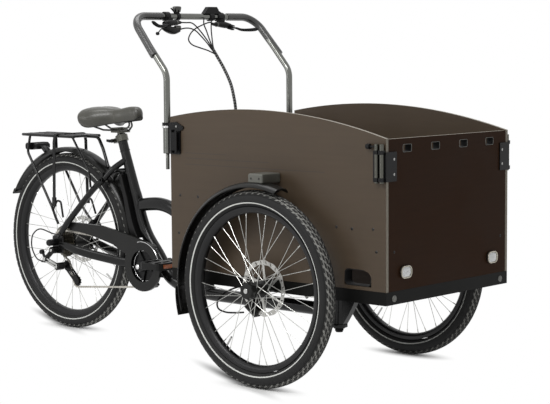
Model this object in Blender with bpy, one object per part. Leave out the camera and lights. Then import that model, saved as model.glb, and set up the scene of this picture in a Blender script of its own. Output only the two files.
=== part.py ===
"""Three-wheeled electric cargo bike with a wooden cargo box that steers with both front wheels.

Metres, +X forward, +Y to the rider's left, +Z up, standing on z = 0. The drive side faces -Y.
Every shape is laid out with the rear axle at x = 0, and the whole bike hangs under one empty
that moves the middle of its length to the origin.
"""
import math

import bmesh
import bpy
import numpy as np
from mathutils import Matrix, Vector

# Clearance between pieces that touch, and the number of facets round turned pieces
GAP = 0.0003
WHEEL_STEPS = 32
ROUND_STEPS = 12
TUBE_SIDES = 8
TUBE_CREASE_DEG = 73

# Rear wheel, 26 inch
REAR_TYRE_RADIUS = 0.333
REAR_TYRE_WIDTH = 0.054
REAR_RIM_INNER = 0.2655
REAR_RIM_DEPTH = 0.021
REAR_FLANGE_RADIUS = 0.0600
REAR_FLANGE_RIGHT = 0.0290
REAR_FLANGE_LEFT = 0.0420
MOTOR_RADIUS = 0.0560
REAR_AXLE_RADIUS = 0.0060
DROPOUT_SPACING = 0.1420
DROPOUT_THICKNESS = 0.0070
REAR_ROTOR_OFFSET = 0.0575

# Front wheels, 24 inch
FRONT_AXLE_X = 1.3175
FRONT_TYRE_RADIUS = 0.311
FRONT_TYRE_WIDTH = 0.055
FRONT_TRACK_HALF = 0.382
FRONT_RIM_INNER = 0.2385
FRONT_RIM_DEPTH = 0.021
FRONT_FLANGE_RADIUS = 0.0280
FRONT_AXLE_RADIUS = 0.0100
HUB_CAP_RADIUS = 0.0290
HUB_REACH_OUT = 0.0580
HUB_REACH_IN = 0.0350
RIM_WIDTH = 0.033
RIM_WALL_STEP = 0.0073

# Brake rotors, spokes
ROTOR_RADIUS = 0.090
ROTOR_BAND = 0.016
ROTOR_THICKNESS = 0.0018
FRONT_ROTOR_INSET = 0.0280
SPOKE_COUNT = 36
SPOKE_RADIUS = 0.0013

# Cargo box
BOX_REAR_X = 0.869
BOX_LENGTH = 0.904
BOX_HALF_WIDTH = 0.3143
PANEL_THICKNESS = 0.012
BEAM_BOTTOM_Z = 0.295
BEAM_HEIGHT = 0.040
BEAM_WIDTH = 0.040
SIDE_REAR_TOP_Z = 0.835
SIDE_FRONT_TOP_Z = 0.7914
SIDE_ARCH_RISE = 0.0505
FRONT_PANEL_TOP_Z = 0.7900
BACK_PANEL_TOP_Z = 0.8200
SLOT_WIDTH = 0.044
SLOT_HEIGHT = 0.025
SLOT_Z = 0.760
SLOT_Y = (-0.212, -0.072, 0.072, 0.212)
HAND_HOLE_X = (1.612, 1.717)
HAND_HOLE_Z = (0.346, 0.397)

# Steering head
STEER_X = 1.328
STEER_LIMIT_DEG = 28.0
HEAD_RADIUS = 0.025
HEAD_BOTTOM_Z = 0.146
HEAD_TOP_Z = 0.262
KINGPIN_RADIUS = 0.012
KINGPIN_DROP = 0.018
GUSSET_HALF_WIDTH = 0.012

# Frame of the rear part
CRANK_X = 0.452
CRANK_Z = 0.277
SHELL_RADIUS = 0.0215
SHELL_HALF_WIDTH = 0.034
SPINDLE_RADIUS = 0.0090
SEAT_TUBE_TOP = (0.2868, 0.7420)
SEAT_TUBE_FOOT = (0.3520, 0.5560)
SEAT_TUBE_RADIUS = 0.0176
MAIN_TUBE_Z = 0.196
MAIN_TUBE_HALF_HEIGHT = 0.0225
MAIN_TUBE_HALF_WIDTH = 0.0210
ARCH_TOP_Z = 0.4975
ARCH_HALF_HEIGHT = 0.0240
ARCH_HALF_WIDTH = 0.0200
STAY_RADIUS = 0.0105
BRIDGE = (0.2750, 0.6110)
BRIDGE_RADIUS = 0.0085

# Seat
POST_RADIUS = 0.0125
POST_DEPTH = 0.150
COLLAR_HEIGHT = 0.024
COLLAR_WALL = 0.0050
POST_HEAD = 0.0130
RAIL_Z = 0.7625
RAIL_RADIUS = 0.0035
SADDLE_NOSE_X = 0.386
SADDLE_TAIL_X = 0.124
SADDLE_TOP_Z = 0.8450
SADDLE_BOTTOM_Z = 0.7620
SADDLE_NOSE_LIFT = 0.0380
SADDLE_HOLLOW = 0.0120
SADDLE_HALF_WIDTH = 0.100
SADDLE_NOSE_HALF_WIDTH = 0.021

# Drive
CHAIN_PITCH = 0.0127
CHAIN_HALF_HEIGHT = 0.0040
CHAIN_HALF_WIDTH = 0.0027
TOOTH_THICKNESS = 0.0018
RING_TEETH = 38
COG_TEETH = (28, 24, 21, 18, 16, 14, 12)
CHAIN_COG = 2
COG_STEP = 0.0048
FIRST_COG_Y = -0.0360
PULLEY_TEETH = 11
GUIDE_PULLEY = (0.0220, 0.2430)
TENSION_PULLEY = (0.0830, 0.1890)
CRANK_LENGTH = 0.165
PEDAL_RISE_DEG = 8.8
CRANK_HALF_WIDTH = 0.013
CRANK_OFFSET = 0.0750
CRANK_THICKNESS = 0.013
PEDAL_LENGTH = 0.098
PEDAL_WIDTH = 0.092
PEDAL_HEIGHT = 0.026
PEDAL_AXLE_RADIUS = 0.0060
PEDAL_AXLE_REACH = 0.0760
GUARD_RADIUS = 0.092
GUARD_OPENING = 0.058
GUARD_WALL = 0.0025
GUARD_OUTER_Y = -0.0605
GUARD_RIM_Y = -0.0500
GUARD_BRACKET_Y = -0.0360

# Rear mudguard and luggage rack
REAR_GUARD_RADIUS = 0.3560
FRONT_GUARD_RADIUS = 0.3360
MUDGUARD_HALF_WIDTH = 0.0335
MUDGUARD_THICKNESS = 0.0025
RACK_TUBE_RADIUS = 0.0052
RACK_SIDES = 5
RACK_Z = 0.7330
RACK_HALF_WIDTH = 0.0620
RACK_LOOP_HALF_WIDTH = 0.0720
RACK_REAR_X = -0.2150
RACK_FOOT = (0.2470, 0.6060)
STRAP_WIDTH = 0.0140
STRAP_THICKNESS = 0.0030

# Handlebar
LEG_X = 0.844
LEG_HALF_SPACING = 0.304
BAR_RADIUS = 0.0110
GUIDE_ROD_RADIUS = 0.0062
BAR_TOP_X = 0.674
BAR_TOP_Z = 1.168
BAR_BEND_RADIUS = 0.065
LEG_BEND_Z = 0.977
GRIP_BOTTOM_Z = 1.035
GRIP_END_Y = -0.160
SLEEVE_TOP_Z = 0.815
SLEEVE_BOTTOM_Z = 0.713
SLEEVE_WALL = 0.0022
GUIDE_ROD_BOTTOM_Z = 0.660
GRIP_WALL = 0.0030
BAR_RAISE = 0.060

# Battery behind the seat tube
BATTERY_Z = (0.372, 0.600)
BATTERY_HALF_WIDTH = 0.0330
BATTERY_DEPTH = (0.0330, 0.0135)

# Brake levers, turned round the bar and set inboard on the left
LEVER_TURN_DEG = 28.0
LEVER_INSET = 0.020

# Lamps
HEADLIGHT_RADIUS = 0.0260
HEADLIGHT_REACH = 0.0120
HEADLIGHT_Y = 0.222
HEADLIGHT_Z = 0.388

BOX_FRONT_X = BOX_REAR_X + BOX_LENGTH
BEAM_TOP_Z = BEAM_BOTTOM_Z + BEAM_HEIGHT
FRONT_AXLE_Z = FRONT_TYRE_RADIUS
REAR_AXLE_Z = REAR_TYRE_RADIUS
CHAIN_Y = FIRST_COG_Y - COG_STEP * CHAIN_COG
PEDAL_NEAR_Y = CRANK_OFFSET + 0.0135
MIDDLE_X = 0.5 * (BOX_FRONT_X + HEADLIGHT_REACH - REAR_TYRE_RADIUS)


# Scene and material helpers

def clear_scene():
    """Remove every object that the scene holds."""
    for item in list(bpy.data.objects):
        bpy.data.objects.remove(item, do_unlink=True)


def linear(code):
    """Turn an sRGB hex colour into linear values."""
    parts = [int(code[i:i + 2], 16) / 255 for i in (0, 2, 4)]
    return [c / 12.92 if c <= 0.04045 else ((c + 0.055) / 1.055) ** 2.4 for c in parts]


def make_material(name, code, roughness, metallic):
    """Principled finish of one colour."""
    material = bpy.data.materials.new(name)
    material.use_nodes = True
    shader = material.node_tree.nodes["Principled BSDF"]
    shader.inputs["Base Color"].default_value = (*linear(code), 1.0)
    shader.inputs["Roughness"].default_value = roughness
    shader.inputs["Metallic"].default_value = metallic
    return material


# Mesh helpers: each returns a closed mesh in the bike's own frame

def mesh_of(vertices, faces):
    """Mesh from points and faces, doubled points merged, faces turned outwards."""
    mesh = bpy.data.meshes.new("shape")
    mesh.from_pydata([tuple(map(float, v)) for v in vertices], [], [tuple(map(int, f)) for f in faces])
    work = bmesh.new()
    work.from_mesh(mesh)
    bmesh.ops.remove_doubles(work, verts=work.verts, dist=1e-7)
    bmesh.ops.recalc_face_normals(work, faces=work.faces)
    work.to_mesh(mesh)
    work.free()
    return mesh


def skin(rings, closed=False):
    """Quads between successive rings of equal count, with flat caps unless the row closes."""
    rings = np.asarray(rings)
    count, around = rings.shape[:2]
    faces = []
    for i in range(count if closed else count - 1):
        a = i * around
        b = ((i + 1) % count) * around
        for k in range(around):
            n = (k + 1) % around
            faces.append((a + k, a + n, b + n, b + k))
    if not closed:
        faces.append(tuple(range(around))[::-1])
        faces.append(tuple(range((count - 1) * around, count * around)))
    return mesh_of(rings.reshape(-1, 3), faces)


def frames(path, side=None, closed=False):
    """Unit tangent and two normals along a path: turned along with it, or kept to a side vector."""
    path = np.asarray(path, float)
    if closed:
        step = np.roll(path, -1, 0) - np.roll(path, 1, 0)
    else:
        step = np.gradient(path, axis=0)
    tangent = step / np.linalg.norm(step, axis=1)[:, None]
    if side is not None:
        second = np.cross(tangent, np.cross(np.asarray(side, float), tangent))
    else:
        start = np.eye(3)[np.argmin(abs(tangent[0]))]
        second = [start - tangent[0] * (start @ tangent[0])]
        for t in tangent[1:]:
            last = second[-1]
            second.append(last - t * (last @ t))
        second = np.array(second)
    second = second / np.linalg.norm(second, axis=1)[:, None]
    return tangent, np.cross(second, tangent), second


def loft(path, sections, side=None, closed=False):
    """Carry sections, given as (first, second) offsets, along a path."""
    path = np.asarray(path, float)
    _, first, second = frames(path, side, closed)
    sections = np.broadcast_to(sections, (len(path),) + np.shape(sections)[-2:])
    rings = (path[:, None] + sections[..., :1] * first[:, None] + sections[..., 1:] * second[:, None])
    return skin(rings, closed)


def oval(half_first, half_second, count=TUBE_SIDES, power=2.0):
    """Points of a superellipse; power 2 is an ellipse, more is squarer."""
    angle = 2 * np.pi * (np.arange(count) + 0.5) / count
    c, s = np.cos(angle), np.sin(angle)
    return np.stack([half_first * np.sign(c) * abs(c) ** (2 / power),
                     half_second * np.sign(s) * abs(s) ** (2 / power)], -1)


def tube(path, radius, sides=TUBE_SIDES, closed=False):
    """Round bar along a path."""
    return loft(path, oval(radius, radius, sides), closed=closed)


def smooth(points, per_span=4):
    """Catmull-Rom curve through hand-chosen points; extra columns are carried along."""
    points = np.asarray(points, float)
    padded = np.vstack([2 * points[0] - points[1], points, 2 * points[-1] - points[-2]])
    out = []
    for i in range(1, len(padded) - 2):
        a, b, c, d = padded[i - 1:i + 3]
        for t in np.arange(per_span) / per_span:
            out.append(0.5 * (2 * b + (c - a) * t + (2 * a - 5 * b + 4 * c - d) * t ** 2
                              + (3 * b - a - 3 * c + d) * t ** 3))
    out.append(points[-1])
    return np.array(out)


def rounded_path(points, radius, steps=5):
    """Straight runs with each corner turned by an arc of the given radius."""
    points = [np.asarray(p, float) for p in points]
    out = [points[0]]
    for before, corner, after in zip(points, points[1:], points[2:]):
        u = (before - corner) / np.linalg.norm(before - corner)
        v = (after - corner) / np.linalg.norm(after - corner)
        half = math.acos(np.clip(u @ v, -1, 1)) / 2
        if half > 1.56:
            out.append(corner)
            continue
        reach = min(radius / math.tan(half), 0.49 * np.linalg.norm(before - corner),
                    0.49 * np.linalg.norm(after - corner))
        bend = reach * math.tan(half)
        bisector = (u + v) / np.linalg.norm(u + v)
        centre = corner + bisector * bend / math.sin(half)
        start, end = corner + u * reach - centre, corner + v * reach - centre
        swing = math.pi - 2 * half
        for t in np.linspace(0, 1, steps + 1):
            out.append(centre + (start * math.sin((1 - t) * swing) + end * math.sin(t * swing))
                       / math.sin(swing))
    out.append(points[-1])
    return np.array(out)


def lathe(profile, centre, axis="Y", steps=ROUND_STEPS, closed=True):
    """Turn a profile of (radius, height) round an axis; an open profile starts and ends on it."""
    profile = np.asarray(profile, float)
    angle = 2 * np.pi * np.arange(steps) / steps
    rings = np.zeros((steps, len(profile), 3))
    across, along = {"X": ((1, 2), 0), "Y": ((0, 2), 1), "Z": ((0, 1), 2)}[axis]
    rings[:, :, across[0]] = np.cos(angle)[:, None] * profile[None, :, 0]
    rings[:, :, across[1]] = np.sin(angle)[:, None] * profile[None, :, 0]
    rings[:, :, along] = profile[None, :, 1]
    rings += np.asarray(centre, float)
    around = len(profile)
    faces = []
    for i in range(steps):
        a, b = i * around, ((i + 1) % steps) * around
        for k in range(around if closed else around - 1):
            n = (k + 1) % around
            quad = [a + k, a + n, b + n, b + k]
            if not closed and k == 0:
                quad = [a + k, a + n, b + n]
            elif not closed and n == around - 1:
                quad = [a + k, a + n, b + k]
            faces.append(quad)
    return mesh_of(rings.reshape(-1, 3), faces)


def disc(radius, low, high, centre, axis="Y", steps=ROUND_STEPS):
    """Plain cylinder from one height to another along an axis."""
    return lathe([(0, low), (radius, low), (radius, high), (0, high)], centre, axis, steps, closed=False)


def prism(outline, low, high, axis="Y"):
    """Push a flat outline along an axis: (x, z) along Y, (x, y) along Z, (y, z) along X."""
    outline = np.asarray(outline, float)
    ends = []
    for height in (low, high):
        level = np.full(len(outline), height)
        p, q = outline[:, 0], outline[:, 1]
        ends.append({"X": np.stack([level, p, q], -1), "Y": np.stack([p, level, q], -1),
                     "Z": np.stack([p, q, level], -1)}[axis])
    return skin(ends)


def block(x, y, z):
    """Box between pairs of limits."""
    return prism([(x[0], y[0]), (x[1], y[0]), (x[1], y[1]), (x[0], y[1])], z[0], z[1], "Z")


def ring_outline(centre, radius, count, start=0.0, end=2 * math.pi):
    """Points of an arc or a full circle in a plane."""
    full = abs(end - start - 2 * math.pi) < 1e-9
    angle = np.linspace(start, end, count, endpoint=not full)
    return [(centre[0] + radius * math.cos(a), centre[1] + radius * math.sin(a)) for a in angle]


def rounded_rectangle(x, z, radius, steps=4):
    """Outline of a rectangle whose corners are arcs."""
    out = []
    corners = ((x[1] - radius, z[1] - radius, 0), (x[0] + radius, z[1] - radius, 90),
               (x[0] + radius, z[0] + radius, 180), (x[1] - radius, z[0] + radius, 270))
    for cx, cz, turn in corners:
        start = math.radians(turn)
        out += ring_outline((cx, cz), radius, steps, start, start + math.pi / 2)
    return out


def boolean(base, others, operation):
    """Exact Boolean of one mesh with several others."""
    group = bpy.data.collections.new("tools")
    holder = bpy.data.objects.new("base", base)
    bpy.context.scene.collection.objects.link(holder)
    for mesh in others:
        group.objects.link(bpy.data.objects.new("tool", mesh))
    bpy.context.scene.collection.children.link(group)
    modifier = holder.modifiers.new("boolean", "BOOLEAN")
    modifier.operation = operation
    modifier.operand_type = "COLLECTION"
    modifier.collection = group
    modifier.solver = "EXACT"
    bpy.context.view_layer.update()
    result = bpy.data.meshes.new_from_object(holder.evaluated_get(bpy.context.evaluated_depsgraph_get()))
    for item in [holder] + list(group.objects):
        bpy.data.objects.remove(item, do_unlink=True)
    bpy.data.collections.remove(group)
    work = bmesh.new()
    work.from_mesh(result)
    bmesh.ops.remove_doubles(work, verts=work.verts, dist=1e-5)
    bmesh.ops.dissolve_degenerate(work, edges=work.edges, dist=1e-5)
    work.to_mesh(result)
    work.free()
    return result


def union(base, *others):
    """Fuse meshes into one body."""
    return boolean(base, others, "UNION")


def cut(base, *others):
    """Take meshes away from one body."""
    return boolean(base, others, "DIFFERENCE")


def mirrored(mesh):
    """The same shape on the other side of the bike."""
    copy = mesh.copy()
    copy.transform(Matrix.Diagonal((1, -1, 1, 1)))
    copy.flip_normals()
    return copy


def turned(mesh, degrees, centre, axis="Y"):
    """Copy of a mesh turned round a point."""
    copy = mesh.copy()
    place = Matrix.Translation(centre)
    copy.transform(place @ Matrix.Rotation(math.radians(degrees), 4, axis) @ place.inverted())
    return copy


def bore(shaft_radius, steps=ROUND_STEPS):
    """Corner radius of a faceted bore in which a faceted shaft turns with the usual gap."""
    return (shaft_radius + GAP) / math.cos(math.pi / steps)


# Pivots: an empty stands on each joint's axis, and the pieces of its body hang under it

PIVOTS = {}


def pivot(name, place, parent=None):
    """Empty on a joint's axis, placed in the bike's own frame."""
    empty = bpy.data.objects.new(name, None)
    bpy.context.scene.collection.objects.link(empty)
    place = Vector(place)
    if parent is None:
        empty.location = place - Vector((MIDDLE_X, 0, 0))
    else:
        empty.parent = PIVOTS[parent][0]
        empty.location = place - PIVOTS[parent][1]
    PIVOTS[name] = (empty, place)
    return name


def node(name, mesh, material, holder, crease_deg=50):
    """Named piece of the bike, hung under its pivot; edges flatter than the crease are shaded smooth."""
    empty, place = PIVOTS[holder]
    mesh.transform(Matrix.Translation(-place))
    mesh.name = name
    mesh.materials.clear()
    mesh.materials.append(material)
    mesh.shade_smooth()
    mesh.set_sharp_from_angle(angle=math.radians(crease_deg))
    piece = bpy.data.objects.new(name, mesh)
    bpy.context.scene.collection.objects.link(piece)
    piece.parent = empty
    return piece


# Wheels

def tyre(radius, width, rim_inner, rim_depth, centre):
    """Tyre with a rounded tread, beads seated inside the rim walls."""
    bead = rim_inner + rim_depth - RIM_WALL_STEP + GAP
    height = radius - bead
    half = width / 2
    rise = [(0.0, RIM_WIDTH / 2 - 0.0045), (0.44, half), (0.80, half * 0.84), (1.0, half * 0.36)]
    side = [(bead + height * t, w) for t, w in rise]
    profile = side + [(r, -w) for r, w in reversed(side)]
    return lathe(profile, centre, steps=WHEEL_STEPS)


def rim(inner, depth, centre):
    """Rim with a tapered spoke bed and two raised walls that hold the tyre."""
    half = RIM_WIDTH / 2
    outer = inner + depth
    seat = outer - RIM_WALL_STEP
    side = [(inner, half * 0.62), (outer, half), (seat, half - 0.0035)]
    profile = side + [(r, -w) for r, w in reversed(side)]
    return lathe(profile, centre, steps=WHEEL_STEPS)


def spokes(centre, flange_radius, offsets, rim_inner, crossing_deg):
    """Crossed spokes from two flanges to the rim, leading and trailing in turn."""
    out = []
    for index in range(SPOKE_COUNT):
        flange = offsets[index % 2]
        lead = 1 if (index // 2) % 2 else -1
        at_rim = 2 * math.pi * index / SPOKE_COUNT
        at_hub = at_rim + lead * math.radians(crossing_deg)
        root = flange_radius - 0.004
        tip = rim_inner * math.cos(math.pi / WHEEL_STEPS) - 0.0004
        start = (root * math.cos(at_hub), flange + lead * 0.0016, root * math.sin(at_hub))
        end = (tip * math.cos(at_rim), math.copysign(0.004, flange), tip * math.sin(at_rim))
        out.append(tube(np.array([start, end]) + np.asarray(centre), SPOKE_RADIUS, 3))
    return out


def rotor(centre, offset, hub_radius):
    """Brake disc: a ring on six swept arms."""
    low, high = offset - ROTOR_THICKNESS / 2, offset + ROTOR_THICKNESS / 2
    inner = ROTOR_RADIUS - ROTOR_BAND
    band = lathe([(inner, low), (ROTOR_RADIUS, low), (ROTOR_RADIUS, high), (inner, high)], centre, steps=20)
    arms = []
    for index in range(6):
        root = math.radians(60 * index)
        lean = root + math.radians(32)
        a = np.array([math.cos(root), math.sin(root)]) * (hub_radius - 0.002)
        b = np.array([math.cos(lean), math.sin(lean)]) * (inner + 0.004)
        across = np.array([-(b - a)[1], (b - a)[0]]) / np.linalg.norm(b - a) * 0.0035
        outline = [a - across, b - across, b + across, a + across]
        outline = [(p[0] + centre[0], p[1] + centre[2]) for p in outline]
        arms.append(prism(outline, centre[1] + low + 0.0001, centre[1] + high - 0.0001, "Y"))
    return [band] + arms


def front_hub():
    """Right front hub: two flanges, a round cap outside, blind bore for the stub axle, rotor inside."""
    centre = (FRONT_AXLE_X, -FRONT_TRACK_HALF, FRONT_AXLE_Z)
    flange, core = FRONT_FLANGE_RADIUS, 0.0160
    hole = bore(FRONT_AXLE_RADIUS, 12)
    inner, outer = -0.0170, 0.0290
    outward = [(0, HUB_REACH_OUT), (HUB_CAP_RADIUS - 0.006, HUB_REACH_OUT - 0.001),
               (HUB_CAP_RADIUS, HUB_REACH_OUT - 0.008), (HUB_CAP_RADIUS, outer + 0.0100),
               (flange - 0.006, outer + 0.0060), (flange, outer + 0.0032), (flange, outer - 0.0032),
               (core, outer - 0.0050), (core, inner + 0.0050), (flange, inner + 0.0032),
               (flange, inner - 0.0032), (core, inner - 0.0050), (core, -HUB_REACH_IN),
               (hole, -HUB_REACH_IN), (hole, 0.040), (0, 0.040)]
    body = lathe([(r, -o) for r, o in outward], centre, steps=12, closed=False)
    wires = spokes(centre, flange, (-outer, -inner), FRONT_RIM_INNER, 60)
    return union(body, *wires, *rotor(centre, FRONT_ROTOR_INSET, core))


def rear_hub():
    """Rear hub with the motor shell between its flanges, spoked, rotor on the left."""
    centre = (0, 0, REAR_AXLE_Z)
    hole = bore(REAR_AXLE_RADIUS, 18)
    left, right = REAR_FLANGE_LEFT, -REAR_FLANGE_RIGHT
    seat = REAR_ROTOR_OFFSET
    profile = [(hole, right - 0.0045), (0.016, right - 0.0045), (REAR_FLANGE_RADIUS, right - 0.0025),
               (REAR_FLANGE_RADIUS, right + 0.0040), (MOTOR_RADIUS, right + 0.007),
               (MOTOR_RADIUS, left - 0.007), (REAR_FLANGE_RADIUS, left - 0.0040),
               (REAR_FLANGE_RADIUS, left + 0.0025), (0.022, seat - 0.006), (0.022, seat + 0.0035),
               (hole, seat + 0.0035)]
    body = lathe(profile, centre, steps=18)
    wires = spokes(centre, REAR_FLANGE_RADIUS, (left - 0.0008, right + 0.0008), REAR_RIM_INNER, 40)
    return union(body, *wires, *rotor(centre, seat, 0.022))


def rear_axle():
    """Axle with a nut outside each dropout, under a long cap on the drive side."""
    face = DROPOUT_SPACING / 2 + DROPOUT_THICKNESS + GAP
    left = [(REAR_AXLE_RADIUS, face), (0.0105, face), (0.0105, face + 0.008), (REAR_AXLE_RADIUS, face + 0.013),
            (0, face + 0.013)]
    right = [(0, -0.118), (0.0100, -0.118), (0.0128, -0.113), (0.0128, -face), (REAR_AXLE_RADIUS, -face)]
    return lathe(right + left, (0, 0, REAR_AXLE_Z), closed=False)


# Drive train

def pitch_radius(teeth):
    """Radius of the circle on which the chain's pins lie."""
    return CHAIN_PITCH / (2 * math.sin(math.pi / teeth))


def toothed_outline(teeth, centre):
    """Zigzag of tooth tips and valleys round a sprocket."""
    tip, root = pitch_radius(teeth) + 0.0006, pitch_radius(teeth) - 0.0046
    out = []
    for index in range(teeth):
        for radius, share in ((root, 0.0), (tip, 0.5)):
            angle = 2 * math.pi * (index + share) / teeth
            out.append((centre[0] + radius * math.cos(angle), centre[1] + radius * math.sin(angle)))
    return out


def cassette():
    """Seven toothed cogs on one carrier that turns on the axle."""
    centre = (0, 0, REAR_AXLE_Z)
    low = FIRST_COG_Y - COG_STEP * (len(COG_TEETH) - 1) - 0.0018
    high = FIRST_COG_Y + 0.0020
    core = disc(0.0165, low, high, centre, steps=8)
    cogs = []
    for index, teeth in enumerate(COG_TEETH):
        middle = FIRST_COG_Y - COG_STEP * index
        cogs.append(prism(toothed_outline(teeth, (0, REAR_AXLE_Z)), middle - TOOTH_THICKNESS / 2,
                          middle + TOOTH_THICKNESS / 2, "Y"))
    hollow = disc(bore(REAR_AXLE_RADIUS, 8), low - 0.01, high + 0.01, centre, steps=8)
    return cut(union(core, *cogs), hollow)


def crank_arm(tip_x, side, root_y):
    """Forged arm from the spindle to the pedal, thick at the boss and slim at the eye."""
    path = np.array([(CRANK_X, root_y, CRANK_Z), (CRANK_X + 0.35 * (tip_x - CRANK_X), root_y + side * 0.002,
                     CRANK_Z), (tip_x, root_y + side * 0.006, CRANK_Z)])
    sizes = [(0.0155, CRANK_THICKNESS / 2 + 0.001), (CRANK_HALF_WIDTH, CRANK_THICKNESS / 2),
             (0.0115, CRANK_THICKNESS / 2 - 0.0005)]
    sections = [oval(a, b, 8, 3.0) for a, b in sizes]
    arm = loft(path, sections, side=(0, 1, 0))
    eye = disc(0.0135, root_y + side * 0.006 - 0.0057, root_y + side * 0.006 + 0.0057, (tip_x, 0, CRANK_Z), steps=12)
    return [arm, eye]


def right_crank():
    """Right arm with its spindle, spider, toothed ring and pedal axle."""
    root_y = -CRANK_OFFSET
    tip_x = CRANK_X + CRANK_LENGTH
    centre = (CRANK_X, 0, CRANK_Z)
    flat = (CRANK_X, CRANK_Z)
    ring = cut(prism(toothed_outline(RING_TEETH, flat), CHAIN_Y - TOOTH_THICKNESS / 2,
                     CHAIN_Y + TOOTH_THICKNESS / 2, "Y"),
               disc(0.0560, CHAIN_Y - 0.01, CHAIN_Y + 0.01, centre, steps=24))
    spider = [disc(0.0200, root_y + 0.004, CHAIN_Y + 0.0015, centre)]
    for index in range(5):
        arm = prism([(CRANK_X + 0.012, CRANK_Z - 0.008), (CRANK_X + 0.0610, CRANK_Z - 0.0055),
                     (CRANK_X + 0.0610, CRANK_Z + 0.0055), (CRANK_X + 0.012, CRANK_Z + 0.008)],
                    CHAIN_Y - 0.0058, CHAIN_Y - 0.0004, "Y")
        spider.append(turned(arm, 72 * index + 36, centre))
    spindle = disc(SPINDLE_RADIUS, root_y, CRANK_OFFSET - CRANK_THICKNESS / 2 + 0.008, centre)
    cap = disc(0.0080, root_y - 0.0090, root_y, centre, steps=12)
    axle = disc(PEDAL_AXLE_RADIUS, -PEDAL_NEAR_Y - PEDAL_AXLE_REACH, root_y - 0.006, (tip_x, 0, CRANK_Z), steps=12)
    whole = union(spindle, ring, cap, axle, *spider, *crank_arm(tip_x, -1, root_y))
    return turned(whole, -PEDAL_RISE_DEG, centre)


def left_crank():
    """Left arm, bored for the spindle's end, with its pedal axle."""
    root_y = CRANK_OFFSET
    tip_x = CRANK_X - CRANK_LENGTH
    centre = (CRANK_X, 0, CRANK_Z)
    axle = disc(PEDAL_AXLE_RADIUS, root_y + 0.006, PEDAL_NEAR_Y + PEDAL_AXLE_REACH, (tip_x, 0, CRANK_Z), steps=12)
    boss = disc(0.0170, root_y - 0.0070, root_y + 0.0075, centre)
    inner = root_y - CRANK_THICKNESS / 2
    hole = disc(bore(SPINDLE_RADIUS), inner - 0.02, inner + 0.008 + GAP, centre)
    return turned(cut(union(boss, axle, *crank_arm(tip_x, 1, root_y)), hole), -PEDAL_RISE_DEG, centre)


def pedal_place(side):
    """Centre line of a pedal's axle; side -1 is the right pedal, which stands forward and up."""
    turn = math.radians(PEDAL_RISE_DEG)
    return CRANK_X - side * CRANK_LENGTH * math.cos(turn), CRANK_Z - side * CRANK_LENGTH * math.sin(turn)


def pedal():
    """Right pedal: an open cage round the axle's barrel, reflectors' seats front and rear."""
    x, z = pedal_place(-1)
    near = -PEDAL_NEAR_Y
    far = near - PEDAL_WIDTH
    half, high = PEDAL_LENGTH / 2, PEDAL_HEIGHT / 2
    body = prism(rounded_rectangle((x - half, x + half), (far, near), 0.012, 3), z - high, z + high, "Z")
    windows = []
    for side in (-1, 1):
        inner, outer = 0.012, half - 0.010
        limits = sorted((x + side * inner, x + side * outer))
        windows.append(block(limits, (far + 0.010, far + 0.5 * PEDAL_WIDTH - 0.003), (z - 0.05, z + 0.05)))
        windows.append(block(limits, (far + 0.5 * PEDAL_WIDTH + 0.003, near - 0.010), (z - 0.05, z + 0.05)))
    scoop = [prism(ring_outline((x + side * half * 0.5, z + turn * (high + 0.052)), 0.055, 20), far - 0.01,
                   near + 0.01, "Y") for side in (-1, 1) for turn in (-1, 1)]
    hole = disc(bore(PEDAL_AXLE_RADIUS, 12), near + 0.01, near - PEDAL_AXLE_REACH - 0.001, (x, 0, z), steps=12)
    return cut(body, hole, *windows, *scoop)


def chain_route():
    """Centre line of the chain: straight runs, and one point for each link on the wheels."""
    wheels = [((CRANK_X, CRANK_Z), pitch_radius(RING_TEETH), -1),
              (TENSION_PULLEY, pitch_radius(PULLEY_TEETH), -1),
              (GUIDE_PULLEY, pitch_radius(PULLEY_TEETH), 1),
              ((0.0, REAR_AXLE_Z), pitch_radius(COG_TEETH[CHAIN_COG]), -1)]
    runs = []
    for (a, ra, sa), (b, rb, sb) in zip(wheels, wheels[1:] + wheels[:1]):
        a, b = np.array(a), np.array(b)
        gap = b - a
        heading = math.atan2(gap[1], gap[0]) + math.asin((sa * ra - sb * rb) / np.hypot(*gap))
        right = np.array([math.sin(heading), -math.cos(heading)])
        runs.append((a + sa * ra * right, b + sb * rb * right))
    path = []
    for index, (centre, radius, sense) in enumerate(wheels):
        arrive, leave = runs[index - 1][1], runs[index][0]
        first = math.atan2(arrive[1] - centre[1], arrive[0] - centre[0])
        last = math.atan2(leave[1] - centre[1], leave[0] - centre[0])
        sweep = (last - first) % (2 * math.pi) if sense > 0 else -((first - last) % (2 * math.pi))
        links = max(2, round(abs(sweep) * radius / CHAIN_PITCH))
        for angle in first + sweep * np.arange(links + 1) / links:
            path.append((centre[0] + radius * math.cos(angle), CHAIN_Y, centre[1] + radius * math.sin(angle)))
    return np.array(path)


def chain():
    """Chain as one channel-shaped band, open towards the sprockets so that their teeth stand in it."""
    slot, web = TOOTH_THICKNESS / 2 + GAP, 0.0014
    section = [(CHAIN_HALF_HEIGHT, -CHAIN_HALF_WIDTH), (CHAIN_HALF_HEIGHT, -slot), (-web, -slot), (-web, slot),
               (CHAIN_HALF_HEIGHT, slot), (CHAIN_HALF_HEIGHT, CHAIN_HALF_WIDTH),
               (-CHAIN_HALF_HEIGHT, CHAIN_HALF_WIDTH), (-CHAIN_HALF_HEIGHT, -CHAIN_HALF_WIDTH)]
    return loft(chain_route(), section, side=(0, 1, 0), closed=True)


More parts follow.
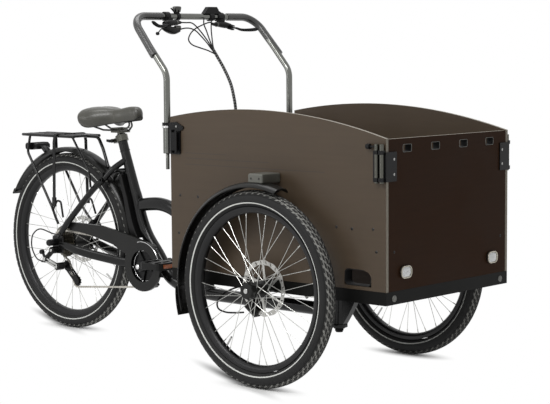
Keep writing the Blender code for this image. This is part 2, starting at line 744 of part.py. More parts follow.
def inset(outline, depth):
    """The same outline drawn in by a depth, corners mitred."""
    points = np.asarray(outline, float)
    edge = np.roll(points, -1, 0) - points
    edge = edge / np.linalg.norm(edge, axis=1)[:, None]
    area = np.sum(points[:, 0] * np.roll(points[:, 1], -1) - np.roll(points[:, 0], -1) * points[:, 1])
    inward = np.stack([-edge[:, 1], edge[:, 0]], -1) * np.sign(area)
    before = np.roll(inward, 1, 0)
    bisector = inward + before
    return points + depth * bisector / (1 + np.sum(inward * before, axis=1))[:, None]


def chain_guard():
    """Guard: a shallow tray round the ring with a tail over the upper run, carried at the crank shell."""
    centre = (CRANK_X, 0, CRANK_Z)
    edge = [(0.020, 0.0895), (-0.012, 0.0965), (-0.050, 0.1045), (-0.087, 0.1110), (-0.147, 0.1220),
            (-0.217, 0.1320), (-0.390, 0.1350), (-0.408, 0.1280), (-0.408, 0.1140), (-0.392, 0.1080),
            (-0.254, 0.0890), (-0.152, 0.0670), (-0.107, 0.0450), (-0.050, 0.0300)]
    tail = [(CRANK_X + x, CRANK_Z + z) for x, z in edge]
    floor = GUARD_OUTER_Y + GUARD_WALL
    outer = union(disc(GUARD_RADIUS, GUARD_OUTER_Y, GUARD_RIM_Y, centre, steps=WHEEL_STEPS),
                  prism(tail, GUARD_OUTER_Y, GUARD_RIM_Y, "Y"))
    hollow = union(disc(GUARD_RADIUS - GUARD_WALL, floor, GUARD_RIM_Y + 0.01, centre, steps=WHEEL_STEPS),
                   prism(inset(tail, GUARD_WALL), floor, GUARD_RIM_Y + 0.01, "Y"))
    opening = disc(GUARD_OPENING, GUARD_OUTER_Y - 0.01, GUARD_RIM_Y + 0.02, centre, steps=WHEEL_STEPS)
    shell = cut(outer, hollow, opening)
    back = GUARD_BRACKET_Y + 0.0017
    arms = [disc(0.0235, GUARD_BRACKET_Y, back, centre)]
    for turn in (60, -50):
        arm = block((CRANK_X, CRANK_X + GUARD_RADIUS - 0.0010), (GUARD_BRACKET_Y - 0.0012, back),
                    (CRANK_Z - 0.008, CRANK_Z + 0.008))
        post = block((CRANK_X + GUARD_RADIUS - 0.0080, CRANK_X + GUARD_RADIUS - 0.0010),
                     (floor - 0.0010, back - 0.0002), (CRANK_Z - 0.0078, CRANK_Z + 0.0078))
        arms += [turned(arm, -turn, centre), turned(post, -turn, centre)]
    bracket = cut(union(*arms), disc(SPINDLE_RADIUS + 0.004, -0.2, 0.2, centre))
    return union(shell, bracket)


def pulley(place):
    """Small toothed wheel of the derailleur, bored for its pin."""
    centre = (place[0], 0, place[1])
    wheel = prism(pulley_outline(place), CHAIN_Y - 0.0009, CHAIN_Y + 0.0009, "Y")
    boss = disc(0.0075, CHAIN_Y - 0.0032, CHAIN_Y + 0.0032, centre, steps=8)
    return cut(union(wheel, boss), disc(bore(0.0028, 8), CHAIN_Y - 0.02, CHAIN_Y + 0.02, centre, steps=8))


def pulley_outline(place):
    """Pulley teeth, short enough to pass under the chain's band."""
    tip = (pitch_radius(PULLEY_TEETH) - CHAIN_HALF_HEIGHT) * math.cos(math.pi / 10) - GAP
    out = []
    for index in range(2 * PULLEY_TEETH):
        radius = tip if index % 2 else tip - 0.0028
        angle = math.pi * index / PULLEY_TEETH
        out.append((place[0] + radius * math.cos(angle), place[1] + radius * math.sin(angle)))
    return out


def derailleur_cage():
    """Two cage plates joined by the pulley pins and the pivot barrel."""
    plates = []
    reach = 0.0115
    guide, tension = np.array(GUIDE_PULLEY), np.array(TENSION_PULLEY)
    along = (tension - guide) / np.linalg.norm(tension - guide)
    across = np.array([-along[1], along[0]])
    heading = math.atan2(across[1], across[0])
    outline = ring_outline(guide, reach, 5, heading, heading + math.pi)
    outline += ring_outline(tension, reach, 5, heading + math.pi, heading + 2 * math.pi)
    for low in (CHAIN_Y - 0.0062, CHAIN_Y + 0.0044):
        plates.append(prism(outline, low, low + 0.0018, "Y"))
    pins = [disc(0.0028, CHAIN_Y - 0.0070, CHAIN_Y + 0.0066, (p[0], 0, p[1]), steps=8)
            for p in (GUIDE_PULLEY, TENSION_PULLEY)]
    barrel = disc(0.0100, CHAIN_Y - 0.0180, CHAIN_Y - 0.0050, (GUIDE_PULLEY[0], 0, GUIDE_PULLEY[1]), steps=12)
    return union(plates[0], plates[1], barrel, *pins)


def derailleur():
    """Hanger knuckle, swing arm back to the elbow, linkage forward to the knuckle that holds the cage."""
    lug_y = -(DROPOUT_SPACING / 2 + DROPOUT_THICKNESS + GAP)
    upper = (-0.0020, REAR_AXLE_Z - 0.0300)
    elbow = (-0.0430, REAR_AXLE_Z - 0.0660)
    lower = GUIDE_PULLEY
    middle = lug_y - 0.0160
    outer_face = CHAIN_Y - 0.0180 - GAP
    parts = [disc(0.0100, lug_y - 0.0250, lug_y - 0.0060, (elbow[0], 0, elbow[1]), steps=10),
             disc(0.0140, lug_y - 0.0190, outer_face, (lower[0], 0, lower[1]), steps=12),
             disc(0.0045, lug_y - 0.010, -(DROPOUT_SPACING / 2) - 0.0005, (upper[0], 0, upper[1]), steps=12),
             disc(0.0088, lug_y - 0.0260, lug_y - 0.0120, (-0.0600, 0, REAR_AXLE_Z - 0.0400), steps=10),
             disc(0.0042, -0.0660, elbow[0], (0, middle, REAR_AXLE_Z - 0.0765), "X", steps=8),
             tube([(upper[0], middle + 0.003, upper[1]), (elbow[0], middle + 0.001, elbow[1])], 0.0078, 8),
             tube([(elbow[0], middle, elbow[1]), (-0.0600, middle - 0.001, REAR_AXLE_Z - 0.0400)], 0.0045, 6)]
    for rise in (0.0055, -0.0055):
        parts.append(tube([(elbow[0], middle - 0.001, elbow[1] + rise), (lower[0], middle + 0.002, lower[1] + rise)],
                          0.0048, 8))
    return union(disc(0.0130, lug_y - 0.0240, lug_y, (upper[0], 0, upper[1]), steps=12), *parts)


# Frame

def spine_path():
    """Seat tube that sweeps forward over the crank into the long lower tube."""
    head = along_seat(0.006)
    neck = along_seat(-0.055)
    points = [(head[0], head[2], 0.0160, 0.0160), (neck[0], neck[2], 0.0164, 0.0164),
              (*SEAT_TUBE_FOOT, 0.0185, 0.0185),
              (0.3680, 0.5150, 0.0195, 0.0190), (0.3930, 0.4370, 0.0205, 0.0200), (0.4230, 0.3780, 0.0220, 0.0205),
              (0.4700, 0.3210, 0.0240, 0.0210), (0.5100, 0.2700, 0.0250, 0.0215), (0.5450, 0.2370, 0.0245, 0.0215),
              (0.6000, 0.2140, 0.0235, 0.0212), (0.6600, 0.2030, MAIN_TUBE_HALF_HEIGHT, MAIN_TUBE_HALF_WIDTH),
              (0.7600, MAIN_TUBE_Z, MAIN_TUBE_HALF_HEIGHT, MAIN_TUBE_HALF_WIDTH)]
    curve = smooth(points, 2)
    straight = [(STEER_X - 0.100, MAIN_TUBE_Z, MAIN_TUBE_HALF_HEIGHT, MAIN_TUBE_HALF_WIDTH),
                (STEER_X - 0.060, MAIN_TUBE_Z, MAIN_TUBE_HALF_HEIGHT + 0.008, MAIN_TUBE_HALF_WIDTH + 0.001),
                (STEER_X, MAIN_TUBE_Z, MAIN_TUBE_HALF_HEIGHT + 0.020, MAIN_TUBE_HALF_WIDTH + 0.002)]
    return np.vstack([curve, straight])


def flat_loft(points, power=2.0, count=TUBE_SIDES):
    """Tube in the bike's middle plane from rows of (x, z, half height, half width)."""
    path = [(x, 0, z) for x, z, _, _ in points]
    sections = [oval(a, b, count, power) for _, _, a, b in points]
    return loft(path, sections, side=(0, 1, 0))


def stay(points, side, count=6):
    """One oval stay on the given side from rows of (x, y, z, half height, half width)."""
    rows = smooth([(x, side * y, z, a, b) for x, y, z, a, b in points], 1)
    return loft(rows[:, :3], [oval(a, b, count, 2.6) for a, b in rows[:, 3:]], side=(0, 1, 0))


def seat_axis():
    """Unit vector up the seat tube in the middle plane."""
    run = np.array([SEAT_TUBE_TOP[0] - SEAT_TUBE_FOOT[0], 0, SEAT_TUBE_TOP[1] - SEAT_TUBE_FOOT[1]])
    return run / np.linalg.norm(run)


def seat_top():
    """Centre of the seat tube's top end."""
    return np.array([SEAT_TUBE_TOP[0], 0, SEAT_TUBE_TOP[1]])


def along_seat(height):
    """Point on the seat axis, measured up from the tube's top."""
    return seat_top() + seat_axis() * height


def rear_caliper_shape():
    """Caliper that straddles the left rear rotor, on a lug between the stays."""
    turn = math.radians(38)
    middle = ROTOR_RADIUS - ROTOR_BAND / 2
    centre = (middle * math.cos(turn), REAR_ROTOR_OFFSET, REAR_AXLE_Z + middle * math.sin(turn))
    body = block((centre[0] - 0.024, centre[0] + 0.024), (REAR_ROTOR_OFFSET - 0.011, REAR_ROTOR_OFFSET + 0.024),
                 (centre[2] - 0.016, centre[2] + 0.016))
    slot = block((centre[0] - 0.030, centre[0] + 0.030), (REAR_ROTOR_OFFSET - 0.0017, REAR_ROTOR_OFFSET + 0.0017),
                 (centre[2] - 0.020, centre[2] + ROTOR_RADIUS + 0.0015 - middle))
    return turned(cut(body, slot), 90 - math.degrees(turn), centre)


def main_frame():
    """Welded frame: spine, arch tube, crank shell, stays, dropouts, head tube, rear caliper and lugs."""
    drop = DROPOUT_SPACING / 2
    middle_y = drop + DROPOUT_THICKNESS / 2
    spine = flat_loft(spine_path(), 2.3)
    arch = flat_loft(smooth([(0.372, 0.487, 0.022, 0.018), (0.430, ARCH_TOP_Z - 0.001, ARCH_HALF_HEIGHT,
                     ARCH_HALF_WIDTH), (0.498, ARCH_TOP_Z + 0.001, ARCH_HALF_HEIGHT, ARCH_HALF_WIDTH),
                     (0.565, ARCH_TOP_Z - 0.017, ARCH_HALF_HEIGHT, ARCH_HALF_WIDTH),
                     (0.630, ARCH_TOP_Z - 0.063, ARCH_HALF_HEIGHT, ARCH_HALF_WIDTH),
                     (0.683, ARCH_TOP_Z - 0.135, 0.0235, 0.0195), (0.717, ARCH_TOP_Z - 0.225, 0.0235, 0.0190),
                     (0.730, MAIN_TUBE_Z, 0.0235, 0.0190)], 2), 2.3)
    shell = disc(SHELL_RADIUS, -SHELL_HALF_WIDTH, SHELL_HALF_WIDTH, (CRANK_X, 0, CRANK_Z))
    web = prism([(CRANK_X - 0.018, CRANK_Z + 0.010), (CRANK_X + 0.004, CRANK_Z - 0.021), (0.500, 0.236),
                 (0.530, 0.236), (0.510, 0.270), (0.470, 0.321), (0.432, 0.358)], -0.0170, 0.0170, "Y")
    bridge = tube([(BRIDGE[0], -0.0430, BRIDGE[1]), (BRIDGE[0], 0.0430, BRIDGE[1])], BRIDGE_RADIUS, 10)
    sleeve = tube([along_seat(-0.060), along_seat(0.006)], SEAT_TUBE_RADIUS, ROUND_STEPS)
    gusset = prism([(STEER_X, HEAD_BOTTOM_Z), (1.3470, HEAD_BOTTOM_Z), (1.3770, 0.1900), (1.3980, 0.2250),
                    (1.4120, 0.2520), (STEER_X, 0.2520)], -GUSSET_HALF_WIDTH, GUSSET_HALF_WIDTH, "Y")
    parts = [arch, shell, web, sleeve, gusset]
    lug_x, lug_z = RACK_FOOT
    thin, deep = (STAY_RADIUS, STAY_RADIUS), (0.0170, 0.0068)
    for side in (-1, 1):
        parts.append(stay([(0.013, middle_y, REAR_AXLE_Z + 0.019, 0.0090, 0.0050),
                           (0.052, 0.0750, 0.397, *thin), (0.125, 0.0705, 0.469, *thin),
                           (0.195, 0.0660, 0.536, *thin), (0.247, 0.0560, 0.5800, *thin),
                           (*BRIDGE[:1], 0.0430, BRIDGE[1], *thin), (0.292, 0.0330, 0.6280, *thin),
                           (0.318, 0.0100, 0.6520, *thin)], side))
        parts.append(stay([(0.018, middle_y, REAR_AXLE_Z - 0.006, 0.0110, 0.0048),
                           (0.060, 0.0720, 0.3200, 0.0140, 0.0058), (0.105, 0.0675, 0.3100, 0.0160, 0.0066),
                           (0.160, 0.0570, 0.2995, *deep), (0.250, 0.0445, 0.2880, *deep),
                           (0.330, 0.0350, 0.2800, *deep), (0.455, 0.0150, 0.2765, *deep)], side))
        plate = prism(rounded_rectangle((-0.020, 0.036), (REAR_AXLE_Z - 0.042, REAR_AXLE_Z + 0.026), 0.010, 2),
                      *sorted((side * drop, side * (drop + DROPOUT_THICKNESS))), "Y")
        parts.append(plate)
        parts.append(block((lug_x - 0.008, lug_x + 0.008), sorted((side * 0.0480, side * 0.0660)),
                           (lug_z - 0.018, lug_z)))
    caliper_arm = block((0.050, 0.085), (REAR_ROTOR_OFFSET + 0.005, REAR_ROTOR_OFFSET + 0.0175),
                        (REAR_AXLE_Z + 0.020, REAR_AXLE_Z + 0.034))
    head = disc(HEAD_RADIUS, HEAD_BOTTOM_Z, HEAD_TOP_Z, (STEER_X, 0, 0), "Z")
    cups = [disc(HEAD_RADIUS + 0.0025, low, low + 0.012, (STEER_X, 0, 0), "Z")
            for low in (HEAD_BOTTOM_Z - 0.002, HEAD_TOP_Z - 0.010)]
    fused = union(spine, *parts, bridge, rear_caliper_shape(), caliper_arm, head, *cups)
    axle_hole = disc(bore(REAR_AXLE_RADIUS), -0.2, 0.2, (0, 0, REAR_AXLE_Z))
    spindle_hole = disc(bore(SPINDLE_RADIUS), -0.2, 0.2, (CRANK_X, 0, CRANK_Z))
    head_hole = disc(bore(KINGPIN_RADIUS), HEAD_BOTTOM_Z - 0.02, HEAD_TOP_Z + 0.02, (STEER_X, 0, 0), "Z")
    hanger_hole = disc(bore(0.0045, 12), -0.090, -0.060, (-0.0020, 0, REAR_AXLE_Z - 0.0300), steps=12)
    seat_bore = tube([along_seat(-POST_DEPTH - 0.004), along_seat(0.05)], bore(POST_RADIUS), ROUND_STEPS)
    level = block((SEAT_TUBE_TOP[0] - 0.06, SEAT_TUBE_TOP[0] + 0.06), (-0.05, 0.05), (0, 0.06))
    level.transform(Matrix.Translation((0, 0, SEAT_TUBE_TOP[1])))
    tilt = -math.degrees(math.atan2(seat_axis()[0], seat_axis()[2]))
    level = turned(level, -tilt, (SEAT_TUBE_TOP[0], 0, SEAT_TUBE_TOP[1]))
    return cut(fused, axle_hole, spindle_hole, head_hole, hanger_hole, seat_bore, level)


def battery():
    """Slim battery behind the seat tube, its front following the tube, with a lock housing on top."""
    rows = spine_path()
    path = np.stack([rows[:, 0], np.zeros(len(rows)), rows[:, 1]], -1)
    _, first, _ = frames(path, (0, 1, 0))
    rear = first if first[2][0] < 0 else -first
    reach = np.array([oval(a, b, TUBE_SIDES, 2.3)[:, 0].max() for a, b in rows[:, 2:]]) + GAP
    front = path + rear * reach[:, None]
    order = np.argsort(front[:, 2])
    x, z = front[order, 0], front[order, 2]
    levels = np.unique(np.concatenate([BATTERY_Z, z[(z > BATTERY_Z[0]) & (z < BATTERY_Z[1])]]))
    inner = np.interp(levels, z, x)
    depth = np.interp(levels, BATTERY_Z, BATTERY_DEPTH)
    outline = list(zip(inner, levels)) + list(zip(inner - depth, levels))[::-1]
    case = prism(outline, -BATTERY_HALF_WIDTH, BATTERY_HALF_WIDTH, "Y")
    housing = block((0.2885, 0.3100), (-0.0160, 0.0160), (0.5660, 0.6120))
    lock = disc(0.0070, -0.0220, -0.0150, (0.2985, 0, 0.5930), steps=12)
    return union(case, housing, lock)


# Seat

def collar_bore():
    """Corner radius of the collar's bore, its facets in line with those of the seat tube's sleeve."""
    return SEAT_TUBE_RADIUS + GAP / math.cos(math.pi / ROUND_STEPS)


def clamp_lever_place():
    """Middle of the collar's cross bolt, behind the collar."""
    side = np.cross(seat_axis(), (0, 1, 0))
    back = side if side[0] < 0 else -side
    return along_seat(-COLLAR_HEIGHT / 2) + back * (collar_bore() + COLLAR_WALL + 0.0060)


def seat_clamp():
    """Split collar round the seat tube's top, with ears and a cross bolt at the rear."""
    low, high = along_seat(-COLLAR_HEIGHT), along_seat(-0.0005)
    ring = tube([low, high], collar_bore() + COLLAR_WALL, ROUND_STEPS)
    place = clamp_lever_place()
    ears = block((-0.0080, 0.0110), (-0.0110, 0.0110), (-0.0085, 0.0085))
    tilt = math.atan2(seat_axis()[0], seat_axis()[2])
    ears.transform(Matrix.Translation(place) @ Matrix.Rotation(tilt, 4, "Y"))
    bolt = disc(0.0032, -0.0200, 0.0155, (place[0], 0, place[2]), steps=10)
    hole = tube([low - seat_axis() * 0.01, high + seat_axis() * 0.01], collar_bore(), ROUND_STEPS)
    return cut(union(ring, ears, bolt), hole)


def seat_clamp_lever():
    """Cam lever on the collar bolt's right end, lying back along the collar."""
    x, _, z = clamp_lever_place()
    cam = disc(0.0070, -0.0280, -0.0200 - GAP, (x, 0, z), steps=12)
    blade = loft([(x - 0.002, -0.0242, z), (x - 0.012, -0.0250, z - 0.001), (x - 0.026, -0.0280, z + 0.001)],
                 [oval(a, b, 8, 3) for a, b in ((0.0052, 0.0030), (0.0060, 0.0022), (0.0045, 0.0018))],
                 side=(0, 1, 0))
    return union(cam, blade)


def seatpost():
    """Post with the saddle's rail clamp on its head."""
    top = along_seat(POST_HEAD)
    post = tube([along_seat(-POST_DEPTH), top], POST_RADIUS, ROUND_STEPS)
    low, high = RAIL_Z - RAIL_RADIUS - GAP, RAIL_Z + RAIL_RADIUS + GAP
    head = block((top[0] - 0.020, top[0] + 0.022), (-0.0290, 0.0290), (low - 0.0070, low))
    web = block((top[0] - 0.014, top[0] + 0.016), (-0.0140, 0.0140), (low - 0.0050, high + 0.0020))
    cap = block((top[0] - 0.018, top[0] + 0.020), (-0.0290, 0.0290), (high, high + 0.0040))
    return union(post, head, web, cap)


def saddle_width(share):
    """Half width of the saddle from nose (0) to tail (1): slim nose, flare, round tail."""
    flare = 1 / (1 + math.exp(-(share - 0.56) * 13))
    body = SADDLE_NOSE_HALF_WIDTH + 0.010 * share + (SADDLE_HALF_WIDTH - SADDLE_NOSE_HALF_WIDTH - 0.010) * flare
    nose = math.sqrt(max(0.0, 1 - max(0.0, 1 - share / 0.07) ** 2))
    tail = math.sqrt(max(0.0, 1 - max(0.0, (share - 0.86) / 0.145) ** 2.4))
    return body * max(nose, 0.30) * max(tail, 0.30)


SADDLE_SHARES = (0.0, 0.02, 0.06, 0.14, 0.24, 0.34, 0.43, 0.51, 0.59, 0.67, 0.75, 0.83, 0.90, 0.95, 0.985, 1.0)


def saddle_x(share):
    """Place along the saddle, from nose (0) to tail (1)."""
    return SADDLE_NOSE_X + (SADDLE_TAIL_X - SADDLE_NOSE_X) * share


def saddle_bottom(share):
    """Height of the cover's lower edge, which rises towards the nose."""
    return SADDLE_BOTTOM_Z + SADDLE_NOSE_LIFT * max(0.0, 1 - share / 0.7) ** 1.4


def saddle_cover():
    """Padded saddle: crowned top with a slight dip, rounded shoulders, a skirt round a hollow underside."""
    rings = []
    for share in SADDLE_SHARES:
        x, half = saddle_x(share), saddle_width(share)
        end = 0.55 if share in (0.0, 1.0) else 0.85 if share in (0.02, 0.985) else 1.0
        top = SADDLE_TOP_Z - 0.0060 * math.sin(math.pi * share) ** 2 - 0.0030 * share - (1 - end) * 0.012
        bottom = saddle_bottom(share) + (1 - end) * 0.012
        inner = bottom + SADDLE_HOLLOW * end
        section = [(0.0, top), (0.45 * half, top - 0.0012), (0.78 * half, top - 0.008 * end),
                   (0.97 * half, top - 0.022 * end), (half, 0.42 * top + 0.58 * bottom),
                   (0.93 * half, bottom + 0.006 * end), (0.80 * half, bottom), (0.62 * half, inner), (0.0, inner)]
        ring = section + [(-y, z) for y, z in reversed(section[1:-1])]
        rings.append([(x, y, z) for y, z in ring])
    return skin(rings)


def saddle_base():
    """Stiff base in the cover's hollow with two steel rails that run through the post's clamp."""
    thick = 0.0030
    shares = [s for s in SADDLE_SHARES if 0.1 < s < 0.96]
    level = {s: saddle_bottom(s) + SADDLE_HOLLOW - thick - 2.5 * GAP for s in shares}
    rows = [[(saddle_x(s), level[s] + up * thick) for s in shares] for up in (-1, 1)]
    rings = []
    for low, high, share in zip(rows[0], rows[1], shares):
        half = 0.58 * saddle_width(share)
        rings.append([(low[0], -half, low[1]), (low[0], half, low[1]), (high[0], half, high[1]),
                      (high[0], -half, high[1])])
    rails = []
    for side in (-1, 1):
        path = rounded_path([(saddle_x(0.20), side * 0.0060, level[0.24] + 0.002), (0.3250, side * 0.0090, RAIL_Z),
                             (0.3000, side * 0.0215, RAIL_Z), (0.2050, side * 0.0220, RAIL_Z),
                             (0.1680, side * 0.0330, level[0.83])], 0.010, 2)
        rails.append(tube(path, RAIL_RADIUS, 6))
    return union(skin(rings), *rails)


# Rear mudguard, luggage rack, lamp

def mudguard_shell(radius, centre, start_deg, end_deg, count):
    """Arched guard over a wheel: a shallow rounded channel swept round the axle."""
    half, wall = MUDGUARD_HALF_WIDTH, MUDGUARD_THICKNESS
    outer = [(-0.014, -1.0), (-0.0020, -0.68), (-0.0020, 0.68), (-0.014, 1.0)]
    section = [(radius + r, w * half) for r, w in outer]
    section += [(radius + r - wall, w * (half - wall)) for r, w in reversed(outer)]
    rings = []
    for angle in np.radians(np.linspace(start_deg, end_deg, count)):
        rings.append([(centre[0] + r * math.cos(angle), centre[1] + y, centre[2] + r * math.sin(angle))
                      for r, y in section])
    return skin(rings)


def rear_mudguard():
    """Rear guard with a kicked-out tail flap and a bridge stub towards the seat tube."""
    shell = mudguard_shell(REAR_GUARD_RADIUS, (0, 0, REAR_AXLE_Z), 3, 150, 19)
    turn = math.radians(150)
    tip = np.array([REAR_GUARD_RADIUS * math.cos(turn), REAR_AXLE_Z + REAR_GUARD_RADIUS * math.sin(turn)])
    flap = prism([(tip[0] + 0.003, tip[1] + 0.006), (tip[0] - 0.001, tip[1] + 0.004),
                  (tip[0] - 0.0105, tip[1] - 0.013), (tip[0] - 0.0075, tip[1] - 0.016),
                  (tip[0] + 0.0045, tip[1] - 0.003)], -0.024, 0.024, "Y")
    centre = np.array([0, 0, REAR_AXLE_Z])
    reach = np.array([BRIDGE[0], 0, BRIDGE[1]]) - centre
    length = np.linalg.norm(reach)
    foot = reach / length
    stub = tube([centre + foot * (REAR_GUARD_RADIUS - 0.0038), centre + foot * (length - BRIDGE_RADIUS - GAP)],
                0.0060, 6)
    return union(shell, flap, stub)


def rack_rail(side):
    """Outer rail of the rack with its front bow down to the seat stay."""
    y = side * RACK_HALF_WIDTH
    foot = side * 0.0570
    points = [(RACK_REAR_X + 0.012, side * (RACK_HALF_WIDTH - 0.004), RACK_Z), (RACK_REAR_X + 0.04, y, RACK_Z),
              (0.232, side * 0.0590, RACK_Z - 0.001), (0.2560, foot, 0.6700), (RACK_FOOT[0], foot, 0.6300),
              (RACK_FOOT[0], foot, RACK_FOOT[1] + GAP)]
    return tube(rounded_path(points, 0.024, 2), RACK_TUBE_RADIUS, RACK_SIDES)


def rack_side(side):
    """Side loop that keeps bags off the wheel: rear leg, foot on the stay, front leg."""
    y = side * RACK_LOOP_HALF_WIDTH
    rear = [(-0.155, side * (RACK_HALF_WIDTH + 0.002), RACK_Z - 0.001), (-0.162, y, 0.668), (-0.026, y, 0.464),
            (0.0030, side * 0.0790, 0.4250), (0.0200, side * 0.0820, 0.4050)]
    front = [(0.099, side * (RACK_HALF_WIDTH + 0.002), RACK_Z - 0.001), (0.205, side * 0.0790, 0.610),
             (0.2130, side * 0.0800, 0.5500)]
    bow = [(-0.0180, y, 0.4560), (0.004, y, 0.4900), (0.030, side * 0.0760, 0.4880),
           (0.0480, side * 0.0815, 0.4300)]
    return [tube(rounded_path(rear, 0.030, 2), RACK_TUBE_RADIUS * 0.88, RACK_SIDES),
            tube(rounded_path(front, 0.020, 2), RACK_TUBE_RADIUS * 0.8, RACK_SIDES),
            tube(rounded_path(bow, 0.014, 2), RACK_TUBE_RADIUS * 0.7, RACK_SIDES)]


def luggage_rack():
    """Tubular rack: rails, cross bars, side loops and the rear lamp plate."""
    bars = []
    for x in (RACK_REAR_X + 0.012, -0.120, 0.020, 0.130):
        bars.append(tube([(x, -RACK_HALF_WIDTH, RACK_Z), (x, RACK_HALF_WIDTH, RACK_Z)], RACK_TUBE_RADIUS * 0.85, RACK_SIDES))
    inner = [tube([(RACK_REAR_X + 0.012, y, RACK_Z + 0.001), (0.130, y, RACK_Z + 0.001)],
                  RACK_TUBE_RADIUS * 0.8, RACK_SIDES) for y in (-0.022, 0.022)]
    plate = block((RACK_REAR_X + 0.009, RACK_REAR_X + 0.012), (-0.022, 0.022), (RACK_Z - 0.062, RACK_Z))
    parts = bars + inner + [plate, rack_rail(1)]
    for side in (-1, 1):
        parts += rack_side(side)
    return union(rack_rail(-1), *parts)


def tail_light():
    """Flat rear lamp hung on the rack's plate."""
    front = RACK_REAR_X + 0.012 + GAP
    body = prism(rounded_rectangle((-0.048, 0.048), (RACK_Z - 0.066, RACK_Z - 0.030), 0.012, 4), front,
                 front + 0.028, "X")
    return body


def rack_strap():
    """Rubber strap over the rack, hooked under the side bows."""
    half = RACK_LOOP_HALF_WIDTH + 0.0070
    top = RACK_Z + RACK_TUBE_RADIUS + 0.0015 + GAP
    foot = 0.4985
    path = rounded_path([(0.001, -half - 0.004, foot), (0.001, -half, top - 0.030), (0.001, -half + 0.006, top),
                         (0.001, half - 0.006, top), (0.001, half, top - 0.030), (0.001, half + 0.004, foot)],
                        0.010, 2)
    band = loft(path, oval(STRAP_THICKNESS / 2, STRAP_WIDTH / 2, 4, 2.0) * 1.414, side=(1, 0, 0))
    band_flat = [block((0.001 - 0.009, 0.001 + 0.009), sorted((s * (half + 0.0005), s * (half + 0.0075))),
                       (foot - 0.030, foot + 0.004)) for s in (-1, 1)]
    return union(band, *band_flat)


# Cargo box

def chassis_rails():
    """Ring of square tube under the panels, with cross members that carry the floor."""
    x, y = (BOX_REAR_X, BOX_FRONT_X), BOX_HALF_WIDTH
    ring = cut(block(x, (-y, y), (BEAM_BOTTOM_Z, BEAM_TOP_Z)),
               block((x[0] + BEAM_WIDTH, x[1] - BEAM_WIDTH), (-y + BEAM_WIDTH, y - BEAM_WIDTH),
                     (BEAM_BOTTOM_Z - 0.05, BEAM_TOP_Z + 0.05)))
    cross = []
    for middle in (STEER_X - 0.130, STEER_X, STEER_X + 0.130):
        cross.append(block((middle - 0.020, middle + 0.020), (-y + BEAM_WIDTH - 0.002, y - BEAM_WIDTH + 0.002),
                           (BEAM_BOTTOM_Z + 0.0005, BEAM_TOP_Z - 0.0005)))
    return [ring] + cross


def front_caliper_shape(side):
    """Caliper behind and below a front axle, on an arm from the chassis."""
    turn = math.radians(235)
    middle = ROTOR_RADIUS - ROTOR_BAND / 2
    inset = FRONT_TRACK_HALF - FRONT_ROTOR_INSET
    centre = (FRONT_AXLE_X + middle * math.cos(turn), side * inset, FRONT_AXLE_Z + middle * math.sin(turn))
    body = block((centre[0] - 0.026, centre[0] + 0.026), sorted((side * (inset - 0.020), side * (inset + 0.0080))),
                 (centre[2] - 0.015, centre[2] + 0.015))
    slot = block((centre[0] - 0.032, centre[0] + 0.032), sorted((side * inset - 0.0017, side * inset + 0.0017)),
                 (centre[2] - 0.020, centre[2] + ROTOR_RADIUS + 0.0015 - middle))
    arm = block((centre[0] - 0.030, centre[0] - 0.012),
                sorted((side * (BOX_HALF_WIDTH - 0.020), side * (inset - 0.011))),
                (centre[2] - 0.004, BEAM_BOTTOM_Z + 0.004))
    return [turned(cut(body, slot), 90 - 235, centre), arm]


def chassis():
    """Steel chassis: rails, under-plate with the kingpin, stub axles and front calipers."""
    under = BEAM_BOTTOM_Z + 0.002
    plate = block((STEER_X - 0.150, STEER_X + 0.150), (-0.044, 0.044), (BEAM_BOTTOM_Z - 0.006, under))
    boss = disc(HEAD_RADIUS + 0.004, HEAD_TOP_Z + 0.002 + GAP, under, (STEER_X, 0, 0), "Z")
    foot = HEAD_BOTTOM_Z - 0.002 - GAP
    pin = disc(KINGPIN_RADIUS, foot - KINGPIN_DROP + 0.002, under, (STEER_X, 0, 0), "Z")
    washer = disc(0.0185, foot - 0.0040, foot, (STEER_X, 0, 0), "Z")
    nut = disc(0.0150, foot - KINGPIN_DROP + 0.006, foot - 0.0030, (STEER_X, 0, 0), "Z", steps=6)
    parts = [plate, boss, pin, washer, nut]
    for side in (-1, 1):
        reach = FRONT_TRACK_HALF + 0.0385
        shoulder = FRONT_TRACK_HALF - HUB_REACH_IN - GAP
        parts.append(disc(FRONT_AXLE_RADIUS, *sorted((side * (BOX_HALF_WIDTH - 0.020), side * reach)),
                          (FRONT_AXLE_X, 0, FRONT_AXLE_Z)))
        parts.append(disc(0.0160, *sorted((side * (BOX_HALF_WIDTH - 0.010), side * shoulder)),
                          (FRONT_AXLE_X, 0, FRONT_AXLE_Z)))
        parts += front_caliper_shape(side)
    rails = chassis_rails()
    return union(rails[0], *rails[1:], *parts)


def side_top(x):
    """Height of a side panel's arched top edge: a circular arc over the line of its corners."""
    share = (x - BOX_REAR_X) / BOX_LENGTH
    chord = SIDE_REAR_TOP_Z + (SIDE_FRONT_TOP_Z - SIDE_REAR_TOP_Z) * share
    radius = (BOX_LENGTH ** 2 / 4 + SIDE_ARCH_RISE ** 2) / (2 * SIDE_ARCH_RISE)
    away = (share - 0.5) * BOX_LENGTH
    return chord + math.sqrt(radius ** 2 - away ** 2) - (radius - SIDE_ARCH_RISE)


